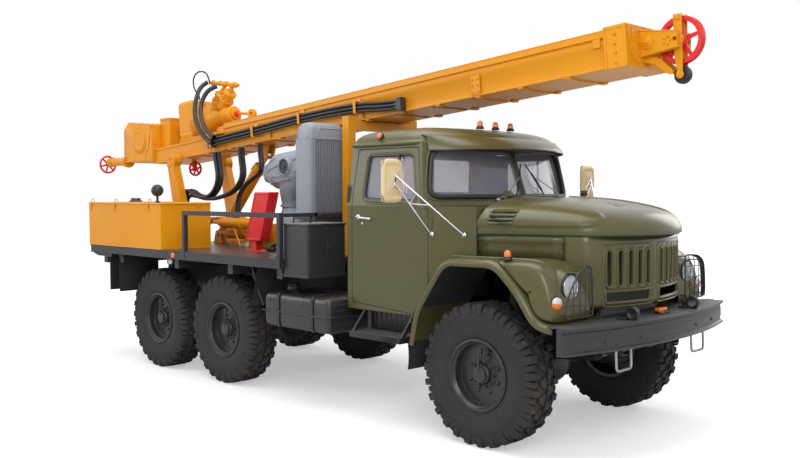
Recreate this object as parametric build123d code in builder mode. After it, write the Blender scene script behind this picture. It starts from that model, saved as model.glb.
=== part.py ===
from build123d import *
import os
from math import atan2, cos, degrees, hypot, radians, sin, tan

os.makedirs("parts", exist_ok=True)

# Truck-mounted drilling rig. Millimetres, +X forward, +Y left, +Z up, ground at z 0.

# Running gear
front_axle_x = 3000.0          # ahead of the row's origin, which is the middle of the length
bogie_spread = 1250.0          # between the two rear axles
wheelbase = 3350.0             # front axle to the first rear axle
half_track = 910.0
tyre_radius = 550.0            # over the lugs
tyre_width = 314.0
tyre_bead_radius = 262.0
rim_flange_radius = 278.0
rim_width = 282.0
rim_shell = 14.0
hub_radius = 88.0
stub_radius = 40.0
stub_clearance = 0.3
axle_height = tyre_radius
kingpin_y = 690.0
steer_limit = 28.0

# Chassis
rail_outer_y = 430.0
rail_depth = 200.0
rail_flange = 80.0
rail_web = 9.0
rail_bottom_z = 722.0
frame_rear_x = front_axle_x - wheelbase - bogie_spread - 640.0
frame_front_x = front_axle_x + 870.0
rail_top_z = rail_bottom_z + rail_depth

# Platform
deck_top_z = 1330.0
deck_plate = 12.0
deck_side_depth = 86.0
deck_side_width = 60.0
deck_half_width = 1250.0
deck_rear_x = frame_rear_x - 530.0
deck_front_x = front_axle_x - 2140.0
deck_joint_x = deck_front_x - 1630.0
notch_front_x = frame_rear_x + 30.0
notch_half_width = 610.0
subframe_beam_width = 80.0
rail_bar = 45.0
handrail_z = 1750.0
flap_x = frame_rear_x - 160.0               # rear mud flaps

# Cab
cab_rear_x = front_axle_x - 1500.0
cab_front_x = front_axle_x - 100.0
cab_bottom_z = 930.0
cab_half_width = 1000.0
cab_front_half_width = cab_half_width - 65.0
belt_z = 1820.0
gutter_z = 2335.0
roof_top_z = 2488.0
cab_wall = 50.0
door_gap = 6.0
glass = 8.0

# Hood
hood_gap = 8.0
hood_base_z = 1615.0
hood_rear_x = cab_front_x + hood_gap
hood_skin = 22.0
hood_lug_y = 500.0
hood_hinge_z = 1925.0
hood_hinge_bore = 7.3
fender_plane_y = cab_half_width + 130.0
fender_inner_y = 450.0

# Mast
mast_slope = 4.8
pivot_x = frame_rear_x - 110.0
pivot_z = 2330.0
mast_half_width = 280.0
mast_rail = 75.0
mast_depth = 290.0
mast_low_depth = 190.0
mast_under = 26.0              # mast's lower face above the pivot, square to the mast
leg_y = 372.0
leg_width = 90.0
mast_max = 90.0 - mast_slope
pin_clearance = 0.3


def keep(piece, name):
    piece.part.label = name
    export_step(piece.part, f"parts/{name}.step")


def side_prism(points, y_low, y_high, mode=Mode.ADD):
    """Side-view outline (x, z) filled between two widths."""
    with BuildSketch(Plane.XZ.offset(-y_low)) as outline:
        with BuildLine():
            Polyline(*points, close=True)
        make_face()
    extrude(outline.sketch, amount=-(y_high - y_low), mode=mode)


def slab(x0, x1, y0, y1, z0, z1, mode=Mode.ADD):
    with Locations(((x0 + x1) / 2, (y0 + y1) / 2, (z0 + z1) / 2)):
        Box(x1 - x0, y1 - y0, z1 - z0, mode=mode)


def rod_between(start, end, radius, mode=Mode.ADD):
    along = Vector(*end) - Vector(*start)
    with BuildSketch(Plane(origin=start, z_dir=along)) as section:
        Circle(radius)
    extrude(section.sketch, amount=along.length, mode=mode)


def mast_point(along, above):
    """Row x and z of a point given along the mast and square to it, from the pivot."""
    slope = radians(mast_slope)
    return (pivot_x + along * cos(slope) - above * sin(slope),
            pivot_z + along * sin(slope) + above * cos(slope))


mast_dir = (cos(radians(mast_slope)), 0, sin(radians(mast_slope)))
mast_side = Plane(origin=(pivot_x, 0, pivot_z), x_dir=mast_dir, z_dir=(0, -1, 0))


def mast_prism(points, y_low, y_high, mode=Mode.ADD):
    """Outline along and square to the mast, filled between two widths."""
    with BuildSketch(mast_side.offset(-y_low)) as outline:
        with BuildLine():
            Polyline(*points, close=True)
        make_face()
    extrude(outline.sketch, amount=-(y_high - y_low), mode=mode)


def mast_box(a0, a1, y0, y1, h0, h1, mode=Mode.ADD):
    mast_prism([(a0, h0), (a1, h0), (a1, h1), (a0, h1)], y0, y1, mode)


# Wheels: (name, x, side)
wheels = [("front_right", front_axle_x, -1), ("front_left", front_axle_x, 1),
          ("mid_right", front_axle_x - wheelbase, -1), ("mid_left", front_axle_x - wheelbase, 1),
          ("rear_right", front_axle_x - wheelbase - bogie_spread, -1),
          ("rear_left", front_axle_x - wheelbase - bogie_spread, 1)]

half_tyre = tyre_width / 2
half_rim = rim_width / 2
disc_offset = 40.0             # wheel disc outboard of the wheel's middle
disc_thickness = 16.0
hub_depth = 60.0               # hub's inner face inboard of the wheel's middle
hub_nose = 118.0               # hub's nose outboard of the wheel's middle
stub_reach = 60.0              # stub's end outboard of the wheel's middle

# Tyre: flat facets across its tread, with a row of lugs over each shoulder
tread_facets = 18
tread_radius = 522.0           # between the lugs
lug_width = 52.0
lug_foot_radius = 500.0
# (distance from the tyre's middle, radius) of its outside
tyre_bands = [(-half_tyre, 450), (7 - half_tyre, 500), (37 - half_tyre, tread_radius),
              (half_tyre - 37, tread_radius), (half_tyre - 7, 500), (half_tyre, 450)]
bead_y = half_rim - 18
wall_radius = 430.0            # of the sidewall's widest ring


def facets(start, end, mode=Mode.ADD):
    sections = []
    for y, radius in (start, end):
        with BuildSketch(Plane(origin=(0, y, 0), x_dir=(1, 0, 0), z_dir=(0, 1, 0))) as section:
            RegularPolygon(radius, tread_facets, major_radius=False)
        sections.append(section.sketch)
    loft(sections, ruled=True, mode=mode)


with BuildPart() as tyre_form:
    for start, end in zip(tyre_bands, tyre_bands[1:]):
        facets(start, end)
    for side in (-1, 1):
        for i in range(tread_facets):
            angle = radians(90 + i * 360 / tread_facets)
            with BuildSketch(Plane(origin=(0, 0, 0), x_dir=(0, side, 0),
                                   z_dir=(side * sin(angle), 0, -side * cos(angle)))) as lug:
                with BuildLine():
                    Polyline((25, lug_foot_radius), (25, tyre_radius), (half_tyre - 27, tyre_radius),
                             (half_tyre, lug_foot_radius), (half_tyre, wall_radius + 12), close=True)
                make_face()
            extrude(lug.sketch, amount=lug_width / 2, both=True)
    facets((-half_tyre, tyre_bead_radius), (half_tyre, tyre_bead_radius), Mode.SUBTRACT)
    for side in (-1, 1):
        facets((side * bead_y, tyre_bead_radius), (side * half_tyre, wall_radius), Mode.SUBTRACT)

for name, x, side in wheels:
    middle = side * half_track
    wheel_plane = Plane(origin=(x, middle, axle_height), x_dir=(1, 0, 0), z_dir=(0, 0, 1))
    with BuildPart() as tyre:
        add(tyre_form.part.moved(Location((x, middle, axle_height))))
    keep(tyre, f"tyre_{name}")

    with BuildPart() as rim:
        with BuildSketch(wheel_plane):
            with BuildLine():
                Polyline((tyre_bead_radius - rim_shell, -half_rim), (rim_flange_radius, -half_rim),
                         (rim_flange_radius, -half_rim + 8), (tyre_bead_radius - 1, -half_rim + 14),
                         (tyre_bead_radius - 1, half_rim - 14), (rim_flange_radius, half_rim - 8),
                         (rim_flange_radius, half_rim), (tyre_bead_radius - rim_shell, half_rim),
                         close=True)
            make_face()
            with Locations(((tyre_bead_radius - rim_shell + hub_radius) / 2, side * disc_offset)):
                Rectangle(tyre_bead_radius - rim_shell - hub_radius + 4, disc_thickness)
            with BuildLine():
                Polyline((stub_radius + stub_clearance, -side * hub_depth), (hub_radius, -side * hub_depth),
                         (hub_radius, side * 90), (hub_radius - 22, side * hub_nose), (0, side * hub_nose),
                         (0, side * (stub_reach + 1)),
                         (stub_radius + stub_clearance, side * (stub_reach + 1)), close=True)
            make_face()
        revolve(axis=Axis((x, middle, axle_height), (0, 1, 0)))
    keep(rim, f"rim_{name}")

# Axles: a tube with a final-drive housing; the front one ends in steering balls, the rear in stubs
axle_tube_radius = 62.0
ball_radius = 112.0
ball_clearance = 0.4
knuckle_shell = 26.0
knuckle_stub_start = half_track - hub_depth - stub_clearance


def axle_line(x, half_length, radius):
    with BuildSketch(Plane(origin=(x, 0, axle_height), x_dir=(1, 0, 0), z_dir=(0, 1, 0))) as section:
        Circle(radius)
    extrude(section.sketch, amount=half_length, both=True)


rear_axle_x = [front_axle_x - wheelbase, front_axle_x - wheelbase - bogie_spread]
final_drive_radius = 190.0
front_drive_y = -150.0
rear_drive_y = -120.0
with BuildPart() as axles:
    axle_line(front_axle_x, kingpin_y, axle_tube_radius)
    with Locations((front_axle_x, front_drive_y, axle_height)):
        Sphere(final_drive_radius)
    for side in (-1, 1):
        with Locations((front_axle_x, side * kingpin_y, axle_height)):
            Sphere(ball_radius)
    for x in rear_axle_x:
        axle_line(x, knuckle_stub_start, axle_tube_radius)
        axle_line(x, half_track + stub_reach, stub_radius)
        with Locations((x, rear_drive_y, axle_height)):
            Sphere(final_drive_radius)

# Leaf springs: front pair under the rails, rear pair inverted on the bogie's trunnion
spring_y = 385.0
spring_width = 76.0
with BuildPart() as suspended_axles:
    add(axles.part)
    axle_top = axle_height + axle_tube_radius
    for side in (-1, 1):
        y0, y1 = side * spring_y - spring_width / 2, side * spring_y + spring_width / 2
        front_x = front_axle_x
        side_prism([(front_x - 660, rail_bottom_z), (front_x - 700, rail_bottom_z), (front_x - 700, 700),
                    (front_x - 620, 660), (front_x - 90, axle_top), (front_x + 90, axle_top),
                    (front_x + 620, 660), (front_x + 700, 700), (front_x + 700, rail_bottom_z),
                    (front_x + 660, rail_bottom_z), (front_x + 600, 690), (front_x + 90, axle_top + 70),
                    (front_x - 90, axle_top + 70), (front_x - 600, 690)], y0, y1)
        bogie_x = front_axle_x - wheelbase - bogie_spread / 2
        reach = bogie_spread / 2
        side_prism([(bogie_x - reach - 60, axle_top), (bogie_x - reach + 60, axle_top),
                    (bogie_x - 120, 690), (bogie_x + 120, 690),
                    (bogie_x + reach - 60, axle_top), (bogie_x + reach + 60, axle_top),
                    (bogie_x + 140, rail_bottom_z), (bogie_x - 140, rail_bottom_z)], y0, y1)
keep(suspended_axles, "axles")

# Steering knuckles: a shell round the ball, open inboard, with the stub that carries the wheel
mouth_angle = 66.0
for name, side in (("right", -1), ("left", 1)):
    centre = (front_axle_x, side * kingpin_y, axle_height)
    inner = ball_radius + ball_clearance
    outer = inner + knuckle_shell
    with BuildPart() as knuckle:
        with BuildSketch(Plane(origin=centre, x_dir=(1, 0, 0), z_dir=(0, 0, 1))):
            m = radians(90 - mouth_angle)
            half = radians((90 - mouth_angle) / 2 - 45)
            mid = (cos(half), -side * sin(half))
            with BuildLine():
                ThreePointArc((inner * cos(m), -side * inner * sin(m)), (inner * mid[0], inner * mid[1]),
                              (0, side * inner))
                Line((0, side * inner), (0, side * outer))
                ThreePointArc((0, side * outer), (outer * mid[0], outer * mid[1]),
                              (outer * cos(m), -side * outer * sin(m)))
                Line((outer * cos(m), -side * outer * sin(m)), (inner * cos(m), -side * inner * sin(m)))
            make_face()
        revolve(axis=Axis(centre, (0, 1, 0)))
        stub_start = kingpin_y + inner + 4
        with BuildSketch(Plane(origin=(front_axle_x, side * stub_start, axle_height), x_dir=(1, 0, 0),
                               z_dir=(0, side, 0))):
            Circle(stub_radius)
        extrude(amount=half_track + stub_reach - stub_start)
        with BuildSketch(Plane(origin=(front_axle_x, side * (kingpin_y + outer - 14), axle_height),
                               x_dir=(1, 0, 0), z_dir=(0, side, 0))):
            Circle(hub_radius)
        extrude(amount=knuckle_stub_start - (kingpin_y + outer - 14))
    keep(knuckle, f"knuckle_{name}")

# Chassis: two channels open inboard, joined by cross members
cross_member_x = [frame_rear_x + 60, frame_rear_x + 790, frame_rear_x + 1740, front_axle_x - 2300,
                  front_axle_x - 1100, frame_front_x - 90]
with BuildPart() as rails:
    for side in (-1, 1):
        inner_y = side * (rail_outer_y - rail_flange)
        outer_y = side * rail_outer_y
        slab(frame_rear_x, frame_front_x, min(inner_y, outer_y), max(inner_y, outer_y),
             rail_bottom_z, rail_top_z)
        web_y = side * (rail_outer_y - rail_web)
        slab(frame_rear_x - 1, frame_front_x + 1, min(web_y, inner_y) - (side > 0),
             max(web_y, inner_y) + (side < 0),
             rail_bottom_z + rail_web, rail_top_z - rail_web, mode=Mode.SUBTRACT)
    for x in cross_member_x:
        half = rail_outer_y - rail_web
        slab(x - 45, x + 45, -half, half, rail_bottom_z + 20, rail_top_z - 20)

# Drive line: engine, gearbox, transfer case and the shafts to the axles
engine_front_x = front_axle_x + 560.0
engine_rear_x = front_axle_x - 60.0
transfer_x0 = front_axle_x - 2100.0
transfer_x1 = front_axle_x - 1750.0
gearbox_rear_x = front_axle_x - 1000.0
shaft_radius = 38.0
radiator_x = engine_front_x + 40.0
with BuildPart() as drive_line:
    slab(engine_rear_x, engine_front_x, -290, 290, 690, 1450)
    slab(gearbox_rear_x, engine_rear_x, -150, 150, 640, 915)
    slab(transfer_x0, transfer_x1, -200, 200, 540, 900)
    slab(transfer_x1, gearbox_rear_x, -45, 45, 645, 725)
    # (start, end)
    runs = [((transfer_x1 - 5, front_drive_y, 620), (front_axle_x - 150, front_drive_y, axle_height)),
            ((rear_axle_x[0] + 150, rear_drive_y, axle_height), (transfer_x0 + 5, rear_drive_y, 620)),
            ((rear_axle_x[1] + 150, rear_drive_y, axle_height),
             (rear_axle_x[0] - 150, rear_drive_y, axle_height))]
    for start, end in runs:
        along = Vector(*end) - Vector(*start)
        with BuildSketch(Plane(origin=start, z_dir=along)):
            Circle(shaft_radius)
        extrude(amount=along.length)
    add(suspended_axles.part, mode=Mode.SUBTRACT)
    # radiator
    slab(radiator_x, radiator_x + 70, -400, 400, rail_top_z, 1560)
keep(drive_line, "drive_line")

# Bumper: swept back at its ends, with a tread plate on top
bumper_centre_x = front_axle_x + 1060.0
bumper_end_x = front_axle_x + 880.0
bumper_half = 1190.0
bumper_z0 = 812.0
bumper_z1 = 1000.0
hook_y = 460.0                 # tow hooks stand on the bumper's tread plate
hook_x = front_axle_x + 960.0
hook_width = 34.0
hook_radius = 55.0
hook_bore = 27.0
with BuildPart() as front_bumper:
    with BuildSketch(Plane.XY.offset(bumper_z0)):
        with BuildLine():
            ThreePointArc((bumper_end_x, -bumper_half), (bumper_centre_x, 0), (bumper_end_x, bumper_half))
            Polyline((bumper_end_x, bumper_half), (bumper_end_x - 60, bumper_half))
            ThreePointArc((bumper_end_x - 60, bumper_half), (bumper_centre_x - 60, 0),
                          (bumper_end_x - 60, -bumper_half))
            Line((bumper_end_x - 60, -bumper_half), (bumper_end_x, -bumper_half))
        make_face()
    extrude(amount=bumper_z1 - bumper_z0)
    with BuildSketch(Plane.XY.offset(bumper_z1 - 8)):
        with BuildLine():
            Line((bumper_end_x - 200, -bumper_half + 40), (bumper_end_x - 60, -bumper_half))
            ThreePointArc((bumper_end_x - 60, -bumper_half), (bumper_centre_x - 60, 0),
                          (bumper_end_x - 60, bumper_half))
            Polyline((bumper_end_x - 60, bumper_half), (bumper_end_x - 200, bumper_half - 40),
                     (bumper_end_x - 200, -bumper_half + 40))
        make_face()
    extrude(amount=8)
    for side in (-1, 1):
        arm_y = side * (rail_outer_y - 35)
        slab(frame_front_x, bumper_centre_x - 60, arm_y - 30, arm_y + 30, bumper_z0 + 10, rail_top_z)
    for side in (-1, 1):
        with BuildSketch(Plane.XZ.offset(-side * hook_y - hook_width / 2)):
            with Locations((hook_x + 10, bumper_z1 + hook_radius - 1)):
                Circle(hook_radius)
            with Locations((hook_x - 60, bumper_z1 + 11)):
                Rectangle(140, 24)
            with Locations((hook_x + 10, bumper_z1 + hook_radius - 1)):
                Circle(hook_bore, mode=Mode.SUBTRACT)
        extrude(amount=hook_width)
keep(front_bumper, "front_bumper")

# Nose panel with its upright slots and the two low slots
nose_corner_x = front_axle_x + 737.0
nose_centre_x = front_axle_x + 890.0
nose_half = 660.0
nose_z0 = 1060.0
nose_z1 = hood_base_z - hood_gap
nose_thickness = 36.0
slot_pitch = 101.0
slot_width = 46.0
slot_z0 = 1235.0
slot_z1 = 1500.0
side_panel_z0 = 1441.0


def nose_band(depth):
    with BuildSketch(Plane.XY.offset(nose_z0)) as band:
        with BuildLine():
            ThreePointArc((nose_corner_x, -nose_half), (nose_centre_x, 0), (nose_corner_x, nose_half))
            Line((nose_corner_x, nose_half), (nose_corner_x - depth, nose_half))
            ThreePointArc((nose_corner_x - depth, nose_half), (nose_centre_x - depth, 0),
                          (nose_corner_x - depth, -nose_half))
            Line((nose_corner_x - depth, -nose_half), (nose_corner_x, -nose_half))
        make_face()
    extrude(band.sketch, amount=nose_z1 - nose_z0)


with BuildPart() as grille_panel:
    nose_band(nose_thickness)
    for side in (-1, 1):
        for i in range(5):
            y = side * (98 + i * slot_pitch)
            slab(nose_corner_x - 100, nose_centre_x + 50, y - slot_width / 2, y + slot_width / 2,
                 slot_z0, slot_z1, mode=Mode.SUBTRACT)
        low = side * (98 - slot_width / 2), side * (98 + 4 * slot_pitch + slot_width / 2)
        slab(nose_corner_x - 100, nose_centre_x + 50, min(low), max(low), 1125, 1190, mode=Mode.SUBTRACT)
    # side panels between hood and fenders
    for side in (-1, 1):
        with BuildSketch(Plane.XY.offset(side_panel_z0)):
            with BuildLine():
                Polyline((hood_rear_x, side * (cab_front_half_width - 10)), (nose_corner_x - 10, side * 655),
                         (nose_corner_x - 10, side * 625), (hood_rear_x, side * (cab_front_half_width - 40)),
                         close=True)
            make_face()
        extrude(amount=nose_z1 - side_panel_z0)
keep(grille_panel, "grille_panel")


# Hood: side view, plan and cross-section together make the form, which is then hollowed
def hood_form(inset):
    top = -inset
    wide = cab_front_half_width - 5
    with BuildPart() as form:
        with BuildSketch(Plane.YZ.offset(hood_rear_x)):
            with BuildLine():
                Polyline((-wide + inset, hood_base_z), (-wide + 15 + inset, 1715),
                         (-wide + 130 + inset, 1820 + top))
                ThreePointArc((-wide + 130 + inset, 1820 + top), (0, 1915 + top),
                              (wide - 130 - inset, 1820 + top))
                Polyline((wide - 130 - inset, 1820 + top), (wide - 15 - inset, 1715),
                         (wide - inset, hood_base_z), (-wide + inset, hood_base_z))
            make_face()
        with BuildSketch(Plane.YZ.offset(nose_centre_x + 120 - inset)):
            with BuildLine():
                Polyline((-650 + inset, hood_base_z), (-630 + inset, 1655), (-560 + inset, 1700 + top))
                ThreePointArc((-560 + inset, 1700 + top), (0, 1750 + top), (560 - inset, 1700 + top))
                Polyline((560 - inset, 1700 + top), (630 - inset, 1655), (650 - inset, hood_base_z),
                         (-650 + inset, hood_base_z))
            make_face()
        loft(ruled=True)
        with BuildSketch(Plane.XY.offset(hood_base_z)):
            with BuildLine():
                Line((hood_rear_x - 50, -1000), (nose_corner_x - 30 - inset, -1000))
                Line((nose_corner_x - 30 - inset, -1000), (nose_corner_x - 30 - inset, -690))
                ThreePointArc((nose_corner_x - 30 - inset, -690), (nose_centre_x + 90 - inset, 0),
                              (nose_corner_x - 30 - inset, 690))
                Polyline((nose_corner_x - 30 - inset, 690), (nose_corner_x - 30 - inset, 1000),
                         (hood_rear_x - 50, 1000), (hood_rear_x - 50, -1000))
            make_face()
        extrude(amount=400, mode=Mode.INTERSECT)
        with BuildSketch(Plane.XZ.offset(-1000)):
            with BuildLine():
                Polyline((hood_rear_x - 50, hood_base_z), (hood_rear_x - 50, 1950),
                         (hood_rear_x + 300, 1930 + top), (nose_corner_x - 120, 1800 + top),
                         (nose_centre_x - 40 - inset, 1730 + top),
                         (nose_centre_x + 70 - inset, hood_base_z + 50),
                         (nose_centre_x + 90 - inset, hood_base_z), close=True)
            make_face()
        extrude(amount=2000, mode=Mode.INTERSECT)
    return form.part


hood_inner = hood_form(hood_skin)
with BuildPart() as hood:
    add(hood_form(0))
    add(hood_inner, mode=Mode.SUBTRACT)
    for side in (-1, 1):
        y0, y1 = sorted((side * hood_lug_y, side * (hood_lug_y + 30)))
        slab(hood_rear_x - 16, hood_rear_x + 16, y0, y1, 1862, hood_hinge_z + 16)
        with BuildSketch(Plane.XZ.offset(-y1)):
            with Locations((hood_rear_x, hood_hinge_z)):
                Circle(hood_hinge_bore)
        extrude(amount=y1 - y0, mode=Mode.SUBTRACT)
keep(hood, "hood")

# Fenders: the band over the wheel, and the lamp pod in front of it
arch_outer = [(-656, 730), (-600, 1010), (-300, 1430), (540, 1440), (690, 1300), (752, 1006)]
arch_inner = [(640, 1006), (600, 1030), (470, 1200), (300, 1372), (-275, 1370), (-560, 1000), (-612, 730)]
turning_radius = hypot(tyre_radius, half_track + tyre_width / 2 - kingpin_y)
turning_gap = 6.0
flap_bottom_z = 515.0
flap_thickness = 8.0
headlamp_y = fender_plane_y - 264.0
headlamp_z = 1252.0
headlamp_face_x = front_axle_x + 700.0
headlamp_radius = 92.0
lamp_seat_x = front_axle_x + 652.0
with BuildPart() as fenders:
    for side in (-1, 1):
        y0, y1 = sorted((side * fender_inner_y, side * fender_plane_y))
        side_prism([(front_axle_x + x, z) for x, z in arch_outer + arch_inner], y0, y1)
        y0, y1 = sorted((side * (nose_half + 1), side * (fender_inner_y + 300)))
        side_prism([(front_axle_x + x, z) for x, z in
                    [(640, 1006), (752, 1006), (735, 1300), (640, 1425), (600, 1425)]], y0, y1)
        with BuildSketch(Plane(origin=(front_axle_x + 600, side * headlamp_y, headlamp_z), z_dir=(1, 0, 0))):
            Circle(headlamp_radius + 20)
        extrude(amount=90)
        with BuildSketch(Plane(origin=(lamp_seat_x, side * headlamp_y, headlamp_z), z_dir=(1, 0, 0))):
            Circle(headlamp_radius + 0.3)
        extrude(amount=110, mode=Mode.SUBTRACT)
        slab(nose_corner_x - 140, nose_corner_x + 100, min(side * nose_half, 0), max(side * nose_half, 0),
             1000, 1500, mode=Mode.SUBTRACT)
        y0, y1 = sorted((side * 860, side * (fender_plane_y - 10)))
        slab(front_axle_x - 652, front_axle_x - 652 + flap_thickness, y0, y1, flap_bottom_z, 740)
        with Locations((front_axle_x, side * kingpin_y, axle_height)):
            Sphere(turning_radius + turning_gap, mode=Mode.SUBTRACT)
keep(fenders, "fenders")


# Cab: outlines (x, half width) at the sill, belt, gutter and roof top, the front ones bowed
def cab_outline(z, rear_x, half_rear, front_x, half_front, bow_x):
    with BuildSketch(Plane.XY.offset(z)) as outline:
        with BuildLine():
            Polyline((front_x, half_front), (rear_x, half_rear), (rear_x, -half_rear), (front_x, -half_front))
            ThreePointArc((front_x, -half_front), (bow_x, 0), (front_x, half_front))
        make_face()
    return outline.sketch


windscreen_foot_x = front_axle_x - 605.0
windscreen_foot_bow = windscreen_foot_x + 295.0
windscreen_top_x = windscreen_foot_x - 65.0
windscreen_top_bow = windscreen_top_x + 170.0
widest_x = front_axle_x - 550.0     # where the cab's sides start to close in, and its doors hinge


def cab_lower(inset):
    with BuildPart() as form:
        with BuildSketch(Plane.XY.offset(cab_bottom_z + inset)):
            with BuildLine():
                Polyline((cab_rear_x + inset, -cab_half_width + inset), (widest_x, -cab_half_width + inset),
                         (cab_front_x - inset, -cab_front_half_width + inset),
                         (cab_front_x - inset, cab_front_half_width - inset),
                         (widest_x, cab_half_width - inset), (cab_rear_x + inset, cab_half_width - inset),
                         close=True)
            make_face()
        extrude(amount=belt_z - cab_bottom_z - inset)
    return form.part


def cab_upper(inset):
    foot = cab_outline(belt_z, cab_rear_x + inset, cab_half_width - inset, windscreen_foot_x - inset,
                       cab_half_width - inset, windscreen_foot_bow - inset)
    top = cab_outline(gutter_z, cab_rear_x + 20 + inset, cab_half_width - 55 - inset,
                      windscreen_top_x - inset, cab_half_width - 65 - inset, windscreen_top_bow - inset)
    with BuildPart() as form:
        loft([foot, top], ruled=True)
    return form.part


def cab_roof_form(inset):
    eaves = cab_outline(gutter_z, cab_rear_x + inset, cab_half_width - 30 - inset, windscreen_top_x - inset,
                        cab_half_width - 55 - inset, windscreen_top_x + 260 - inset)
    shoulder = cab_outline(gutter_z + 60 - inset / 4, cab_rear_x + 20 + inset, cab_half_width - 50 - inset,
                           windscreen_top_x - 40 - inset, cab_half_width - 100 - inset,
                           windscreen_top_x + 210 - inset)
    crown = cab_outline(roof_top_z - inset, cab_rear_x + 160, cab_half_width - 300, windscreen_top_x - 200,
                        cab_half_width - 380, windscreen_top_x)
    with BuildPart() as form:
        loft([eaves, shoulder, crown], ruled=True)
    return form.part


door_inner_y = cab_half_width - 130.0


def from_axle(points):
    """Side-view points (x from the front axle, z) in the row's frame."""
    return [(front_axle_x + x, z) for x, z in points]


door_outline = from_axle([(-1440, 990), (-710, 945), (-650, 1040), (-570, 1090), (-550, 1130), (-550, 1790),
                          (-628, 1850), (-704, 2296), (-1400, 2296), (-1440, 1850)])
window_outline = from_axle([(-1300, 1880), (-690, 1862), (-760, 2240), (-1270, 2240)])


def side_form(points, amount):
    """Side-view outline offset by an amount and filled across the whole width."""
    with BuildPart() as form:
        with BuildSketch(Plane.XZ.offset(-1100)):
            with BuildLine():
                Polyline(*points, close=True)
            make_face()
            if amount:
                offset(amount=amount, kind=Kind.INTERSECTION)
        extrude(amount=2200)
    return form.part


door_form = side_form(door_outline, 0)
door_hole_form = side_form(door_outline, door_gap)
window_form = side_form(window_outline, 0)
pane_form = side_form(window_outline, -0.3)

lower_outer, lower_inner = cab_lower(0), cab_lower(cab_wall)
upper_outer, upper_inner = cab_upper(0), cab_upper(cab_wall)
rear_panel_x = cab_rear_x + 90.0
screen_half_foot = cab_half_width - 70.0
screen_half_top = cab_half_width - 150.0
screen_bar = 34.0
screen_z0 = 1905.0
screen_z1 = 2290.0
rear_window_half = 620.0
rear_window_z0 = 1880.0
rear_window_z1 = 2240.0
pane_inset = 20.0
step_z = 760.0
step_reach = 160.0
pane_seat = 0.3

with BuildPart() as cab_shell:
    add(lower_outer)
    add(upper_outer)
    add(lower_inner, mode=Mode.SUBTRACT)
    add(upper_inner, mode=Mode.SUBTRACT)
    slab(cab_rear_x + cab_wall, windscreen_foot_x - 40, -cab_half_width + cab_wall, cab_half_width - cab_wall,
         belt_z - 60, belt_z + 60, mode=Mode.SUBTRACT)

def upright(x, y, z0, z1, radius, mode=Mode.ADD):
    with BuildSketch(Plane.XY.offset(z0)) as section:
        with Locations((x, y)):
            Circle(radius)
    extrude(section.sketch, amount=z1 - z0, mode=mode)


# Door hinges: a knuckle on the door between two lugs on the cowl, round a pin
hinge_x = widest_x
door_hinge_z = [1200.0, 1660.0]
knuckle_height = 40.0
lug_height = 32.0
lug_radius = 14.0
hinge_pin = 7.0
for name, side in (("right", -1), ("left", 1)):
    with BuildPart() as door:
        add(cab_shell.part)
        add(door_form, mode=Mode.INTERSECT)
        edge = sorted((side * door_inner_y, side * (cab_half_width + 100)))
        slab(cab_rear_x - 100, cab_front_x - 300, edge[0], edge[1], 800, 2400, mode=Mode.INTERSECT)
        add(window_form, mode=Mode.SUBTRACT)
        for z in door_hinge_z:
            upright(hinge_x, side * cab_half_width, z - lug_height, z + knuckle_height + lug_height,
                    lug_radius + 6, mode=Mode.SUBTRACT)
            upright(hinge_x, side * cab_half_width, z, z + knuckle_height, lug_radius)
            slab(hinge_x - 40, hinge_x - 8, min(side * (cab_half_width - 45), side * cab_half_width),
                 max(side * (cab_half_width - 45), side * cab_half_width),
                 z, z + knuckle_height)
            upright(hinge_x, side * cab_half_width, z - 1, z + knuckle_height + 1, hinge_pin + pin_clearance,
                    mode=Mode.SUBTRACT)
    keep(door, f"door_{name}")


def screen_prism(clearance, mode):
    """The two windscreen openings, seen from the front, less a clearance."""
    for side in (-1, 1):
        with BuildSketch(Plane.YZ.offset(windscreen_top_x + 10)) as outline:
            with BuildLine():
                Polyline((side * (screen_bar / 2 + clearance), screen_z0 + clearance),
                         (side * (screen_half_foot - clearance), screen_z0 + clearance),
                         (side * (screen_half_top - clearance), screen_z1 - clearance),
                         (side * (screen_bar / 2 + clearance), screen_z1 - clearance), close=True)
            make_face()
        extrude(outline.sketch, amount=460, mode=mode)


# The shell less the doors is split into rear wall, floor and the front with its pillars
with BuildPart() as arch_space:
    side_prism(from_axle(arch_outer + [(752, 600), (-656, 600)]), -cab_half_width - 200, cab_half_width + 200)
    slab(front_axle_x - 1000, front_axle_x + 1000, -fender_inner_y, fender_inner_y, 500, 1500,
         mode=Mode.SUBTRACT)

with BuildPart() as cab_body:
    add(cab_shell.part)
    add(door_hole_form, mode=Mode.SUBTRACT)
    add(arch_space.part, mode=Mode.SUBTRACT)
    screen_prism(0, Mode.SUBTRACT)
    slab(cab_rear_x - 20, cab_rear_x + 100, -rear_window_half, rear_window_half,
         rear_window_z0, rear_window_z1, mode=Mode.SUBTRACT)

with BuildPart() as cab_rear_wall:
    add(cab_body.part)
    slab(cab_rear_x - 20, rear_panel_x, -cab_half_width - 99, cab_half_width + 99, 900, 2400,
         mode=Mode.INTERSECT)
keep(cab_rear_wall, "cab_rear_wall")

with BuildPart() as cab_floor:
    add(cab_body.part)
    slab(rear_panel_x, cab_front_x - cab_wall, -cab_half_width - 99, cab_half_width + 99, 900, 1100,
         mode=Mode.INTERSECT)
    # steps under the doors
    for side in (-1, 1):
        y0, y1 = sorted((side * (cab_half_width - 70), side * (cab_half_width + step_reach)))
        slab(front_axle_x - 1300, front_axle_x - 710, y0, y1, step_z - 40, step_z)
        for x in (front_axle_x - 1280, front_axle_x - 750):
            y0, y1 = sorted((side * (cab_half_width - 70), side * (cab_half_width - 50)))
            slab(x - 20, x + 20, y0, y1, step_z - 1, cab_bottom_z + 5)
keep(cab_floor, "cab_floor")

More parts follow.
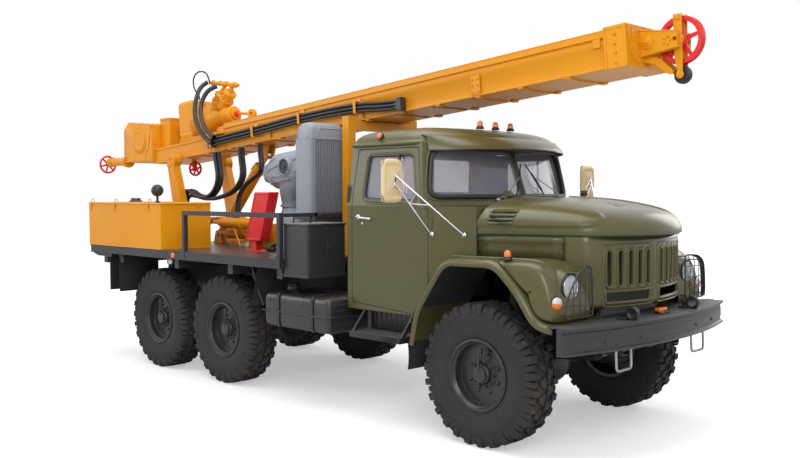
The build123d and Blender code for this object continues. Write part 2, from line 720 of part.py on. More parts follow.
with BuildPart() as cab_cowl:
    add(cab_body.part)
    slab(rear_panel_x, cab_front_x + 20, -cab_half_width - 99, cab_half_width + 99, 900, 2400,
         mode=Mode.INTERSECT)
    slab(rear_panel_x, cab_front_x - cab_wall, -cab_half_width - 99, cab_half_width + 99, 900, 1100,
         mode=Mode.SUBTRACT)
    for side in (-1, 1):
        y = side * cab_half_width
        for z in door_hinge_z:
            upright(hinge_x, y, z - pin_clearance, z + knuckle_height + pin_clearance, lug_radius + 6,
                    mode=Mode.SUBTRACT)
            upright(hinge_x, y, z - lug_height + 4, z - pin_clearance, lug_radius)
            upright(hinge_x, y, z + knuckle_height + pin_clearance, z + knuckle_height + lug_height - 4,
                    lug_radius)
            upright(hinge_x, y, z - lug_height + 4, z + knuckle_height + lug_height - 4, hinge_pin)
        # hood hinge lugs
        y0, y1 = sorted((side * (hood_lug_y + 32), side * (hood_lug_y + 60)))
        side_prism([(2870, belt_z - 10), (2899, belt_z - 10), (2899, 1885), (2925, 1900), (2925, 1943),
                    (2870, 1943)], y0, y1)
        y0, y1 = sorted((side * (hood_lug_y - 2), side * (hood_lug_y + 60)))
        with BuildSketch(Plane.XZ.offset(-y1)):
            with Locations((hood_rear_x, hood_hinge_z)):
                Circle(hinge_pin)
        extrude(amount=y1 - y0)
keep(cab_cowl, "cab_cowl")

with BuildPart() as cab_roof:
    add(cab_roof_form(0))
    add(cab_roof_form(30), mode=Mode.SUBTRACT)
keep(cab_roof, "cab_roof")

# Panes lie inside the wall's thickness, 0.3 mm clear of the edges of their openings
with BuildPart() as pane_layer:
    add(cab_upper(pane_inset))
    add(cab_upper(pane_inset + glass), mode=Mode.SUBTRACT)

for name, side in (("right", -1), ("left", 1)):
    with BuildPart() as pane:
        add(pane_layer.part)
        add(pane_form, mode=Mode.INTERSECT)
        edge = sorted((side * (cab_half_width - 200), side * (cab_half_width + 100)))
        slab(cab_rear_x - 100, cab_front_x - 300, edge[0], edge[1], 1850, 2400, mode=Mode.INTERSECT)
    keep(pane, f"door_glass_{name}")

with BuildPart() as cab_glass:
    with BuildPart(mode=Mode.PRIVATE) as openings:
        screen_prism(pane_seat, Mode.ADD)
        slab(cab_rear_x - 100, cab_rear_x + 200, -rear_window_half + pane_seat, rear_window_half - pane_seat,
             rear_window_z0 + pane_seat, rear_window_z1 - pane_seat)
    add(pane_layer.part)
    add(openings.part, mode=Mode.INTERSECT)
keep(cab_glass, "cab_glass")

# Cab inside
seat_half = cab_half_width - 180.0
soft_gap = 0.3
with BuildPart() as bench_seat:
    seat_z = cab_bottom_z + cab_wall + soft_gap
    side_prism(from_axle([(-1360, seat_z), (-820, seat_z),
                          (-820, 1430), (-1220, 1410), (-1300, 1940), (-1400, 1940)]), -seat_half, seat_half)
keep(bench_seat, "bench_seat")

wheel_y = 460.0
wheel_hub = (front_axle_x - 670.0, wheel_y, 1730.0)
column_tilt = 35.0
column_length = 360.0
column_dir = (-cos(radians(column_tilt)), 0, sin(radians(column_tilt)))
wheel_rim_radius = 225.0
with BuildPart() as dashboard:
    dash_front_x = cab_front_x - cab_wall
    side_prism([(dash_front_x - 210, 1450), (dash_front_x, 1450), (dash_front_x, 1800),
                (dash_front_x - 290, 1800), (dash_front_x - 310, 1700)],
               -cab_half_width + 130, cab_half_width - 130)
    hub_plane = Plane(origin=wheel_hub, z_dir=column_dir)
    with BuildSketch(Plane(origin=wheel_hub, x_dir=(0, 1, 0), z_dir=(-column_dir[2], 0, column_dir[0]))):
        with Locations((wheel_rim_radius, 0)):
            Circle(14)
    revolve(axis=Axis(wheel_hub, column_dir))
    with BuildSketch(hub_plane.offset(-15)):
        Circle(48)
        with PolarLocations(0, 3, start_angle=90):
            with Locations((wheel_rim_radius / 2, 0)):
                Rectangle(wheel_rim_radius, 26)
    extrude(amount=18)
    with BuildSketch(hub_plane.offset(-15)):
        Circle(24)
    extrude(amount=-column_length)
keep(dashboard, "dashboard")

# Mirrors on two stays from the cowl's side
mirror_x = front_axle_x - 590.0
mirror_y = cab_half_width + 350.0
mirror_z = 2020.0
mirror_width = 220.0
mirror_height = 340.0
stay_radius = 8.0
cowl_foot = from_axle([(-500, 1600), (-200, 1600)])


with BuildPart() as mirrors:
    for side in (-1, 1):
        slab(mirror_x - 22, mirror_x + 22, side * mirror_y - mirror_width / 2,
             side * mirror_y + mirror_width / 2, mirror_z - mirror_height / 2, mirror_z + mirror_height / 2)
        for x, z in cowl_foot:
            taper = (cab_half_width - cab_front_half_width) / (cab_front_x - widest_x)
            foot_y = cab_half_width - (x - widest_x) * taper
            rod_between((x, side * (foot_y + 8), z), (mirror_x + 10, side * mirror_y, mirror_z), stay_radius)
            with BuildSketch(Plane(origin=(x, side * (foot_y + 3.5), z), z_dir=(0, side, 0))):
                Circle(18)
            extrude(amount=12)
keep(mirrors, "mirrors")

# Lamps: headlamps in the fenders, three markers on the roof, one on each fender
lamp_radius = 26.0
with BuildPart() as lamps:
    for side in (-1, 1):
        with BuildSketch(Plane(origin=(lamp_seat_x, side * headlamp_y, headlamp_z), z_dir=(1, 0, 0))):
            Circle(headlamp_radius)
        extrude(amount=48)
    for y in (-212, 0, 212):
        with BuildSketch(Plane.XY.offset(roof_top_z)):
            with Locations((windscreen_top_x - 80, y)):
                Circle(lamp_radius)
        extrude(amount=60)
    for side in (-1, 1):
        with BuildSketch(Plane.XY.offset(1437.6)):
            with Locations((front_axle_x + 300, side * (fender_plane_y - 70))):
                Circle(lamp_radius)
        extrude(amount=70)
keep(lamps, "lamps")

# Fuel tanks, air receivers and exhaust hang on the rails
tank_x0 = front_axle_x - wheelbase + tyre_radius + 340.0
tank_x1 = cab_rear_x - 40.0
tank_y1 = deck_half_width - 60.0
tank_y0 = tank_y1 - 630.0
with BuildPart() as fuel_tanks:
    for side in (-1, 1):
        edge = sorted((side * tank_y0, side * tank_y1))
        slab(tank_x0, tank_x1, edge[0], edge[1], 700, 1010)
        bracket = sorted((side * rail_outer_y, side * tank_y0))
        for x in (tank_x0 + 220, tank_x1 - 220):
            slab(x - 30, x + 30, bracket[0], bracket[1], 800, 900)
keep(fuel_tanks, "fuel_tanks")

# Drilling subframe on the rails, and the platform on it
jack_x = frame_rear_x + 90
jack_y = 520.0
jack_radius = 60.0
jack_leg_radius = 42.0
jack_foot_z = 500.0
sub_z0 = rail_top_z
sub_z1 = deck_top_z - deck_side_depth
cross_beam_depth = 100.0
deck_beam_x = [deck_rear_x + 620, deck_rear_x + 1795, deck_front_x - 860, deck_front_x - 80]
with BuildPart() as subframe:
    for side in (-1, 1):
        edge = sorted((side * (rail_outer_y - subframe_beam_width), side * rail_outer_y))
        slab(frame_rear_x, cab_rear_x - 200, edge[0], edge[1], sub_z0, sub_z1)
    for x in deck_beam_x:
        slab(x - 40, x + 40, -deck_half_width + deck_side_width, deck_half_width - deck_side_width,
             sub_z1 - cross_beam_depth, sub_z1)
    # rear jack housings
    for side in (-1, 1):
        rod_between((jack_x, side * jack_y, 600), (jack_x, side * jack_y, 1130), jack_radius)
        bracket = sorted((side * rail_outer_y, side * (jack_y - 40)))
        slab(jack_x - 40, jack_x + 40, bracket[0], bracket[1], 780, 1100)
        rod_between((jack_x, side * jack_y, 590), (jack_x, side * jack_y, 1115),
                    jack_leg_radius + pin_clearance, mode=Mode.SUBTRACT)
keep(subframe, "subframe")

# Chassis with the mounts that carry the cab
with BuildPart() as chassis_frame:
    add(rails.part)
    for x in (cab_rear_x + 200, cab_front_x - 600):
        for side in (-1, 1):
            y0, y1 = sorted((side * (rail_outer_y - rail_flange), side * rail_outer_y))
            slab(x - 60, x + 60, y0, y1, rail_top_z, cab_bottom_z)
keep(chassis_frame, "chassis_frame")

tongue_x = cab_rear_x - 320.0
tongue_half = 620.0
deck_points = [(deck_rear_x, deck_half_width), (deck_rear_x, notch_half_width),
               (notch_front_x, notch_half_width), (notch_front_x, -notch_half_width),
               (deck_rear_x, -notch_half_width), (deck_rear_x, -deck_half_width),
               (deck_front_x, -deck_half_width), (deck_front_x, -tongue_half), (tongue_x, -tongue_half),
               (tongue_x, tongue_half), (deck_front_x, tongue_half), (deck_front_x, deck_half_width)]
with BuildPart() as deck:
    with BuildSketch(Plane.XY.offset(sub_z1)) as deck_plan:
        with BuildLine():
            Polyline(*deck_points, close=True)
        make_face()
    extrude(amount=deck_top_z - sub_z1)
    with BuildSketch(Plane.XY.offset(sub_z1)):
        with BuildLine():
            Polyline(*deck_points, close=True)
        make_face()
        offset(amount=-deck_side_width, kind=Kind.INTERSECTION)
    extrude(amount=deck_top_z - deck_plate - sub_z1, mode=Mode.SUBTRACT)
    for x in deck_beam_x:
        slab(x - 40, x + 40, -deck_half_width + deck_side_width, deck_half_width - deck_side_width,
             sub_z1, deck_top_z - deck_plate)
    # handrails on both sides of the walkway
    for side in (-1, 1):
        edge = sorted((side * (deck_half_width - rail_bar), side * deck_half_width))
        slab(deck_joint_x, deck_front_x, edge[0], edge[1], handrail_z - rail_bar, handrail_z)
        for x in (deck_joint_x, deck_front_x - rail_bar):
            slab(x, x + rail_bar, edge[0], edge[1], deck_top_z, handrail_z - rail_bar)
    # rear mud flaps
    for side in (-1, 1):
        y0, y1 = sorted((side * 700, side * (deck_half_width - 50)))
        slab(flap_x - flap_thickness, flap_x, y0, y1, 815, sub_z1)
keep(deck, "deck")

# Oil tank at the right rear, control console at the left side
oil_tank_x1 = deck_rear_x + 1590.0
oil_tank_z1 = 1830.0
lid_depth = 15.0
with BuildPart() as oil_tank:
    slab(deck_rear_x - 30, oil_tank_x1, -deck_half_width, -620, deck_top_z, oil_tank_z1 - lid_depth)
    slab(deck_rear_x - 40, oil_tank_x1 + 10, -deck_half_width - 8, -612, oil_tank_z1 - lid_depth, oil_tank_z1)
keep(oil_tank, "oil_tank")

with BuildPart() as control_console:
    console = [(-580, deck_top_z), (-180, deck_top_z), (-180, 2000), (-380, 2000), (-580, 1850)]
    side_prism([(deck_joint_x + x, z) for x, z in console], deck_half_width - 550, deck_half_width - 100)
keep(control_console, "control_console")

# Cabinets at the deck's front end
with BuildPart() as cabinets:
    for side in (-1, 1):
        edge = sorted((side * (deck_half_width - 490), side * (deck_half_width - 50)))
        slab(deck_front_x, cab_rear_x - 305, edge[0], edge[1], 1175, 1660)
keep(cabinets, "cabinets")

# Compressor: finned cooler, and behind it the casting on its dome
cooler_x0 = deck_front_x - 360.0
cooler_x1 = deck_front_x - 125.0
cooler_y0 = -790.0
cooler_y1 = -330.0
fin_pitch = 46.0
fin_gap = 24.0
fin_reach = 40.0
with BuildPart() as compressor:
    slab(cooler_x0, cooler_x1, cooler_y0, cooler_y1, 1720, 2470)
    slab(cooler_x0 + 20, cooler_x1 - fin_reach, cooler_y0 + 20, cooler_y1, 2470, 2605)
    slab(cooler_x0 - 20, cooler_x1, -600, cooler_y1, deck_top_z, 1720)
    for i in range(10):
        y = cooler_y0 + fin_pitch / 2 + i * fin_pitch
        slab(cooler_x1 - fin_reach, cooler_x1 + 1, y - fin_gap / 2, y + fin_gap / 2, 1790, 2445,
             mode=Mode.SUBTRACT)
    # casting: (x, z, half width) sections of the housing, from its nose to the cooler
    housing = [(-1220, 2140, 90, 90), (-1020, 2155, 185, 175), (-560, 2195, 185, 150), (-340, 2330, 190, 180)]
    for (xa, za, ha, wa), (xb, zb, hb, wb) in zip(housing, housing[1:]):
        with BuildSketch(Plane.YZ.offset(cooler_x0 + 20 + xa + 340)) as first:
            with Locations((-410, za)):
                RectangleRounded(2 * wa, 2 * ha, 40)
        with BuildSketch(Plane.YZ.offset(cooler_x0 + 20 + xb + 340)) as second:
            with Locations((-410, zb)):
                RectangleRounded(2 * wb, 2 * hb, 40)
        loft([first.sketch, second.sketch], ruled=True)
    # neck and dome: (x, z, half length, half width) sections
    neck = [(-440, 2000, 190, 150), (-530, 1850, 95, 95), (-510, 1790, 95, 95), (-410, 1730, 160, 160),
            (-400, 1640, 190, 185), (-400, deck_top_z, 195, 190)]
    for (xa, za, ha, wa), (xb, zb, hb, wb) in zip(neck, neck[1:]):
        with BuildSketch(Plane.XY.offset(za)) as first:
            with Locations((cooler_x0 + xa, -410)):
                RectangleRounded(2 * ha, 2 * wa, 60)
        with BuildSketch(Plane.XY.offset(zb)) as second:
            with Locations((cooler_x0 + xb, -410)):
                RectangleRounded(2 * hb, 2 * wb, 60)
        loft([first.sketch, second.sketch], ruled=True)
keep(compressor, "compressor")

with BuildPart() as belt_guard:
    guard = [(-1245, 1440), (-985, 1440), (-820, 1940), (-1070, 1940)]
    side_prism([(deck_front_x + x, z) for x, z in guard], -740, -620)
    foot = [(-1180, deck_top_z), (-1080, deck_top_z), (-1080, 1440), (-1180, 1440)]
    side_prism([(deck_front_x + x, z) for x, z in foot], -720, -640)
keep(belt_guard, "belt_guard")

pump_x = deck_front_x - 1960.0
with BuildPart() as mud_pump:
    slab(pump_x, pump_x + 900, -180, 380, deck_top_z, 1520)
    with BuildSketch(Plane.YZ.offset(pump_x - 650)):
        with Locations((-260, 1590)):
            Circle(60)
    extrude(amount=1100)
    slab(pump_x + 150, pump_x + 400, -260, 60, 1400, 1590)
keep(mud_pump, "mud_pump")

# Mast stand: two leaning legs with a cross tie, and the bearing bosses for the mast's pins
pivot_boss = 82.0
pivot_pin = 35.0
valve_z = 1800.0
with BuildPart() as mast_supports:
    for side in (-1, 1):
        y0, y1 = sorted((side * (leg_y - leg_width / 2), side * (leg_y + leg_width / 2)))
        side_prism([(pivot_x - 70, pivot_z - 60), (pivot_x + 60, pivot_z - 60), (pivot_x + 400, deck_top_z),
                    (pivot_x + 150, deck_top_z)], y0, y1)
        with BuildSketch(Plane.XZ.offset(-y1)):
            with Locations((pivot_x, pivot_z)):
                Circle(pivot_boss)
        extrude(amount=leg_width)
        with BuildSketch(Plane.XZ.offset(-y1)):
            with Locations((pivot_x, pivot_z)):
                Circle(pivot_pin + pin_clearance)
        extrude(amount=leg_width, mode=Mode.SUBTRACT)
    # valve block that takes two of the hanging hoses
    slab(pivot_x - 10, pivot_x + 110, leg_width / 2 - leg_y - 1, -225, 1740, valve_z)
    slab(pivot_x + 200, pivot_x + 280, -leg_y + leg_width / 2, leg_y - leg_width / 2, 1560, 1640)

# Lift cylinder between the deck and the mast: barrel on its foot bracket, rod to the mast's clevis
lift_foot = (pivot_x + 450.0, 1440.0)
lift_head = (pivot_x + 1370.0, 2370.0)
barrel_radius = 66.0
lift_rod_radius = 34.0
lift_length = hypot(lift_head[0] - lift_foot[0], lift_head[1] - lift_foot[1])
lift_angle = degrees(atan2(lift_head[1] - lift_foot[1], lift_head[0] - lift_foot[0]))
lift_dir = (cos(radians(lift_angle)), 0, sin(radians(lift_angle)))
barrel_length = lift_length - 170
lift_pin = 24.0
eye_half = 32.0


def on_lift(distance):
    return (lift_foot[0] + lift_dir[0] * distance, 0, lift_foot[1] + lift_dir[2] * distance)


with BuildPart() as lift_bracket:
    for side in (-1, 1):
        y0, y1 = sorted((side * (eye_half + 6), side * (eye_half + 26)))
        side_prism([(lift_foot[0] - 90, deck_top_z), (lift_foot[0] - 45, lift_foot[1] + 40),
                    (lift_foot[0] + 45, lift_foot[1] + 40), (lift_foot[0] + 90, deck_top_z)], y0, y1)
        with BuildSketch(Plane.XZ.offset(-y1)):
            with Locations(lift_foot):
                Circle(lift_pin + pin_clearance)
        extrude(amount=20, mode=Mode.SUBTRACT)

# Mast rest behind the cab
rest_x0 = deck_front_x - 20.0
rest_x1 = deck_front_x + 70.0
rest_y = 425.0


def mast_bottom_z(x):
    return pivot_z + mast_under / cos(radians(mast_slope)) + (x - pivot_x) * tan(radians(mast_slope))


rest_gap = 0.3
with BuildPart() as mast_rest:
    for side in (-1, 1):
        y0, y1 = sorted((side * (rest_y - 45), side * (rest_y + 45)))
        slab(rest_x0, rest_x1, y0, y1, deck_top_z, 2660)
    low = mast_bottom_z(rest_x0) - rest_gap
    slab(rest_x0, rest_x1, -rest_y + 45, rest_y - 45, low - 90, low)

with BuildPart() as mast_stand:
    add(mast_supports.part)
    add(lift_bracket.part)
    add(mast_rest.part)
keep(mast_stand, "mast_stand")

# Mast: two side rails on a floor web, with a head block in front and pins at the pivot
head_x0 = front_axle_x + 630.0
head_x1 = front_axle_x + 820.0


def along_at(x):
    return (x - pivot_x) / cos(radians(mast_slope))


ring_x = pivot_x - 117.0
ring_z = 2240.0
ring_rim = 95.0
foot_a = along_at(pivot_x - 610)
step_a0 = along_at(pivot_x + 780)
step_a1 = along_at(pivot_x + 940)
head_a0 = along_at(head_x0)
head_a1 = along_at(head_x1)
floor_depth = 50.0
bottom_h = mast_under
tab_depth = 12.0
hose_top_x = [-1580.0, -1102.0, -782.0]
hose_y = -300.0
with BuildPart() as mast_rails:
    for side in (-1, 1):
        y0, y1 = sorted((side * (mast_half_width - mast_rail), side * mast_half_width))
        mast_prism([(foot_a, bottom_h), (head_a0, bottom_h), (head_a0, bottom_h + mast_depth),
                    (step_a1, bottom_h + mast_depth), (step_a0, bottom_h + mast_low_depth),
                    (foot_a, bottom_h + mast_low_depth)], y0, y1)
        with BuildSketch(Plane.XZ.offset(-side * (leg_y + leg_width / 2))):
            with Locations((pivot_x, pivot_z)):
                Circle(pivot_pin)
        extrude(amount=side * (leg_y + leg_width / 2 - mast_half_width + mast_rail))
        y0, y1 = sorted((side * (mast_half_width - mast_rail), side * (leg_y - leg_width / 2 - 6)))
        mast_prism([(-110, bottom_h + 60), (-80, -70), (80, -70), (110, bottom_h + 60)], y0, y1)
    # flange that the hanging hoses start from
    tab_start, tab_end = along_at(hose_top_x[0] - 60), along_at(hose_top_x[-1] + 60)
    mast_prism([(tab_start, bottom_h - tab_depth), (tab_end, bottom_h - tab_depth), (tab_end, bottom_h),
                (tab_start, bottom_h)], hose_y - 32, mast_rail - mast_half_width)
keep(mast_rails, "mast_rails")

with BuildPart() as mast_web:
    inner = mast_half_width - mast_rail
    mast_box(foot_a, head_a0, -inner, inner, bottom_h, bottom_h + floor_depth)
    # clevis plates for the lift rod
    eye_a = (lift_head[0] - pivot_x) * mast_dir[0] + (lift_head[1] - pivot_z) * mast_dir[2]
    eye_h = (lift_head[1] - pivot_z) * mast_dir[0] - (lift_head[0] - pivot_x) * mast_dir[2]
    for side in (-1, 1):
        y0, y1 = sorted((side * (eye_half + 6), side * (eye_half + 26)))
        mast_prism([(eye_a - 110, bottom_h), (eye_a - 50, eye_h - 50), (eye_a + 50, eye_h - 50),
                    (eye_a + 110, bottom_h)], y0, y1)
    # hanger of the lower hand wheel
    slab(ring_x - 30, ring_x - 14, -25, 25, ring_z - 30, ring_z + 140)
keep(mast_web, "mast_web")

# Foot gearbox behind the pivot, with the tube and ring that reach to the rear
gear_x0 = pivot_x - 1370.0
gear_x1 = pivot_x - 610.0
table_x1 = pivot_x - 380.0
mast_tail_x = pivot_x - 1850.0
with BuildPart() as foot_gearbox:
    side_prism([(gear_x0, 2337), (gear_x0, 2768), (gear_x0 + 120, 2868), (gear_x1, 2815), (gear_x1, 2337)],
               -300, 300)
    side_prism([(gear_x1, 2330), (table_x1, 2330), (table_x1, 2885), (gear_x1, 2885)], -195, 195)
    with BuildSketch(Plane.YZ.offset(mast_tail_x)):
        with Locations((-245, 2350)):
            Circle(50)
    extrude(amount=gear_x0 - mast_tail_x)
    add(mast_rails.part, mode=Mode.SUBTRACT)
    add(mast_web.part, mode=Mode.SUBTRACT)
keep(foot_gearbox, "foot_gearbox")

with BuildPart() as hand_wheels:
    for x, y, z, radius in ((mast_tail_x - 56, -250, 2330, 125), (ring_x, 0, ring_z, ring_rim)):
        centre = (x, y, z)
        with BuildSketch(Plane(origin=centre, x_dir=(0, 1, 0), z_dir=(0, 0, 1))):
            with Locations((radius - 14, 0)):
                Circle(14)
        revolve(axis=Axis(centre, (1, 0, 0)))
        with BuildSketch(Plane.YZ.offset(x - 8)):
            with Locations((y, z)):
                Circle(26)
                with PolarLocations(0, 4):
                    with Locations((radius / 2, 0)):
                        Rectangle(radius - 14, 18)
        extrude(amount=16)
        with BuildSketch(Plane.YZ.offset(x - 14 if x > gear_x0 else x)):
            with Locations((y, z)):
                Circle(12)
        extrude(amount=20 if x > gear_x0 else mast_tail_x - x)
keep(hand_wheels, "hand_wheels")

# Crown: two plates on the head block carry the sheave and, below it, a roller
crown_x = front_axle_x + 1090.0
crown_z = 3050.0
sheave_radius = 180.0
sheave_width = 54.0
crown_pin = 16.0
roller_x = front_axle_x + 1107.0
roller_z = 2793.0
roller_radius = 66.0
crown_plate = 16.0
crown_gap = 6.0
with BuildPart() as mast_head:
    mast_box(head_a0, head_a1, -mast_half_width - 15, mast_half_width + 15,
             bottom_h - 10, bottom_h + mast_depth + 20)
    for side in (-1, 1):
        plate_in = sheave_width / 2 + crown_gap
        y0, y1 = sorted((side * plate_in, side * (plate_in + crown_plate)))
        side_prism([(crown_x - 45, crown_z + 190), (crown_x + 20, crown_z + 190), (crown_x + 25, crown_z),
                    (crown_x + 35, roller_z - 22), (crown_x, roller_z - 22),
                    (crown_x - 30, crown_z - 120)], y0, y1)
        y2, y3 = sorted((side * (plate_in + crown_plate), side * 110))
        side_prism([(head_x1 - 20, crown_z - 110), (head_x1 - 20, crown_z + 95), (crown_x + 20, crown_z + 60),
                    (crown_x + 20, crown_z - 60)], y2, y3)
        for x, z in ((crown_x, crown_z), (roller_x, roller_z)):
            with BuildSketch(Plane.XZ.offset(-y1)):
                with Locations((x, z)):
                    Circle(crown_pin + pin_clearance)
            extrude(amount=130 if side < 0 else 16, mode=Mode.SUBTRACT)
keep(mast_head, "mast_head")

for name, x, z, radius, groove in (("crown_sheave", crown_x, crown_z, sheave_radius, 14),
                                   ("crown_roller", roller_x, roller_z, roller_radius, 0)):
    with BuildPart() as pulley:
        with BuildSketch(Plane(origin=(x, 0, z), x_dir=(1, 0, 0), z_dir=(0, 0, 1))):
            half = sheave_width / 2
            with BuildLine():
                Polyline((0, -half - crown_gap - 14), (crown_pin, -half - crown_gap - 14), (crown_pin, -half),
                         (radius * 0.35, -half), (radius * 0.35, -half + 10))
                Polyline((radius * 0.35, -half + 10), (radius * 0.8, -half + 10), (radius * 0.8, -half),
                         (radius, -half), (radius - groove, 0), (radius, half), (radius * 0.8, half),
                         (radius * 0.8, half - 10), (radius * 0.35, half - 10), (radius * 0.35, half),
                         (crown_pin, half), (crown_pin, half + crown_gap + 14), (0, half + crown_gap + 14),
                         (0, -half - crown_gap - 14))
            make_face()
        revolve(axis=Axis((x, 0, z), (0, 1, 0)))
    keep(pulley, name)

# Rotary head: a slipper in the mast's channel, the gear case, its motors and swivel pipework
head_h0 = bottom_h + floor_depth + 0.5
spindle_h = 470.0
head_half = 190.0
head_a_rear = along_at(pivot_x - 140)
head_a_front = along_at(pivot_x + 180)
with BuildPart() as rotary_head:
    mast_box(head_a_rear, head_a_front, -head_half, head_half, bottom_h + mast_low_depth + 60, 735)
    mast_box(head_a_rear, head_a_front + 600, -head_half, head_half, head_h0, bottom_h + mast_low_depth + 60)
    gear_centre = mast_side.offset(0).from_local_coords((head_a_front, spindle_h, 0))
    with BuildSketch(Plane(origin=gear_centre, z_dir=mast_dir)):
        Circle(235)
    extrude(amount=160)
    with BuildSketch(Plane(origin=gear_centre, z_dir=mast_dir)):
        Circle(95)
    extrude(amount=700)
    rod_between((pivot_x + 350, 0, 2950), (pivot_x + 490, 0, 3130), 70)
    rod_between((pivot_x + 500, 0, 2950), (pivot_x + 670, 0, 3140), 70)
    rod_between((pivot_x + 245, 0, 3280), (pivot_x + 825, 0, 3200), 30)
    rod_between((pivot_x + 490, 0, 3100), (pivot_x + 550, 0, 3245), 28)
    rod_between((pivot_x + 660, 0, 3100), (pivot_x + 700, 0, 3225), 28)
keep(rotary_head, "rotary_head")

# Spindle, turning in the gear case's rear face
spindle_radius = 45.0
spindle_a0 = along_at(pivot_x - 330)
with BuildPart() as spindle:
    start = mast_side.from_local_coords((spindle_a0, spindle_h, 0))
    with BuildSketch(Plane(origin=start, z_dir=mast_dir)):
        Circle(spindle_radius)
    extrude(amount=head_a_rear - spindle_a0 - pin_clearance)
    with BuildSketch(Plane(origin=start, z_dir=mast_dir).offset(100)):
        Circle(70)
    extrude(amount=40)
    with BuildSketch(Plane(origin=start, z_dir=mast_dir)):
        Circle(25)
    extrude(amount=120, mode=Mode.SUBTRACT)
keep(spindle, "spindle")

with BuildPart() as lift_barrel:
    rod_between(on_lift(76), on_lift(barrel_length), barrel_radius)
    rod_between(on_lift(20), on_lift(84), eye_half - 2)
    with BuildSketch(Plane.XZ.offset(-eye_half)):
        with Locations(lift_foot):
            Circle(46)
    extrude(amount=2 * eye_half)
    with BuildSketch(Plane.XZ.offset(-eye_half - 24)):
        with Locations(lift_foot):
            Circle(lift_pin)
    extrude(amount=2 * eye_half + 48)
    rod_between(on_lift(110), on_lift(barrel_length + 5), lift_rod_radius + pin_clearance, mode=Mode.SUBTRACT)
keep(lift_barrel, "lift_barrel")

with BuildPart() as lift_rod:
    rod_between(on_lift(130), on_lift(lift_length - 30), lift_rod_radius)
    with BuildSketch(Plane.XZ.offset(-eye_half)):
        with Locations(lift_head):
            Circle(46)
    extrude(amount=2 * eye_half)
keep(lift_rod, "lift_rod")

# Rear jack legs with their feet, drawn up into the housings
for name, side in (("right", -1), ("left", 1)):
    with BuildPart() as jack_leg:
        rod_between((jack_x, side * jack_y, jack_foot_z), (jack_x, side * jack_y, 1105), jack_leg_radius)
        rod_between((jack_x, side * jack_y, jack_foot_z), (jack_x, side * jack_y, jack_foot_z + 24), 120)
    keep(jack_leg, f"jack_leg_{name}")

# Hoses. Each route is a list of points (x, y, z), and its corners are rounded by arcs
def hose(route, radius, bend):
    with BuildLine() as path:
        FilletPolyline(*route, radius=bend)
    with BuildSketch(Plane(origin=path.line @ 0, z_dir=path.line % 0)) as section:
        Circle(radius)
    sweep(section.sketch, path=path.line)


swivel_hose_radius = 26.0
with BuildPart() as head_hoses:
    hose([(-2078, -60, 3280), (-2110, -135, 3235), (-2075, -225, 3085), (-2041, -280, 2914),
          (-1913, -330, 2762), (-1782, -360, 2624), (-1559, -360, 2510)], swivel_hose_radius, 60)
    hose([(-1880, -60, 3215), (-1925, -120, 3190), (-1963, -190, 3100), (-1960, -250, 2940),
          (-1831, -310, 2782), (-1680, -345, 2648), (-1500, -360, 2575)], swivel_hose_radius, 60)
    hose([(-2060, -40, 3262), (-2060, -60, 3350), (-2120, -80, 3415), (-2270, -90, 3420),
          (-2365, -90, 3330), (-2330, -80, 3190), (-2260, -60, 3135), (-2260, -60, 3077)], 9, 25)
keep(head_hoses, "head_hoses")

line_radius = 18.0
line_y = -mast_half_width - soft_gap - line_radius
with BuildPart() as mast_hoses:
    for side in (-1, 1):
        rise = side * (line_radius + 2)
        hose([(-1630, line_y, 2515 + rise), (-1480, line_y, 2540 + rise), (-845, line_y, 2600 + rise),
              (21, line_y, 2703 + rise), (920, line_y, 2758 + rise), (1240, line_y, 2735 + rise),
              (1480, line_y, 2745 + rise)], line_radius, 200)
keep(mast_hoses, "mast_hoses")


def hose_top(x):
    return mast_bottom_z(x) - tab_depth - soft_gap - 3


with BuildPart() as deck_hoses:
    hose([(hose_top_x[0], hose_y, hose_top(hose_top_x[0])), (hose_top_x[0], hose_y, 2330),
          (-1535, hose_y, 2200), (-1530, hose_y, 2080),
          (-1600, hose_y, 1960), (-1740, hose_y, 1880), (-1960, hose_y, 1890), (-2120, hose_y, 1965),
          (-2300, hose_y, 1950), (-2300, hose_y, valve_z + soft_gap)], 24, 50)
    hose([(hose_top_x[1], -245, hose_top(hose_top_x[1])), (hose_top_x[1], -245, 2340),
          (-1070, -245, 2220), (-1070, -245, 2100),
          (-1200, -245, 1975), (-1400, -245, 1905), (-1750, -245, 1850), (-2040, -245, 1905),
          (-2265, -245, 1900), (-2265, -245, valve_z + soft_gap)], 20, 45)
    hose([(hose_top_x[2], -260, hose_top(hose_top_x[2])), (hose_top_x[2], -260, 2370),
          (-755, -260, 2270), (-770, -260, 2160), (-930, -260, 2090), (-1110, -260, 2000),
          (-1225, -260, 1850), (-1225, -260, 1650 + soft_gap)], 15, 40)
keep(deck_hoses, "deck_hoses")
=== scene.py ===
import math

import bmesh
import bpy
from mathutils import Matrix, Vector


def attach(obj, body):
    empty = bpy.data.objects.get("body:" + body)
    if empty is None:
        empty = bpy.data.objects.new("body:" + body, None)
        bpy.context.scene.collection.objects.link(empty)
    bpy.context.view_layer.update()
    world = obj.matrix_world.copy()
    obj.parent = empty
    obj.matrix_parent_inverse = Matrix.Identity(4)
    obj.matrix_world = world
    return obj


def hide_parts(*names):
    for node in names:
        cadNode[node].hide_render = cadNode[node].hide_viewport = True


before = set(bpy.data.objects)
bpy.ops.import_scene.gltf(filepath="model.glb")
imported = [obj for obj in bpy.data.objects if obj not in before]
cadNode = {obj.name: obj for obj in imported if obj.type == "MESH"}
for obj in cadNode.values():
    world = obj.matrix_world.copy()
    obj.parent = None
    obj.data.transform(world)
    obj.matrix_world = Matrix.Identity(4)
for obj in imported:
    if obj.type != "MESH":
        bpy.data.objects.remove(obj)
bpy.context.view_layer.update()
print("frame loaded:", len(cadNode), "nodes")

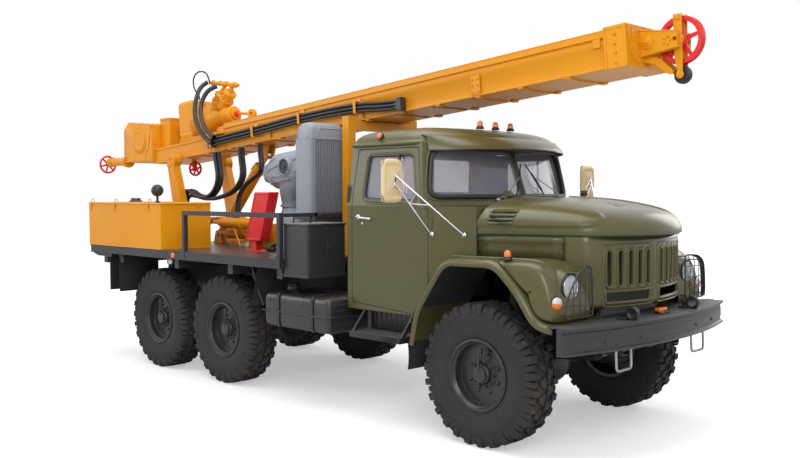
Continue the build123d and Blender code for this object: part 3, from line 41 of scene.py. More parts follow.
# camera of the photograph: metres and radians in the frame of the truck
cameraView = {"place": (7.3404, -6.2403, 1.924), "turn": (math.pi / 2 - 0.0396, 0.0028, 0.7813),
              "lens": 40.55}
lens = bpy.data.cameras.new("photoCamera")
lens.lens = cameraView["lens"]
lens.sensor_width = 36
lens.clip_end = 200
camera = bpy.data.objects.new("photoCamera", lens)
camera.location = cameraView["place"]
camera.rotation_euler = cameraView["turn"]
bpy.context.scene.collection.objects.link(camera)
bpy.context.scene.camera = camera
bpy.context.scene.view_settings.view_transform = "Standard"


# shader maths written as plain expressions
class Wire:
    def __init__(self, finish, socket):
        self.finish = finish
        self.socket = socket

    def __getitem__(self, name):
        return Wire(self.finish, self.socket.node.outputs[name])

    def maths(self, operation, other, swap=False):
        pair = [other, self] if swap else [self, other]
        return self.finish.node("ShaderNodeMath", {"operation": operation}, {0: pair[0], 1: pair[1]})

    def __add__(self, other):
        return self.maths("ADD", other)

    def __radd__(self, other):
        return self.maths("ADD", other, True)

    def __sub__(self, other):
        return self.maths("SUBTRACT", other)

    def __rsub__(self, other):
        return self.maths("SUBTRACT", other, True)

    def __mul__(self, other):
        return self.maths("MULTIPLY", other)

    def __rmul__(self, other):
        return self.maths("MULTIPLY", other, True)

    def __truediv__(self, other):
        return self.maths("DIVIDE", other)

    def __pow__(self, other):
        return self.maths("POWER", other)

    def __gt__(self, other):
        return self.maths("GREATER_THAN", other)

    def clamped(self):
        return self.finish.node("ShaderNodeClamp", {}, {0: self})


class Finish:
    def __init__(self, name, **fixed):
        self.material = bpy.data.materials.new(name)
        self.material.use_nodes = True
        self.tree = self.material.node_tree
        self.shader = self.tree.nodes["Principled BSDF"]
        for socket, value in fixed.items():
            self.shader.inputs[socket.replace("_", " ")].default_value = value

    def node(self, kind, settings=None, sockets=None, out=0):
        made = self.tree.nodes.new(kind)
        for key, value in (settings or {}).items():
            if key == "stops":
                ramp = made.color_ramp
                while len(ramp.elements) < len(value):
                    ramp.elements.new(0.5)
                for element, (place, colour) in zip(ramp.elements, value):
                    element.position = place
                    element.color = (*colour, 1) if isinstance(colour, tuple) else (colour, colour, colour,
                            1)
            else:
                setattr(made, key, value)
        for key, value in (sockets or {}).items():
            if isinstance(value, Wire):
                self.tree.links.new(value.socket, made.inputs[key])
            else:
                made.inputs[key].default_value = value
        return Wire(self, made.outputs[out])

    def place(self):
        return self.node("ShaderNodeTexCoord", out="Object")

    def axis(self, name):
        return self.node("ShaderNodeSeparateXYZ", {}, {0: self.place()}, out=name)

    def noise(self, scale, detail=3.0, rough=0.55, where=None):
        return self.node("ShaderNodeTexNoise", {}, {"Vector": where or self.place(), "Scale": scale,
                                                    "Detail": detail, "Roughness": rough}, out="Fac")

    def ramp(self, value, *stops):
        return self.node("ShaderNodeValToRGB", {"stops": stops}, {0: value})

    def blend(self, amount, first, second, how="MIX"):
        def tone(c):
            return (*c, 1) if isinstance(c, tuple) and len(c) == 3 else c
        return self.node("ShaderNodeMix", {"data_type": "RGBA", "blend_type": how},
                         {0: amount, 6: tone(first), 7: tone(second)}, out=2)

    def facing(self, direction, normal=None):
        face = normal or self.node("ShaderNodeNewGeometry", out="Normal")
        return self.node("ShaderNodeVectorMath", {"operation": "DOT_PRODUCT"}, {0: face, 1: direction},
                         out="Value")

    def softEdge(self, radius, samples=4):
        return self.node("ShaderNodeBevel", {"samples": samples}, {"Radius": radius})

    def bump(self, height, strength, distance=0.002, normal=None):
        sockets = {"Height": height, "Strength": strength, "Distance": distance}
        if normal:
            sockets["Normal"] = normal
        return self.node("ShaderNodeBump", {}, sockets)

    def give(self, **links):
        for socket, value in links.items():
            name = socket.replace("_", " ")
            if isinstance(value, Wire):
                self.tree.links.new(value.socket, self.shader.inputs[name])
            else:
                self.shader.inputs[name].default_value = value
        return self.material


# paints: colour, gloss, how much dust lies on it and how worn its edges are
paintKinds = {
    "oliveGreenPaint": {"colour": (0.080, 0.074, 0.022), "pale": (0.098, 0.090, 0.030), "rough": 0.34,
                        "coat": 0.30, "low": 0.0, "shine": 0.34,
                        "dust": 0.05, "wear": 0.20, "worn": (0.15, 0.14, 0.08), "round": 0.007},
    "amberYellowPaint": {"colour": (0.74, 0.285, 0.003), "pale": (0.80, 0.335, 0.006), "rough": 0.40,
                         "coat": 0.10, "low": 0.0, "shine": 0.28,
                         "dust": 0.05, "wear": 0.30, "worn": (0.55, 0.24, 0.03), "round": 0.005},
    "chassisBlackPaint": {"colour": (0.020, 0.021, 0.026), "pale": (0.034, 0.035, 0.042), "rough": 0.42,
                          "coat": 0.15, "low": 0.12, "shine": 0.40,
                          "dust": 0.14, "wear": 0.35, "worn": (0.11, 0.11, 0.12), "round": 0.005},
    "signalRedPaint": {"colour": (0.72, 0.011, 0.012), "pale": (0.78, 0.025, 0.020), "rough": 0.36,
                       "coat": 0.30, "low": 0.0, "shine": 0.35,
                       "dust": 0.05, "wear": 0.35, "worn": (0.30, 0.02, 0.02), "round": 0.004},
    "castingGreyPaint": {"colour": (0.25, 0.27, 0.315), "pale": (0.33, 0.355, 0.405), "rough": 0.48,
                         "coat": 0.10, "low": 0.0, "shine": 0.35,
                         "dust": 0.10, "wear": 0.30, "worn": (0.52, 0.53, 0.55), "round": 0.004},
    "mirrorCreamPaint": {"colour": (0.72, 0.55, 0.30), "pale": (0.78, 0.63, 0.38), "rough": 0.40,
                         "coat": 0.15, "low": 0.0, "shine": 0.40,
                         "dust": 0.06, "wear": 0.20, "worn": (0.5, 0.42, 0.3), "round": 0.004},
    "wheelBlackPaint": {"colour": (0.011, 0.011, 0.014), "pale": (0.022, 0.022, 0.026), "rough": 0.38,
                        "coat": 0.20, "low": 0.10, "shine": 0.45,
                        "dust": 0.12, "wear": 0.40, "worn": (0.11, 0.11, 0.12), "round": 0.004},
}
# lighter copy of the black paint for the cabinet lids' tops: a painted sheen
paintKinds["lidGreyPaintedSheen"] = dict(paintKinds["chassisBlackPaint"], colour=(0.17, 0.17, 0.165),
                                  pale=(0.26, 0.255, 0.245))
paintKinds["deckRedBrown"] = dict(paintKinds["chassisBlackPaint"], colour=(0.030, 0.018, 0.016),
                                  pale=(0.070, 0.048, 0.044), rough=0.34,
                                  coat=0.15, dust=0.06)
roadDust = (0.20, 0.155, 0.10)


def paint(name):
    kind = paintKinds[name]
    f = Finish(name, Coat_Roughness=0.18, Specular_IOR_Level=kind["shine"])
    broad = f.noise(1.3, 4)
    fine = f.noise(34, 5, 0.6)
    grit = f.noise(260, 2, 0.7)
    rounded = f.softEdge(kind["round"])
    sharp = (1 - f.facing(f.node("ShaderNodeNewGeometry", out="Normal"), rounded)).clamped()
    rubbed = ((sharp * 5).clamped() * ((fine - 0.47) * 9).clamped() * kind["wear"]).clamped()
    lying = (f.facing((0, 0, 1)) * 1.2 - 0.3).clamped()
    dusty = ((lying * 0.6 + kind["low"]) * ((broad + fine - 0.78) * 2.2).clamped() * kind[
            "dust"] * 2.2).clamped()
    colour = f.blend((broad * 1.3 + fine * 0.5 - 0.5).clamped(), kind["colour"], kind["pale"])
    colour = f.blend(rubbed, colour, kind["worn"])
    colour = f.blend(dusty, colour, roadDust)
    peel = f.bump(f.noise(95, 2), 0.10, 0.0012, rounded)
    peel = f.bump(grit, 0.05, 0.0006, peel)
    return f.give(Base_Color=colour,
                  Roughness=(kind["rough"] + fine * 0.10 - 0.05 + dusty * 0.35 + rubbed * 0.15).clamped(),
                  Coat_Weight=((1 - dusty * 2) * kind["coat"]).clamped(), Normal=peel)


finishes = {name: paint(name) for name in paintKinds}


def castFinish():
    kind = paintKinds["castingGreyPaint"]
    f = Finish("roughCastGrey", Specular_IOR_Level=0.4)
    sand = f.noise(120, 4, 0.65)
    lumps = f.noise(9, 4)
    rounded = f.softEdge(0.008)
    colour = f.blend((lumps * 1.6 - 0.3).clamped(), kind["colour"], kind["pale"])
    colour = f.blend(((sand - 0.55) * 3).clamped() * 0.5, colour, (0.20, 0.21, 0.23))
    return f.give(Base_Color=colour, Roughness=(0.5 + sand * 0.2).clamped(),
                  Normal=f.bump(sand, 0.45, 0.002, f.bump(lumps, 0.2, 0.006, rounded)))


def tyreRubber():
    f = Finish("tyreRubber", Specular_IOR_Level=0.35)
    broad = f.noise(3.2, 4)
    fine = f.noise(60, 4, 0.65)
    across = f.facing((0, 1, 0))
    side = (across * across)
    tread = (1 - side).clamped()
    mud = ((broad + fine - 0.86) * 3).clamped() * (tread * 0.42 + 0.05)
    colour = f.blend((fine * 1.4 - 0.3).clamped(), (0.016, 0.016, 0.0185), (0.036, 0.035, 0.039))
    colour = f.blend(mud.clamped(), colour, (0.105, 0.086, 0.062))
    return f.give(Base_Color=colour, Roughness=(0.66 + fine * 0.2).clamped(),
                  Normal=f.bump(fine, 0.22, 0.0015, f.softEdge(0.006)))


def hoseRubber():
    f = Finish("hoseRubber", Specular_IOR_Level=0.45)
    fine = f.noise(140, 3, 0.6)
    broad = f.noise(7, 3)
    colour = f.blend((broad * 1.3 - 0.2).clamped(), (0.010, 0.010, 0.012), (0.026, 0.026, 0.028))
    return f.give(Base_Color=colour, Roughness=(0.36 + fine * 0.18).clamped(),
                  Normal=f.bump(fine, 0.12, 0.0008))


def bareMetal(name, colour, rough, grain):
    f = Finish(name, Metallic=1.0)
    fine = f.noise(grain, 4, 0.6)
    broad = f.noise(6, 3)
    shade = f.blend((fine * 1.2 - 0.2).clamped(), colour, tuple(c * 0.72 for c in colour))
    stain = ((broad - 0.5) * 3).clamped()
    return f.give(Base_Color=f.blend(stain * 0.35, shade, (0.17, 0.12, 0.08)),
                  Roughness=(rough + fine * 0.12 + stain * 0.12).clamped(),
                  Normal=f.bump(fine, 0.10, 0.0006, f.softEdge(0.003)))


def plainPlastic(name, colour, rough, grain=320):
    f = Finish(name, Specular_IOR_Level=0.45)
    fine = f.noise(grain, 3, 0.6)
    broad = f.noise(5, 3)
    shade = f.blend((broad * 1.2 - 0.2).clamped(), colour, tuple(min(1, c * 1.35 + 0.004) for c in colour))
    return f.give(Base_Color=shade, Roughness=(rough + fine * 0.12).clamped(),
                  Normal=f.bump(fine, 0.15, 0.0006, f.softEdge(0.003)))


def seatLeather():
    f = Finish("seatLeatherette", Specular_IOR_Level=0.4)
    grain = f.node("ShaderNodeTexVoronoi", {"feature": "DISTANCE_TO_EDGE"},
                   {"Vector": f.place(), "Scale": 260})
    broad = f.noise(5, 3)
    shade = f.blend((broad * 1.3 - 0.2).clamped(), (0.020, 0.019, 0.018), (0.042, 0.038, 0.034))
    return f.give(Base_Color=shade, Roughness=(0.52 + broad * 0.15).clamped(),
                  Normal=f.bump(grain, 0.25, 0.0008))


def clearGlass(name, tint, rough, alpha):
    f = Finish(name, Transmission_Weight=0.0, Specular_IOR_Level=0.7)
    smear = f.noise(4, 4, 0.6)
    return f.give(Base_Color=f.blend((smear - 0.3).clamped(), tint, tuple(c * 0.86 for c in tint)),
                  Roughness=(rough + smear * 0.05).clamped(), Alpha=(smear * 0.12 + alpha - 0.06).clamped())


def lampLens(name, colour, ribs, glow):
    f = Finish(name, Specular_IOR_Level=0.6)
    wave = f.node("ShaderNodeTexWave", {"bands_direction": "DIAGONAL"},
                  {"Vector": f.place(), "Scale": ribs}, out="Fac")
    shade = f.blend(wave, colour, tuple(c * 0.55 for c in colour))
    return f.give(Base_Color=shade, Roughness=(0.12 + wave * 0.08).clamped(), Coat_Weight=0.6,
                  Emission_Color=(*colour, 1), Emission_Strength=glow, Normal=f.bump(wave, 0.3, 0.001))


def chequerPlate():
    f = Finish("raisedTreadPlate", Specular_IOR_Level=0.45)
    turn = f.node("ShaderNodeMapping", {}, {"Vector": f.place(), "Rotation": (0, 0, 0.785),
                                            "Scale": (1, 1, 0)})
    cell = f.node("ShaderNodeTexVoronoi", {"voronoi_dimensions": "2D", "distance": "CHEBYCHEV"},
                  {"Vector": turn, "Scale": 46, "Randomness": 0.25})
    fine = f.noise(80, 4, 0.6)
    tread = (0.42 - cell).clamped()
    shade = f.blend((fine * 1.4 - 0.3).clamped(), (0.030, 0.031, 0.034), (0.062, 0.062, 0.066))
    shade = f.blend((tread * 2.2).clamped() * 0.5, shade, (0.12, 0.12, 0.12))
    return f.give(Base_Color=shade, Roughness=(0.48 + fine * 0.2).clamped(),
                  Normal=f.bump(tread, 0.8, 0.004, f.softEdge(0.004)))


finishes.update({
    "roughCastGrey": castFinish(), "tyreRubber": tyreRubber(), "hoseRubber": hoseRubber(),
    "machinedSteel": bareMetal("machinedSteel", (0.52, 0.52, 0.54), 0.30, 150),
    "polishedChrome": bareMetal("polishedChrome", (0.80, 0.80, 0.82), 0.10, 60),
    "dullZinc": bareMetal("dullZinc", (0.42, 0.42, 0.41), 0.42, 90),
    "mouldedBlack": plainPlastic("mouldedBlack", (0.018, 0.018, 0.019), 0.42),
    "flapRubber": plainPlastic("flapRubber", (0.020, 0.020, 0.021), 0.66, 120),
    "engineGrey": plainPlastic("engineGrey", (0.10, 0.105, 0.11), 0.55, 60),
    "seatLeatherette": seatLeather(), "cabGlass": clearGlass("cabGlass", (0.34, 0.335, 0.42), 0.02, 0.34),
    "mirrorSilver": bareMetal("mirrorSilver", (0.86, 0.87, 0.88), 0.02, 20),
    "lampGlass": clearGlass("lampGlass", (0.80, 0.83, 0.84), 0.04, 0.35),
    "amberLens": lampLens("amberLens", (0.95, 0.20, 0.015), 60, 0.12),
    "redLens": lampLens("redLens", (0.60, 0.015, 0.01), 60, 0.05),
    "raisedTreadPlate": chequerPlate()})
print("finishes made:", len(finishes))


# mesh building: every Shape is one piece, in metres, written in its own pose
def aimed(centre, direction):
    return Matrix.Translation(centre) @ Vector(direction).to_track_quat("Z", "Y").to_matrix().to_4x4()


class Shape:
    def __init__(self, pose=None):
        self.mesh = bmesh.new()
        self.pose = pose or Matrix()
        self.skins = []

    def put(self, points, faces, local=None):
        move = self.pose @ (local or Matrix())
        verts = [self.mesh.verts.new(move @ Vector(p)) for p in points]
        for face in faces:
            self.mesh.faces.new([verts[i] for i in face])
        return verts

    def box(self, low, high, local=None):
        (a, b, c), (d, e, f) = low, high
        points = [(a, b, c), (d, b, c), (d, e, c), (a, e, c), (a, b, f), (d, b, f), (d, e, f), (a, e, f)]
        self.put(points, [(0, 3, 2, 1), (4, 5, 6, 7), (0, 1, 5, 4), (1, 2, 6, 5), (2, 3, 7, 6),
                          (3, 0, 4, 7)], local)

    # an outline filled between two levels of the axis that plane leaves out
    def prism(self, outline, low, high, plane="xz", local=None):
        order = {"xz": lambda p, t: (p[0], t, p[1]), "xy": lambda p, t: (p[0], p[1], t), "yz": lambda p,
                 t: (t, p[0], p[1])}[plane]
        count = len(outline)
        points = [order(p, low) for p in outline] + [order(p, high) for p in outline]
        sides = [(i, (i + 1) % count, count + (i + 1) % count, count + i) for i in range(count)]
        self.put(points, [tuple(range(count))[::-1], tuple(range(count, 2 * count))] + sides, local)

    # profile of (radius, along) turned round a direction
    def turned(self, profile, centre, direction, steps=32, start=0.0, sweep=2 * math.pi):
        whole = abs(sweep - 2 * math.pi) < 1e-6
        rows = steps if whole else steps + 1
        points = [(r * math.cos(start + sweep * i / steps), r * math.sin(start + sweep * i / steps), a)
                  for i in range(rows) for r, a in profile]
        n = len(profile)
        faces = []
        for i in range(rows if whole else steps):
            j = (i + 1) % rows
            for k in range(n - 1):
                quad = (i * n + k, j * n + k, j * n + k + 1, i * n + k + 1)
                faces.append(quad)
        verts = self.put(points, faces, aimed(centre, direction))
        closed = math.dist(profile[0], profile[-1]) < 1e-6
        for k in (0, n - 1):
            if profile[k][0] > 1e-6 and whole and not closed:
                self.mesh.faces.new([verts[i * n + k] for i in range(rows)])
        return verts

    def rod(self, start, end, radius, steps=14, tip=None):
        start, end = Vector(start), Vector(end)
        run = (end - start).length
        self.turned([(radius, 0), (radius if tip is None else tip, run)], start, end - start, steps)

    def ring(self, centre, direction, radius, thick, steps=36, round=10, squeeze=1.0):
        loop = [(radius + thick * math.cos(2 * math.pi * k / round),
                 squeeze * thick * math.sin(2 * math.pi * k / round))
                for k in range(round + 1)]
        self.turned(loop, centre, direction, steps)

    def tube(self, points, radius, steps=8, closed=False):
        points = [Vector(p) for p in points]
        count = len(points)
        rings = []
        side = None
        for i, point in enumerate(points):
            before = points[i - 1] if i or closed else point
            after = points[(i + 1) % count] if i < count - 1 or closed else point
            heading = (after - before).normalized()
            if side is None:
                side = heading.orthogonal().normalized()
            side = (side - heading * side.dot(heading)).normalized()
            other = heading.cross(side)
            rings.append([point + (side * math.cos(2 * math.pi * k / steps) + other * math.sin(
                    2 * math.pi * k / steps)) * radius
                          for k in range(steps)])
        faces = [(i * steps + k, i * steps + (k + 1) % steps, (i + 1) % count * steps + (k + 1) % steps,
                  (i + 1) % count * steps + k) for i in range(
                          count if closed else count - 1) for k in range(steps)]
        if not closed:
            faces += [tuple(range(steps))[::-1], tuple(range((count - 1) * steps, count * steps))]
        self.put([p for ring in rings for p in ring], faces)

    def sheet(self, grid):
        across = len(grid[0])
        points = [p for row in grid for p in row]
        faces = [(i * across + k, i * across + k + 1, (i + 1) * across + k + 1, (i + 1) * across + k)
                 for i in range(len(grid) - 1) for k in range(across - 1)]
        self.put(points, faces)

    def hexBolt(self, centre, direction, size=0.012, high=0.010):
        self.turned([(0, 0), (size * 1.25, 0), (size * 1.25, 0.0025), (0, 0.0025)], centre, direction, 14)
        self.turned([(size, 0), (size, high * 0.85), (size * 0.85, high), (0, high)], centre, direction, 6)

    def boltRing(self, centre, direction, radius, count, size=0.012, high=0.010, start=0.0):
        seat = aimed(centre, direction)
        for i in range(count):
            turn = start + 2 * math.pi * i / count
            self.hexBolt(seat @ Vector((radius * math.cos(turn), radius * math.sin(turn), 0)), direction,
                         size, high)

    # turns the mesh into a piece that rides on a body, its corners rounded
    def piece(self, name, body, finish, rounded=0.0, sharp=35, segments=2, stands=(), subdivide=0):
        bmesh.ops.remove_doubles(self.mesh, verts=self.mesh.verts, dist=1e-5)
        bmesh.ops.recalc_face_normals(self.mesh, faces=self.mesh.faces)
        for face in self.mesh.faces:
            face.smooth = True
        for edge in self.mesh.edges:
            edge.smooth = not (edge.is_manifold and edge.calc_face_angle(0) > math.radians(sharp))
        data = bpy.data.meshes.new(name)
        self.mesh.to_mesh(data)
        self.mesh.free()
        made = bpy.data.objects.new(name, data)
        bpy.context.scene.collection.objects.link(made)
        data.materials.append(finishes[finish])
        if rounded:
            bevel = made.modifiers.new("rounded", "BEVEL")
            bevel.width = rounded
            bevel.segments = segments
            bevel.limit_method = "ANGLE"
            bevel.angle_limit = math.radians(sharp)
            bevel.harden_normals = True
        if subdivide:
            made.modifiers.new("smoother", "SUBSURF").levels = subdivide
            made.modifiers["smoother"].render_levels = subdivide
        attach(made, body)
        if stands:
            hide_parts(*stands)
        return made


# outline with its corners rounded
def softOutline(points, radius, steps=4):
    made = []
    count = len(points)
    for i, point in enumerate(points):
        here = Vector(point)
        back, ahead = Vector(points[i - 1]) - here, Vector(points[(i + 1) % count]) - here
        r = radius[i] if isinstance(radius, (list, tuple)) else radius
        if not r:
            made.append(tuple(here))
            continue
        a, b = here + back.normalized() * min(r, back.length / 2.1), here + ahead.normalized() * min(r,
                ahead.length / 2.1)
        for k in range(steps + 1):
            t = k / steps
            made.append(tuple(a * (1 - t) ** 2 + here * 2 * t * (1 - t) + b * t ** 2))
    return made


mastSlope = math.radians(4.8)
mastFoot = (-2.35, 2.33)    # x and z of its pivot
mastPose = Matrix.Translation((mastFoot[0], 0, mastFoot[1])) @ Matrix.Rotation(-mastSlope, 4, "Y")


# CAD nodes that keep their shape take a finish by name
def dress(names, finish):
    for name in names:
        for slot in cadNode[name].material_slots:
            slot.material = finishes[finish]
        if not cadNode[name].material_slots:
            cadNode[name].data.materials.append(finishes[finish])

# hydraulic hoses: the routes of the solids, in metres
def hose(name, body, node, route, radius, finish="hoseRubber"):
    curve = bpy.data.curves.new(name, "CURVE")
    curve.dimensions = "3D"
    curve.bevel_depth = radius
    curve.bevel_resolution = 5
    curve.resolution_u = 16
    line = curve.splines.new("NURBS")
    line.points.add(len(route) - 1)
    for point, place in zip(line.points, route):
        point.co = (*place, 1)
    line.order_u = 3
    line.use_endpoint_u = True
    made = bpy.data.objects.new(name, curve)
    bpy.context.scene.collection.objects.link(made)
    curve.materials.append(finishes[finish])
    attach(made, body)
    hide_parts(node)
    bare = curve.copy()
    bare.bevel_depth = 0
    probe = bpy.data.objects.new("hoseProbe", bare)
    bpy.context.scene.collection.objects.link(probe)
    bpy.context.view_layer.update()
    traced = bpy.data.meshes.new_from_object(probe)
    centreline = [v.co.copy() for v in traced.vertices]
    bpy.data.objects.remove(probe)
    2 * radius
    hoseLines[name] = centreline
    return made


hoseLines = {}
hoseRoutes = [
    ("feedHoseOuter", "rotary_head", "head_hoses", 0.026, [
        (-2.078, -0.060, 3.280), (-2.110, -0.135, 3.235), (-2.075, -0.225, 3.085), (-2.041, -0.280, 2.914),
        (-1.913, -0.330, 2.762), (-1.782, -0.360, 2.624), (-1.559, -0.360, 2.510)]),
    ("feedHoseInner", "rotary_head", "head_hoses", 0.026, [
        (-1.880, -0.060, 3.215), (-1.925, -0.120, 3.190), (-1.963, -0.190, 3.100), (-1.960, -0.250, 2.940),
        (-1.831, -0.310, 2.782), (-1.680, -0.345, 2.648), (-1.500, -0.360, 2.575)]),
    ("pilotHose", "rotary_head", "head_hoses", 0.009, [
        (-2.060, -0.040, 3.262), (-2.060, -0.060, 3.350), (-2.120, -0.080, 3.415), (-2.270, -0.090, 3.420),
        (-2.365, -0.090, 3.330), (-2.330, -0.080, 3.190), (-2.260, -0.060, 3.135),
                                                       (-2.260, -0.060, 3.077)]),
    ("deckHoseRear", "rig", "deck_hoses", 0.024, [
        (-1.580, -0.300, 2.40545), (-1.580, -0.300, 2.330), (-1.535, -0.300, 2.200),
                                                  (-1.530, -0.300, 2.080),
        (-1.600, -0.300, 1.960), (-1.740, -0.300, 1.880), (-1.960, -0.300, 1.890), (-2.120, -0.300, 1.965),
        (-2.300, -0.300, 1.950), (-2.300, -0.300, 1.8003)]),
    ("deckHoseMiddle", "rig", "deck_hoses", 0.020, [
        (-1.102, -0.245, 2.44559), (-1.102, -0.245, 2.340), (-1.070, -0.245, 2.220),
                                                    (-1.070, -0.245, 2.100),
        (-1.200, -0.245, 1.975), (-1.400, -0.245, 1.905), (-1.750, -0.245, 1.850), (-2.040, -0.245, 1.905),
        (-2.265, -0.245, 1.900), (-2.265, -0.245, 1.8003)]),
    ("deckHoseFront", "rig", "deck_hoses", 0.015, [
        (-0.782, -0.260, 2.47246), (-0.782, -0.260, 2.370), (-0.755, -0.260, 2.270),
                                                   (-0.770, -0.260, 2.160),
        (-0.930, -0.260, 2.090), (-1.110, -0.260, 2.000), (-1.225, -0.260, 1.850),
                                                   (-1.225, -0.260, 1.6503)])]
for source, word, shift in ((3, "Rear", (0.034, 0.034, 0.003)), (4, "Middle", (0.0, -0.046, 0.0)),
                            (5, "Front", (0.026, 0.020, 0.002))):
    name, body, node, radius, route = hoseRoutes[source]
    hoseRoutes.append(("deckTwin" + word, body, node, radius,
                       [tuple(a + b for a, b in zip(point, shift)) for point in route]))
mastLine = [(-1.630, 2.515), (-1.480, 2.540), (-0.845, 2.600), (0.021, 2.703), (0.920, 2.758),
            (1.240, 2.735), (1.480, 2.745)]
for word, rise, out, radius in (("Lower", -0.020, 0.0, 0.018), ("Upper", 0.020, 0.0, 0.018),
                                ("OuterLow", -0.034, 0.0285, 0.0145),
                                ("OuterMiddle", -0.001, 0.0300, 0.0155),
                                ("OuterHigh", 0.033, 0.0285, 0.0140)):
    line = [(x, -0.2983 - out, z + rise * (1 + 0.10 * math.sin(7 * x))) for x, z in mastLine]
    hoseRoutes.append(("mastHose" + word, "mast", "mast_hoses", radius,
                       line if out else [(x, -0.2983, z + rise) for x, z in mastLine]))
for name, body, node, radius, route in hoseRoutes:
    hose(name, body, node, route, radius)

# wheels
wheel = {"places": {"front_right": (3.0, -1), "front_left": (3.0, 1), "mid_right": (-0.35, -1),
                    "mid_left": (-0.35, 1),
                    "rear_right": (-1.6, -1), "rear_left": (-1.6, 1)},
         "halfTrack": 0.91, "high": 0.55, "lugs": 27, "carcass": 0.522, "tip": 0.549, "halfWidth": 0.1565}


def wheelPose(x, side):
    return Matrix.Translation((x, side * wheel["halfTrack"],
                               wheel["high"])) @ Matrix.Rotation(math.pi / 2 * -side, 4, "X")


def tyre(name, x, side):
    s = Shape(wheelPose(x, side))
    half = wheel["halfWidth"]
    body = [(0.263, -0.118), (0.285, -0.134), (0.345, -0.150), (0.410, -half), (0.455, -0.154),
            (0.490, -0.143),
            (0.512, -0.120), (wheel["carcass"], -0.085), (wheel["carcass"] + 0.004, 0),
            (wheel["carcass"], 0.085),
            (0.512, 0.120), (0.490, 0.143), (0.455, 0.154), (0.410, half), (0.345, 0.150), (0.285, 0.134),
            (0.263, 0.118), (0.263, -0.118)]
    s.turned(body, (0, 0, 0), (0, 0, 1), 72)
    for radius in (0.440, 0.415, 0.330, 0.300):
        for face in (-1, 1):
            s.ring((0, 0, face * (0.1545 if radius > 0.4 else 0.1375)), (0, 0, 1), radius, 0.0035, 60, 6)
    tip, step = wheel["tip"], 2 * math.pi / wheel["lugs"]

    def block(angle, wide, outline, skew=0.0):
        # outline rows of (along the axle, radius at the root, radius at the top)
        points = []
        for along, root, top in outline:
            shift = skew * (along - outline[0][0])
            for radius, spread in ((root, wide * 1.12), (top, wide * 0.88)):
                for edge in (-1, 1):
                    turn = angle + shift + edge * spread / 2 / radius
                    points.append((radius * math.cos(turn), radius * math.sin(turn), along))
        faces = []
        for i in range(len(outline) - 1):
            a, b = i * 4, i * 4 + 4
            faces += [(a + 2, a + 3, b + 3, b + 2), (a, a + 2, b + 2, b), (a + 3, a + 1, b + 1, b + 3),
                      (a + 1, a, b, b + 1)]
        last = (len(outline) - 1) * 4
        faces += [(0, 1, 3, 2), (last, last + 2, last + 3, last + 1)]
        s.put(points, faces)

    for i in range(wheel["lugs"]):
        base = i * step
        for face in (-1, 1):
            angle = base + (step / 2 if face > 0 else 0)
            wide = 0.062 if i % 2 else 0.052
            drop = 0.446 if i % 2 else 0.466
            block(angle, wide, [(face * 0.083, 0.508, tip), (face * 0.118, 0.496, tip),
                                (face * 0.141, 0.476, tip - 0.005),
                                      (face * 0.1562, 0.460, tip - 0.032),
                                (face * 0.1569, drop - 0.010, drop)])
            block(angle + step * 0.5, 0.046, [(face * 0.108, 0.505, tip - 0.010),
                                              (face * 0.136, 0.487, tip - 0.022),
                                                    (face * 0.150, 0.470, tip - 0.048)])
            block(angle + step * 0.30, 0.056, [(face * 0.010, 0.515, tip),
                                               (face * 0.042, 0.515, tip + 0.001),
                                                     (face * 0.078, 0.512, tip)], face * 1.2)
            block(angle + step * 0.78, 0.038, [(face * 0.014, 0.515, tip), (face * 0.040, 0.515, tip),
                                                     (face * 0.068, 0.512, tip)], face * -1.0)
    s.piece("tyre" + name, "wheel_" + name, "tyreRubber", 0.0025, 30, 1, ("tyre_" + name,))


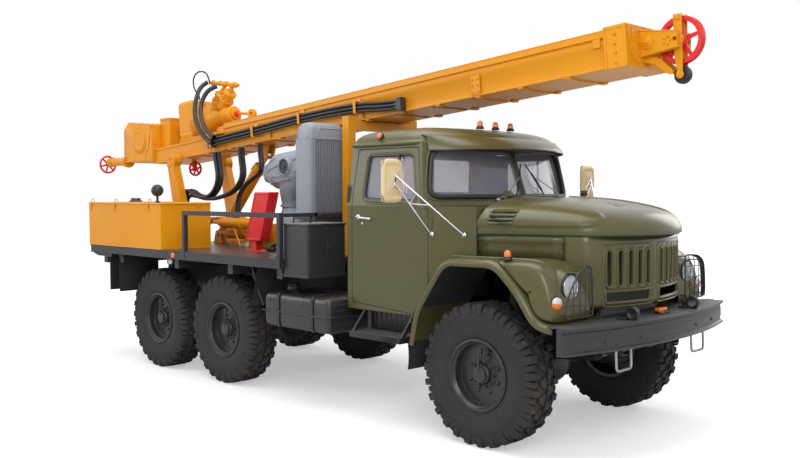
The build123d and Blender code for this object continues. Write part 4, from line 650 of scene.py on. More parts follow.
def rim(name, x, side):
    s = Shape(wheelPose(x, side))
    shell = [(0.250, -0.139), (0.277, -0.141), (0.277, -0.132), (0.264, -0.126), (0.258, -0.100),
             (0.246, -0.060),
             (0.246, 0.060), (0.258, 0.100), (0.264, 0.126), (0.277, 0.132), (0.277, 0.141),
             (0.268, 0.1415),
             (0.258, 0.134), (0.250, 0.118), (0.240, 0.110), (0.234, 0.060), (0.228, 0.048), (0.214, 0.044),
             (0.190, 0.040), (0.180, 0.038), (0.180, 0.030), (0.232, 0.030), (0.234, -0.060),
             (0.240, -0.110), (0.250, -0.139)]
    s.turned(shell, (0, 0, 0), (0, 0, 1), 64)
    s.ring((0, 0, 0.1395), (0, 0, 1), 0.262, 0.005, 64, 8)
    # dished disc, wheel nuts in seats, pressed pockets
    s.turned([(0.075, 0.040), (0.118, 0.040), (0.128, 0.030), (0.170, 0.026), (0.186, 0.034),
              (0.200, 0.044), (0.236, 0.050)], (0, 0, 0), (0, 0, 1), 64)
    for i in range(8):
        a = 2 * math.pi * (i + 0.5) / 8
        place = (0.142 * math.cos(a), 0.142 * math.sin(a), 0.028)
        s.turned([(0.024, 0), (0.024, 0.010), (0.017, 0.016), (0.012, 0.017), (0.012, 0.034),
                  (0.009, 0.037), (0, 0.037)], place, (0, 0, 1), 16)
        s.hexBolt((place[0], place[1], 0.044), (0, 0, 1), 0.0165, 0.018)
    hub = [(0, -0.05), (0.086, -0.05), (0.086, 0.044), (0.112, 0.044), (0.112, 0.056), (0.082, 0.060),
           (0.076, 0.084),
           (0.070, 0.092), (0.062, 0.096), (0.060, 0.112), (0.040, 0.1165), (0, 0.1175)]
    s.turned(hub, (0, 0, 0), (0, 0, 1), 40)
    s.boltRing((0, 0, 0.056), (0, 0, 1), 0.098, 10, 0.0105, 0.022)
    s.boltRing((0, 0, 0.094), (0, 0, 1), 0.066, 10, 0.0055, 0.007)
    # air feed arm from the hub to the valve
    arm = [(0.000, 0.022, 0.1165), (0.000, 0.075, 0.1165), (0.002, 0.140, 0.1155), (0.006, 0.190, 0.112)]
    s.tube(arm, 0.0095, 8)
    s.box((-0.017, -0.022, 0.112), (0.017, 0.055, 0.1178))
    s.box((-0.016, 0.135, 0.098), (0.024, 0.205, 0.1165))
    s.tube([(0.018, 0.150, 0.106), (0.060, 0.175, 0.100), (0.080, 0.190, 0.080), (0.086, 0.190, 0.045)],
           0.006, 6)
    s.piece("rim" + name, "wheel_" + name, "wheelBlackPaint", 0.0018, 32, 1, ("rim_" + name,))


for name, (x, side) in wheel["places"].items():
    tyre(name, x, side)
    rim(name, x, side)
print("wheels made")

# cab: roof, seals, visor, handles and what shows through the glass
def newMesh(name, source):
    data = bpy.data.meshes.new_from_object(source.evaluated_get(bpy.context.evaluated_depsgraph_get()))
    data.name = name
    return data


# cuts a shape out of a piece and leaves plain mesh
def carve(target, cutter):
    data = bpy.data.meshes.new("cutter")
    bmesh.ops.recalc_face_normals(cutter.mesh, faces=cutter.mesh.faces)
    cutter.mesh.to_mesh(data)
    cutter.mesh.free()
    tool = bpy.data.objects.new("cutter", data)
    bpy.context.scene.collection.objects.link(tool)
    cut = target.modifiers.new("cut", "BOOLEAN")
    cut.operation = "DIFFERENCE"
    cut.solver = "EXACT"
    cut.object = tool
    bpy.context.view_layer.update()
    target.data = newMesh(target.name, target)
    target.modifiers.clear()
    bpy.data.objects.remove(tool)


cab = {"rear": 1.50, "front": 2.90, "half": 1.0, "frontHalf": 0.935, "widest": 2.45, "sill": 0.93,
       "belt": 1.82,
       "gutter": 2.335, "top": 2.488, "screenFoot": 2.395, "screenTop": 2.33, "footBow": 0.295,
       "topBow": 0.17}


def cabSide(x, z):                      # half width of the outside at a place on the door side
    if z <= cab["belt"]:
        return cab["half"] if x <= cab["widest"] else cab["half"] - (x - cab["widest"]) / 0.45 * 0.065
    rise = (z - cab["belt"]) / (cab["gutter"] - cab["belt"])
    return cab["half"] - rise * (0.055 + 0.01 * (x - cab["rear"]) / 0.83)


def screenFace(y, z):                   # x of the bowed windscreen's outside
    rise = (z - cab["belt"]) / (cab["gutter"] - cab["belt"])
    edge = cab["screenFoot"] + (cab["screenTop"] - cab["screenFoot"]) * rise
    bow = cab["footBow"] + (cab["topBow"] - cab["footBow"]) * rise
    half = cab["half"] - 0.065 * rise
    radius = (half * half + bow * bow) / (2 * bow)
    return edge + bow - radius + math.sqrt(radius * radius - y * y)


def roofPlan(inset):
    side = [(cab["rear"], -0.972), (2.30, -0.952)]
    bow = [(2.33 + 0.262 * (1 - (y / 0.93) ** 2), y) for y in (-0.80, -0.55, -0.28, 0, 0.28, 0.55, 0.80)]
    plan = side + bow + [(2.30, 0.952), (cab["rear"], 0.972)]
    plan = softOutline(plan, [0.11, 0.12] + [0.08] * 7 + [0.12, 0.11], 5)
    centre = 2.02
    return [(centre + (x - centre) * (1 - inset / 0.53), y * (1 - inset / 0.95)) for x, y in plan]


def cabRoof():
    s = Shape()
    levels = [(0.030, 2.322), (-0.006, 2.322), (-0.014, 2.329), (-0.014, 2.342), (-0.004, 2.348),
              (0.004, 2.352),
              (0.010, 2.372), (0.026, 2.398), (0.055, 2.422), (0.10, 2.443), (0.17, 2.462), (0.27, 2.476),
              (0.38, 2.484), (0.46, 2.4875), (0.50, 2.488)]
    rings = [[(x, y, z) for x, y in roofPlan(inset)] for inset, z in levels]
    s.sheet([ring + [ring[0]] for ring in rings])
    s.mesh.verts.ensure_lookup_table()
    s.mesh.faces.new([s.mesh.verts[i] for i in range(len(s.mesh.verts) - len(rings[-1]) - 1,
                                                     len(s.mesh.verts) - 1)])
    s.piece("cabRoof", "rig", "oliveGreenPaint", 0, 60, stands=("cab_roof",))
    # visor over the windscreen, a curved lip that stands forward
    v = Shape()
    rows = []
    for k in range(29):
        y = -0.90 + 1.80 * k / 28
        reach = 0.150 * (1 - abs(y / 0.93) ** 7) + 0.016
        edge = screenFace(y, 2.33) if abs(y) < 0.93 else 2.35
        base = max(edge, 2.33 + 0.262 * (1 - (y / 0.93) ** 2)) - 0.02
        drop = 0.020 + 0.020 * (y / 0.9) ** 2
        rows.append([(base - 0.04, y, 2.402), (base + 0.02, y, 2.388),
                     (base + reach * 0.5, y, 2.366 - drop * 0.3),
                     (base + reach * 0.85, y, 2.342 - drop * 0.8), (base + reach, y, 2.318 - drop),
                     (base + reach * 0.985, y, 2.306 - drop), (base + reach * 0.90, y, 2.314 - drop),
                     (base + reach * 0.5, y, 2.338 - drop * 0.5), (base, y, 2.340),
                     (base - 0.04, y, 2.345)])
    v.sheet([row + [row[0]] for row in rows])
    v.piece("sunVisor", "rig", "oliveGreenPaint", 0, 50)


# rubber or sheet-metal bead along a line of points
def bead(name, body, finish, points, radius, closed=True, steps=8):
    s = Shape()
    s.tube(points, radius, steps, closed)
    return s.piece(name, body, finish, 0, 60)


def onSide(outline, side, out=0.0):
    return [(x, side * (cabSide(x, z) + out), z) for x, z in outline]


def windows():
    opening = softOutline([(1.70, 1.88), (2.31, 1.862), (2.24, 2.24), (1.73, 2.24)], 0.055, 5)
    for side, name in ((-1, "right"), (1, "left")):
        body = "door_" + name
        # pressed frame round the window, closed down onto the door skin
        s = Shape()
        rings = []
        for grow, out in ((1.0, -0.001), (0.80, 0.007), (0.45, 0.008), (0.2, 0.001), (0.0, -0.020),
                          (0.0, -0.045)):
            ring = [(a[0] * grow + b[0] * (1 - grow), a[1] * grow + b[1] * (1 - grow))
                    for a, b in zip(softOutline([(1.672, 1.852), (2.345, 1.832), (2.268, 2.268),
                                                 (1.702, 2.268)], 0.075, 6),
                                    softOutline([(1.70, 1.88), (2.31, 1.862), (2.24, 2.24), (1.73, 2.24)],
                                                0.055, 6))]
            rings.append(onSide(ring, side, out))
        s.sheet([ring + [ring[0]] for ring in rings])
        s.piece("windowFrame_" + name, body, "oliveGreenPaint", 0, 60)
        bead("windowSeal_" + name, body, "mouldedBlack", onSide(opening, side, -0.012), 0.010)
        bar = Shape()
        bar.box((2.085, -0.008, 1.872), (2.105, 0.008, 2.245),
                Matrix.Translation((0, side * (cabSide(2.1, 2.05) - 0.016), 0)))
        bar.piece("ventBar_" + name, body, "mouldedBlack", 0.003)
        # door seam shadow and lower pressed line
        seam = softOutline([(1.558, 0.99), (2.29, 0.944), (2.352, 1.04), (2.432, 1.09), (2.452, 1.13),
                            (2.452, 1.79),
                            (2.374, 1.85), (2.298, 2.297), (1.600, 2.297), (1.558, 1.85)],
                           [0.05, 0.04, 0.05, 0.05, 0.03, 0.05, 0.05, 0.06, 0.06, 0.03], 4)
        bead("doorSeam_" + name, "rig", "mouldedBlack", onSide(seam, side, -0.003), 0.0042, True, 6)
        # lever handle with its escutcheon
        h = Shape()
        h.turned([(0.0, 0), (0.024, 0), (0.022, 0.008), (0.013, 0.012), (0.012, 0.026), (0, 0.028)],
                 (1.640, side * 0.999, 1.722), (0, side, 0), 22)
        h.tube([(1.640, side * 1.026, 1.722), (1.665, side * 1.034, 1.722), (1.735, side * 1.036, 1.716),
                (1.800, side * 1.030, 1.710), (1.812, side * 1.024, 1.710)], 0.0085, 10)
        h.turned([(0, 0), (0.012, 0), (0.011, 0.006), (0, 0.007)], (1.690, side * 0.999, 1.668),
                 (0, side, 0), 16)
        h.piece("doorHandle_" + name, body, "polishedChrome", 0, 40)
        # grab rail and inner trim
        g = Shape()
        g.box((1.66, side * 0.868 - 0.01, 1.20), (2.30, side * 0.868 + 0.01, 1.80))
        g.box((1.80, side * 0.845 - 0.012, 1.52), (2.10, side * 0.845 + 0.012, 1.56))
        g.piece("doorTrim_" + name, body, "mouldedBlack", 0.008)
    # rear corner strap and gutter line of the rear wall
    for side in (-1, 1):
        s = Shape()
        s.box((1.497, side * 0.985 - 0.012, 1.86), (1.518, side * 0.985 + 0.012, 1.98))
        s.tube([(1.508, side * 0.995, 1.84), (1.508, side * 1.006, 1.86), (1.508, side * 1.004, 1.98),
                (1.508, side * 0.99, 2.0)], 0.008, 8)
        s.piece("rearHandle" + ("Left" if side > 0 else "Right"), "rig", "oliveGreenPaint", 0.003)


def screens():
    # two-part windscreen: rubber all round, centre bar, a ledge under it
    ring = softOutline([(-0.945, 1.893), (0.945, 1.893), (0.862, 2.296), (-0.862, 2.296)],
                       [0.10, 0.10, 0.13, 0.13], 7)
    dense = []
    for a, b in zip(ring, ring[1:] + ring[:1]):
        count = max(1, int(math.hypot(a[0] - b[0], a[1] - b[1]) / 0.05))
        dense += [(a[0] + (b[0] - a[0]) * i / count,
                   a[1] + (b[1] - a[1]) * i / count) for i in range(count)]
    bead("screenSeal", "rig", "mouldedBlack", [(screenFace(y, z) + 0.002, y, z) for y, z in dense], 0.021,
         True, 10)
    bead("screenTrim", "rig", "oliveGreenPaint",
         [(screenFace(y * 1.035, z) + 0.001, y * 1.032, z + (0.030 if z > 2.1 else -0.028)) for y,
          z in dense], 0.012, True, 8)
    s = Shape()
    rows = []
    for k in range(9):
        z = 1.893 + (2.296 - 1.893) * k / 8
        x = screenFace(0, z)
        rows.append([(x - 0.045, -0.016, z), (x + 0.004, -0.016, z), (x + 0.013, -0.009, z),
                     (x + 0.013, 0.009, z),
                     (x + 0.004, 0.016, z), (x - 0.045, 0.016, z)])
    s.sheet(rows)
    s.piece("screenBar", "rig", "mouldedBlack", 0, 50)
    for y, lean, name in ((-0.36, 0.50, "Right"), (0.62, -0.66, "Left")):
        w = Shape()
        foot = Vector((screenFace(y, 1.885) + 0.022, y, 1.868))
        tip = Vector((0, y + lean * 0.62, 2.055))
        tip.x = screenFace(tip.y, tip.z) + 0.030
        elbow = foot.lerp(tip, 0.45)
        elbow.x = screenFace(elbow.y, elbow.z) + 0.050
        w.turned([(0, -0.03), (0.019, -0.03), (0.019, 0.004), (0.013, 0.012), (0, 0.014)], foot,
                 (0.9, 0, 0.3), 16)
        w.tube([foot, foot.lerp(elbow, 0.5) + Vector((0.012, 0, 0)), elbow, tip], 0.0048, 8)
        w.piece("wiperArm" + name, "rig", "dullZinc")
        b = Shape()
        ends = []
        for t in (-0.5, -0.25, 0, 0.25, 0.5):
            p = Vector((0, tip.y + t * 0.36 * (0.55 if lean > 0 else -0.55), tip.z - 0.03 + t * 0.30))
            p.x = screenFace(p.y, p.z) + 0.016
            ends.append(p)
        b.tube(ends, 0.0062, 6)
        b.tube([p + Vector((0.010, 0, 0)) for p in ends[1:4]], 0.0045, 6)
        b.piece("wiperBlade" + name, "rig", "mouldedBlack")
    # rear windows: their rubber and the bar between
    rear = softOutline([(-0.632, 1.868), (0.632, 1.868), (0.632, 2.252), (-0.632, 2.252)], 0.06, 5)
    bead("rearSeal", "rig", "mouldedBlack", [(1.5 + 0.02 * (z - 1.82) / 0.515 - 0.002, y, z) for y,
                                             z in rear], 0.014)
    p = Shape()
    p.box((1.497, -0.045, 1.87), (1.565, 0.045, 2.25))
    p.piece("rearWindowPost", "rig", "oliveGreenPaint", 0.006)


def cabTrim():
    # three marker lamps on the roof and the round side markers
    for k, y in enumerate((-0.212, 0.0, 0.212)):
        marker("roofMarker%d" % k, (2.336, y, 2.476), (0.02, 0, 1))
    for side in (-1, 1):
        s = Shape()
        s.turned([(0, 0), (0.030, 0), (0.033, 0.012), (0.030, 0.022), (0.026, 0.024)],
                 (1.86, side * 0.935, 2.40), (0.05, side, 0.35), 22)
        s.piece("sideMarkerBase%d" % (side + 1), "rig", "mouldedBlack")
        s = Shape()
        s.turned([(0.026, 0.022), (0.024, 0.032), (0.014, 0.040), (0, 0.042)], (1.86, side * 0.935, 2.40),
                 (0.05, side, 0.35), 22)
        s.piece("sideMarkerLens%d" % (side + 1), "rig", "amberLens")
    # hinges of the doors, under small covers
    for side, name in ((-1, "right"), (1, "left")):
        s = Shape()
        for z in (1.20, 1.66):
            s.turned([(0, -0.030), (0.0135, -0.030), (0.0145, -0.026), (0.0145, 0.066), (0.0135, 0.070),
                      (0, 0.070)],
                     (2.45, side, z), (0, 0, 1), 18)
            s.box((2.452, side * 0.995 - 0.006, z - 0.022), (2.495, side * 0.995 + 0.003, z + 0.062))
        s.piece("hingeCover_" + name, "rig", "oliveGreenPaint", 0.002)
    # pressed line that runs round under the windows
    for side in (-1, 1):
        line = [(1.515, 1.838), (1.75, 1.838), (2.05, 1.836), (2.30, 1.832), (2.42, 1.80)]
        bead("beltLine%d" % (side + 1), "door_right" if side < 0 else "door_left", "oliveGreenPaint",
             [(x, side * (cabSide(x, min(z, 1.82)) - 0.004), z) for x, z in line[1:]], 0.009, False)


def marker(name, place, direction):
    s = Shape()
    s.turned([(0, 0), (0.034, 0), (0.036, 0.006), (0.031, 0.020), (0.027, 0.026), (0, 0.026)], place,
             direction, 24)
    s.piece(name + "Base", "rig", "mouldedBlack", 0.001)
    s = Shape()
    s.turned([(0.026, 0.024), (0.0265, 0.044), (0.024, 0.058), (0.016, 0.068), (0.006, 0.072), (0, 0.0725)],
             place, direction, 24)
    s.piece(name + "Lens", "rig", "amberLens")


def cabInside():
    # instrument panel, steering wheel and column
    s = Shape()
    face = [(2.63, 1.46), (2.845, 1.46), (2.845, 1.80), (2.565, 1.80), (2.545, 1.775), (2.548, 1.70)]
    s.prism(softOutline(face, 0.02, 3), -0.868, 0.868, "xz")
    s.piece("dashPanel", "rig", "mouldedBlack", 0.006)
    dials = Shape()
    for y, r in ((0.30, 0.035), (0.40, 0.055), (0.53, 0.055), (0.63, 0.035)):
        dials.ring((2.553, y, 1.735), (-1, 0, 0.2), r, 0.005, 28, 8)
        dials.turned([(0, 0), (r, 0), (r, 0.004)], (2.556, y, 1.735), (-1, 0, 0.2), 28)
    dials.piece("dashDials", "rig", "machinedSteel")
    tilt = math.radians(35)
    along = Vector((-math.cos(tilt), 0, math.sin(tilt)))
    hub = Vector((2.33, 0.46, 1.73))
    w = Shape()
    w.ring(hub, along, 0.225, 0.0135, 64, 12)
    w.turned([(0, -0.03), (0.040, -0.03), (0.046, -0.01), (0.046, 0.002), (0.034, 0.012), (0, 0.016)], hub,
             along, 28)
    seat = aimed(hub, along)
    for turn in (90, 210, 330):
        a = math.radians(turn)
        w.tube([seat @ Vector((r * math.cos(a), r * math.sin(a),
                               -0.004 - 0.016 * math.sin(r / 0.22 * math.pi))) for r in
                (0.03, 0.08, 0.13, 0.18, 0.222)], 0.010, 8)
    w.rod(hub - along * 0.02, hub - along * 0.36, 0.024, 20)
    w.piece("steeringWheel", "rig", "mouldedBlack", stands=("dashboard",))
    lever = Shape()
    lever.tube([(2.30, 0.02, 1.0), (2.32, 0.03, 1.2), (2.24, 0.04, 1.46), (2.235, 0.04, 1.52)], 0.010, 8)
    lever.turned([(0, 0), (0.018, 0.004), (0.024, 0.022), (0.018, 0.040), (0, 0.045)], (2.235, 0.04, 1.515),
                 (-0.1, 0, 1), 16)
    lever.piece("gearLever", "rig", "mouldedBlack")
    # head lining
    lining = Shape()
    plan = [(x, y) for x, y in roofPlan(0.075)]
    lining.prism(plan, 2.332, 2.343, "xy")
    lining.piece("headLining", "rig", "seatLeatherette", 0.002)


# seat: cushions as soft boxes that bulge between their seams
def softPad(name, low, high, crown, lean=0.0):
    s = Shape()
    cells = 22
    centre = [(a + b) / 2 for a, b in zip(low, high)]
    size = [(b - a) / 2 for a, b in zip(low, high)]

    def place(u, v, w):
        # superellipsoid: flat sides with round edges
        p = [u, v, w]
        norm = sum(abs(c) ** 5.0 for c in p) ** (1 / 5.0)
        p = [c / norm for c in p]
        channel = 0.012 * math.exp(-((abs(p[1]) % 0.34 - 0.17) / 0.035) ** 2) if w > 0.2 or u > 0.5 else 0
        x = centre[0] + p[0] * size[0]
        y = centre[1] + p[1] * size[1]
        z = centre[2] + p[2] * size[2] + crown * max(0,
                                                     p[2]) * (1 - p[0] ** 2) * (1 - p[1] ** 2) - channel * (
                                                             p[2] > 0)
        return (x - lean * (z - low[2]), y, z)

    for axis in range(3):
        for sign in (-1, 1):
            grid = []
            for i in range(cells + 1):
                row = []
                for j in range(cells * 3 + 1):
                    a, b = -1 + 2 * i / cells, -1 + 2 * j / (cells * 3)
                    p = [0, 0, 0]
                    p[axis] = sign
                    p[(axis + 1) % 3] = a
                    p[(axis + 2) % 3] = b
                    row.append(place(*p))
                grid.append(row)
            s.sheet(grid)
    made = s.piece(name, "rig", "seatLeatherette", 0, 80)
    return made


def seats():
    base = softPad("benchCushion", (1.70, -0.80, 1.28), (2.175, 0.80, 1.425), 0.012)
    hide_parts("bench_seat")
    softPad("benchBack", (1.625, -0.80, 1.40), (1.745, 0.80, 1.935), 0.0, 0.10)
    s = Shape()
    s.box((1.645, -0.79, 0.985), (2.14, 0.79, 1.285))
    s.piece("seatBox", "rig", "mouldedBlack", 0.012)


cabRoof()
windows()
screens()
cabTrim()
cabInside()
seats()
print("cab made")

# hood, nose, fenders, lamps and bumper
hoodForm = {"rear": 2.908, "base": 1.615, "spineEnd": 3.56, "halfRear": 0.930, "halfFront": 0.672,
            "corner": 3.727, "tip": 3.985}


# plan of the lower edge, s from 0 at the right rear to 1 at the left rear
def hoodEdge(s):
    side = 0.36
    if s > 0.5:
        x, y = hoodEdge(1 - s)
        return x, -y
    if s < side:
        t = s / side
        return hoodForm["rear"] + (3.66 - hoodForm["rear"]) * t, -(
                hoodForm["halfRear"] - (0.930 - 0.692) * t)
    t = (s - side) / (0.5 - side)
    a, b, c, d = Vector((3.66, -0.692)), Vector((3.80, -0.645)), Vector((3.985, -0.33)), Vector((3.985,
            0.0))
    p = a * (1 - t) ** 3 + b * 3 * t * (1 - t) ** 2 + c * 3 * t * t * (1 - t) + d * t ** 3
    return p.x, p.y


def hoodPoint(s, t):
    ex, ey = hoodEdge(s)
    spine = min(ex, hoodForm["spineEnd"])
    if ex > 3.30:
        spine = 3.30 + (hoodForm["spineEnd"] - 3.30) * math.sin(min(1, (ex - 3.30) / 0.68) * math.pi / 2)
    spineTop = 1.888 - 0.02 * ((spine - 2.908) / 0.3) ** 1.3 * 0.6 - max(0, spine - 3.25) ** 2 * 0.45
    front = max(0.0, min(1.0, (ex - 3.60) / 0.38))
    power = 2.9 - 0.55 * front
    angle = t * math.pi / 2
    inward, rise = 1 - max(0.0, math.cos(angle)) ** (2 / power), max(0.0, math.sin(angle)) ** (2 / power)
    x, y = ex + (spine - ex) * inward, ey * (1 - inward)
    z = hoodForm["base"] + (spineTop - hoodForm["base"]) * rise
    # raised side panels that end in a round nose
    terms = [math.exp(-26 * d) for d in (abs(y) - (0.30 + 0.19 * (x - 2.95) / 0.8), (z - 1.668) * 1.3,
                                         3.80 - x)]
    near = -math.log(sum(terms)) / 26
    lift = max(0.0, min(1.0, (near + 0.006) / 0.020))
    lift = lift * lift * (3 - 2 * lift) * 0.0145
    outward = Vector((ex - spine, ey, 0)) * (1 - rise) + Vector((0.06 * front, ey * 0.25, 1)) * rise
    outward.normalize()
    return (x + outward.x * lift, y + outward.y * lift, z + outward.z * lift)


def hood():
    s = Shape()
    across, along = 300, 72
    grid = []
    for i in range(along + 1):
        grid.append([hoodPoint(k / across, i / along) for k in range(across + 1)])
    lip = []
    for inset, z in ((0.020, 1.624), (0.020, 1.612), (0.010, 1.6095), (0.003, 1.611)):
        lip.append([(x - inset * (1 if x > 3.70 else 0), y * (1 - inset / 0.8), z) for x,
                    y in (hoodEdge(k / across) for k in range(across + 1))])
    s.sheet(lip + grid)
    s.piece("hoodShell", "hood", "oliveGreenPaint", 0, 65, stands=("hood",))
    # four louvres on each side near the cab
    for side in (-1, 1):
        v = Shape()
        for k in range(4):
            z = 1.690 + k * 0.030
            x0, x1 = 2.985, 3.185

            def at(x, z):
                sEdge = 0.36 * (x - 2.908) / (3.66 - 2.908)
                low, high = 0.0, 0.5
                for halving in range(22):
                    mid = (low + high) / 2
                    if hoodPoint(sEdge, mid)[2] < z:
                        low = mid
                    else:
                        high = mid
                return -side * hoodPoint(sEdge, low)[1]
            rows = []
            for x, bulge in ((x0, 0.1), (x0 + 0.008, 0.8), (x0 + 0.02, 1), (x1 - 0.02, 1),
                             (x1 - 0.008, 0.8), (x1, 0.1)):
                y0, y1 = at(x, z), at(x, z + 0.020)
                rows.append([(x, y0, z), (x, y0 + side * 0.014 * bulge, z + 0.001),
                             (x, y0 + side * 0.0165 * bulge, z + 0.006),
                             (x, (y0 + y1) / 2 + side * 0.012 * bulge, z + 0.014),
                             (x, y1 + side * 0.002 * bulge, z + 0.021), (x, y1 - side * 0.006, z + 0.022)])
            v.sheet(rows)
        v.piece("hoodLouvres" + ("Left" if side > 0 else "Right"), "hood", "oliveGreenPaint", 0, 60)
        d = Shape()
        for k in range(4):
            z = 1.690 + k * 0.030
            d.box((2.995, side * 0.922 - 0.008, z - 0.0035), (3.175, side * 0.922 + 0.004, z + 0.0025),
                  Matrix.Translation((0, side * (abs(hoodPoint(0.36 * 0.2, 0.12)[1]) - 0.915), 0)))
        d.piece("louvreShadow" + ("Left" if side > 0 else "Right"), "hood", "mouldedBlack")
    # rubber strip under the front of the hood
    r = Shape()
    line = [hoodEdge(k / 80) for k in range(81)]
    r.sheet([[(x - 0.016, y * 0.985, z) for x, y in line] for z in (1.600, 1.616)])
    r.piece("hoodSeal", "rig", "mouldedBlack")


noseForm = {"low": 1.075, "high": 1.604, "pitch": 0.101, "slotHalf": 0.022, "slotLow": 1.240,
            "slotHigh": 1.497}


def noseX(y):
    half, bow = 0.66, 0.153
    radius = (half * half + bow * bow) / (2 * bow)
    return 3.737 + bow - radius + math.sqrt(max(0, radius * radius - y * y))


def nose():
    s = Shape()
    plan = []
    for k in range(4):
        t = k / 4
        plan.append((3.56 + 0.11 * t, -(0.720 - 0.030 * t)))
    corner = [Vector((3.67, -0.690)), Vector((3.728, -0.674)), Vector((noseX(-0.62), -0.62))]
    for k in range(8):
        t = k / 8
        p = corner[0] * (1 - t) ** 2 + corner[1] * 2 * t * (1 - t) + corner[2] * t * t
        plan.append((p.x, p.y))
    for k in range(63):
        y = -0.62 + 1.24 * k / 62
        plan.append((noseX(y), y))
    for x, y in plan[:12][::-1]:
        plan.append((x, -y))
    levels = [(0.030, 1.606), (0.026, 1.602), (0.016, 1.590), (0.007, 1.574), (0.004, 1.562),
              (0.004, 1.553),
              (0.0, 1.545), (0.0, 1.40), (0.0, 1.25), (0.0, 1.12), (0.002, 1.105), (0.010, 1.090),
              (0.024, 1.076)]
    rows = []
    for inset, z in levels:
        rows.append([(x - inset * (0.4 if i < 10 or i > len(plan) - 11 else 1), y * (1 - inset * 0.5),
                      z) for i, (x, y) in enumerate(plan)])
    s.sheet(rows)
    panel = s.piece("nosePanel", "rig", "oliveGreenPaint", 0, 50, stands=("grille_panel",))
    thick = panel.modifiers.new("thick", "SOLIDIFY")
    thick.thickness = 0.022
    thick.offset = 1 if panel.data.polygons[60].normal.x < 0 else -1
    bpy.context.view_layer.update()
    panel.data = newMesh("nosePanel", panel)
    panel.modifiers.clear()
    cutter = Shape()
    frames = Shape()
    for side in (-1, 1):
        for i in range(5):
            y = side * (0.098 + i * noseForm["pitch"])
            h = noseForm["slotHalf"]
            slot = softOutline([(y - h, 1.240), (y + h, 1.240), (y + h, 1.497), (y - h, 1.497)], 0.021, 5)
            cutter.prism(slot, 3.60, 4.0, "yz")
            edge = softOutline([(y - h - 0.006, 1.232), (y + h + 0.006, 1.232), (y + h + 0.006, 1.505),
                                (y - h - 0.006, 1.505)], 0.027, 6)
            frames.tube([(noseX(py) - 0.001, py, pz) for py, pz in edge], 0.0085, 8, True)
            frames.tube([(noseX(y + dy) + 0.001, y + dy, 1.232 + dz) for dy, dz in
                         ((-0.026, 0.012), (-0.014, -0.001), (0, -0.004), (0.014, -0.001), (0.026, 0.012))],
                        0.0105, 8)
        low = softOutline([(side * 0.072, 1.125), (side * 0.526, 1.125), (side * 0.526, 1.190),
                           (side * 0.072, 1.190)], 0.012, 4)
        cutter.prism(low, 3.60, 4.0, "yz")
        edge = softOutline([(side * 0.062, 1.115), (side * 0.536, 1.115), (side * 0.536, 1.200),
                            (side * 0.062, 1.200)], 0.018, 5)
        dense = []
        for a, b in zip(edge, edge[1:] + edge[:1]):
            count = max(1, int(math.hypot(a[0] - b[0], a[1] - b[1]) / 0.03))
            dense += [(a[0] + (b[0] - a[0]) * q / count,
                       a[1] + (b[1] - a[1]) * q / count) for q in range(count)]
        frames.tube([(noseX(py) - 0.001, py, pz) for py, pz in dense], 0.0095, 8, True)
        # pressed outline of each half
        edge = softOutline([(side * 0.026, 1.088), (side * 0.565, 1.088), (side * 0.565, 1.542),
                            (side * 0.026, 1.542)], 0.045, 5)
        dense = []
        for a, b in zip(edge, edge[1:] + edge[:1]):
            count = max(1, int(math.hypot(a[0] - b[0], a[1] - b[1]) / 0.03))
            dense += [(a[0] + (b[0] - a[0]) * q / count,
                       a[1] + (b[1] - a[1]) * q / count) for q in range(count)]
        frames.tube([(noseX(py) - 0.0035, py, pz) for py, pz in dense], 0.0075, 8, True)
    carve(panel, cutter)
    for poly in panel.data.polygons:
        poly.use_smooth = True
    frames.piece("noseFrames", "rig", "oliveGreenPaint", 0, 70)
    # panels beside the hood, and their seam
    for side in (-1, 1):
        p = Shape()
        rows = []
        for z, out in ((1.604, -0.030), (1.600, -0.016), (1.592, -0.004), (1.575, 0.0), (1.560, -0.001),
                       (1.552, -0.006), (1.50, -0.006), (1.435, -0.006)):
            rows.append([(x, side * (0.926 - (x - 2.905) * (0.926 - 0.716) / 0.655 + out),
                          z) for x in (2.908, 3.1, 3.3, 3.45, 3.553)])
        p.sheet(rows)
        made = p.piece("hoodSide" + ("Left" if side > 0 else "Right"), "rig", "oliveGreenPaint", 0, 60)
        rib = made.modifiers.new("thick", "SOLIDIFY")
        rib.thickness = 0.006
        rib.offset = 0
        bead("noseSeam%d" % (side + 1), "rig", "mouldedBlack",
             [(3.557, side * 0.7205, z) for z in (1.435, 1.52, 1.560)] + [(3.557, side * 0.704, 1.603)],
             0.0035, False, 6)
        bead("cowlSeam%d" % (side + 1), "rig", "mouldedBlack",
             [(2.904, side * 0.9345, z) for z in (1.44, 1.55, 1.65)]
             + [(2.905, side * 0.925, 1.74), (2.906, side * 0.86, 1.81)], 0.004, False, 6)
    # radiator behind the slots: a core with fine tubes and a shroud
    c = Shape()
    c.box((3.60, -0.42, 1.0), (3.64, 0.42, 1.56))
    for k in range(28):
        y = -0.405 + k * 0.030
        c.box((3.64, y - 0.004, 1.01), (3.652, y + 0.004, 1.55))
    c.box((3.595, -0.45, 1.54), (3.665, 0.45, 1.585))
    c.box((3.595, -0.45, 1.0), (3.665, 0.45, 1.03))
    c.piece("radiatorCore", "rig", "mouldedBlack", 0.003)
    b = Shape()
    b.box((3.50, -0.68, 1.02), (3.515, 0.68, 1.60))
    b.piece("noseShroud", "rig", "mouldedBlack", 0.003)


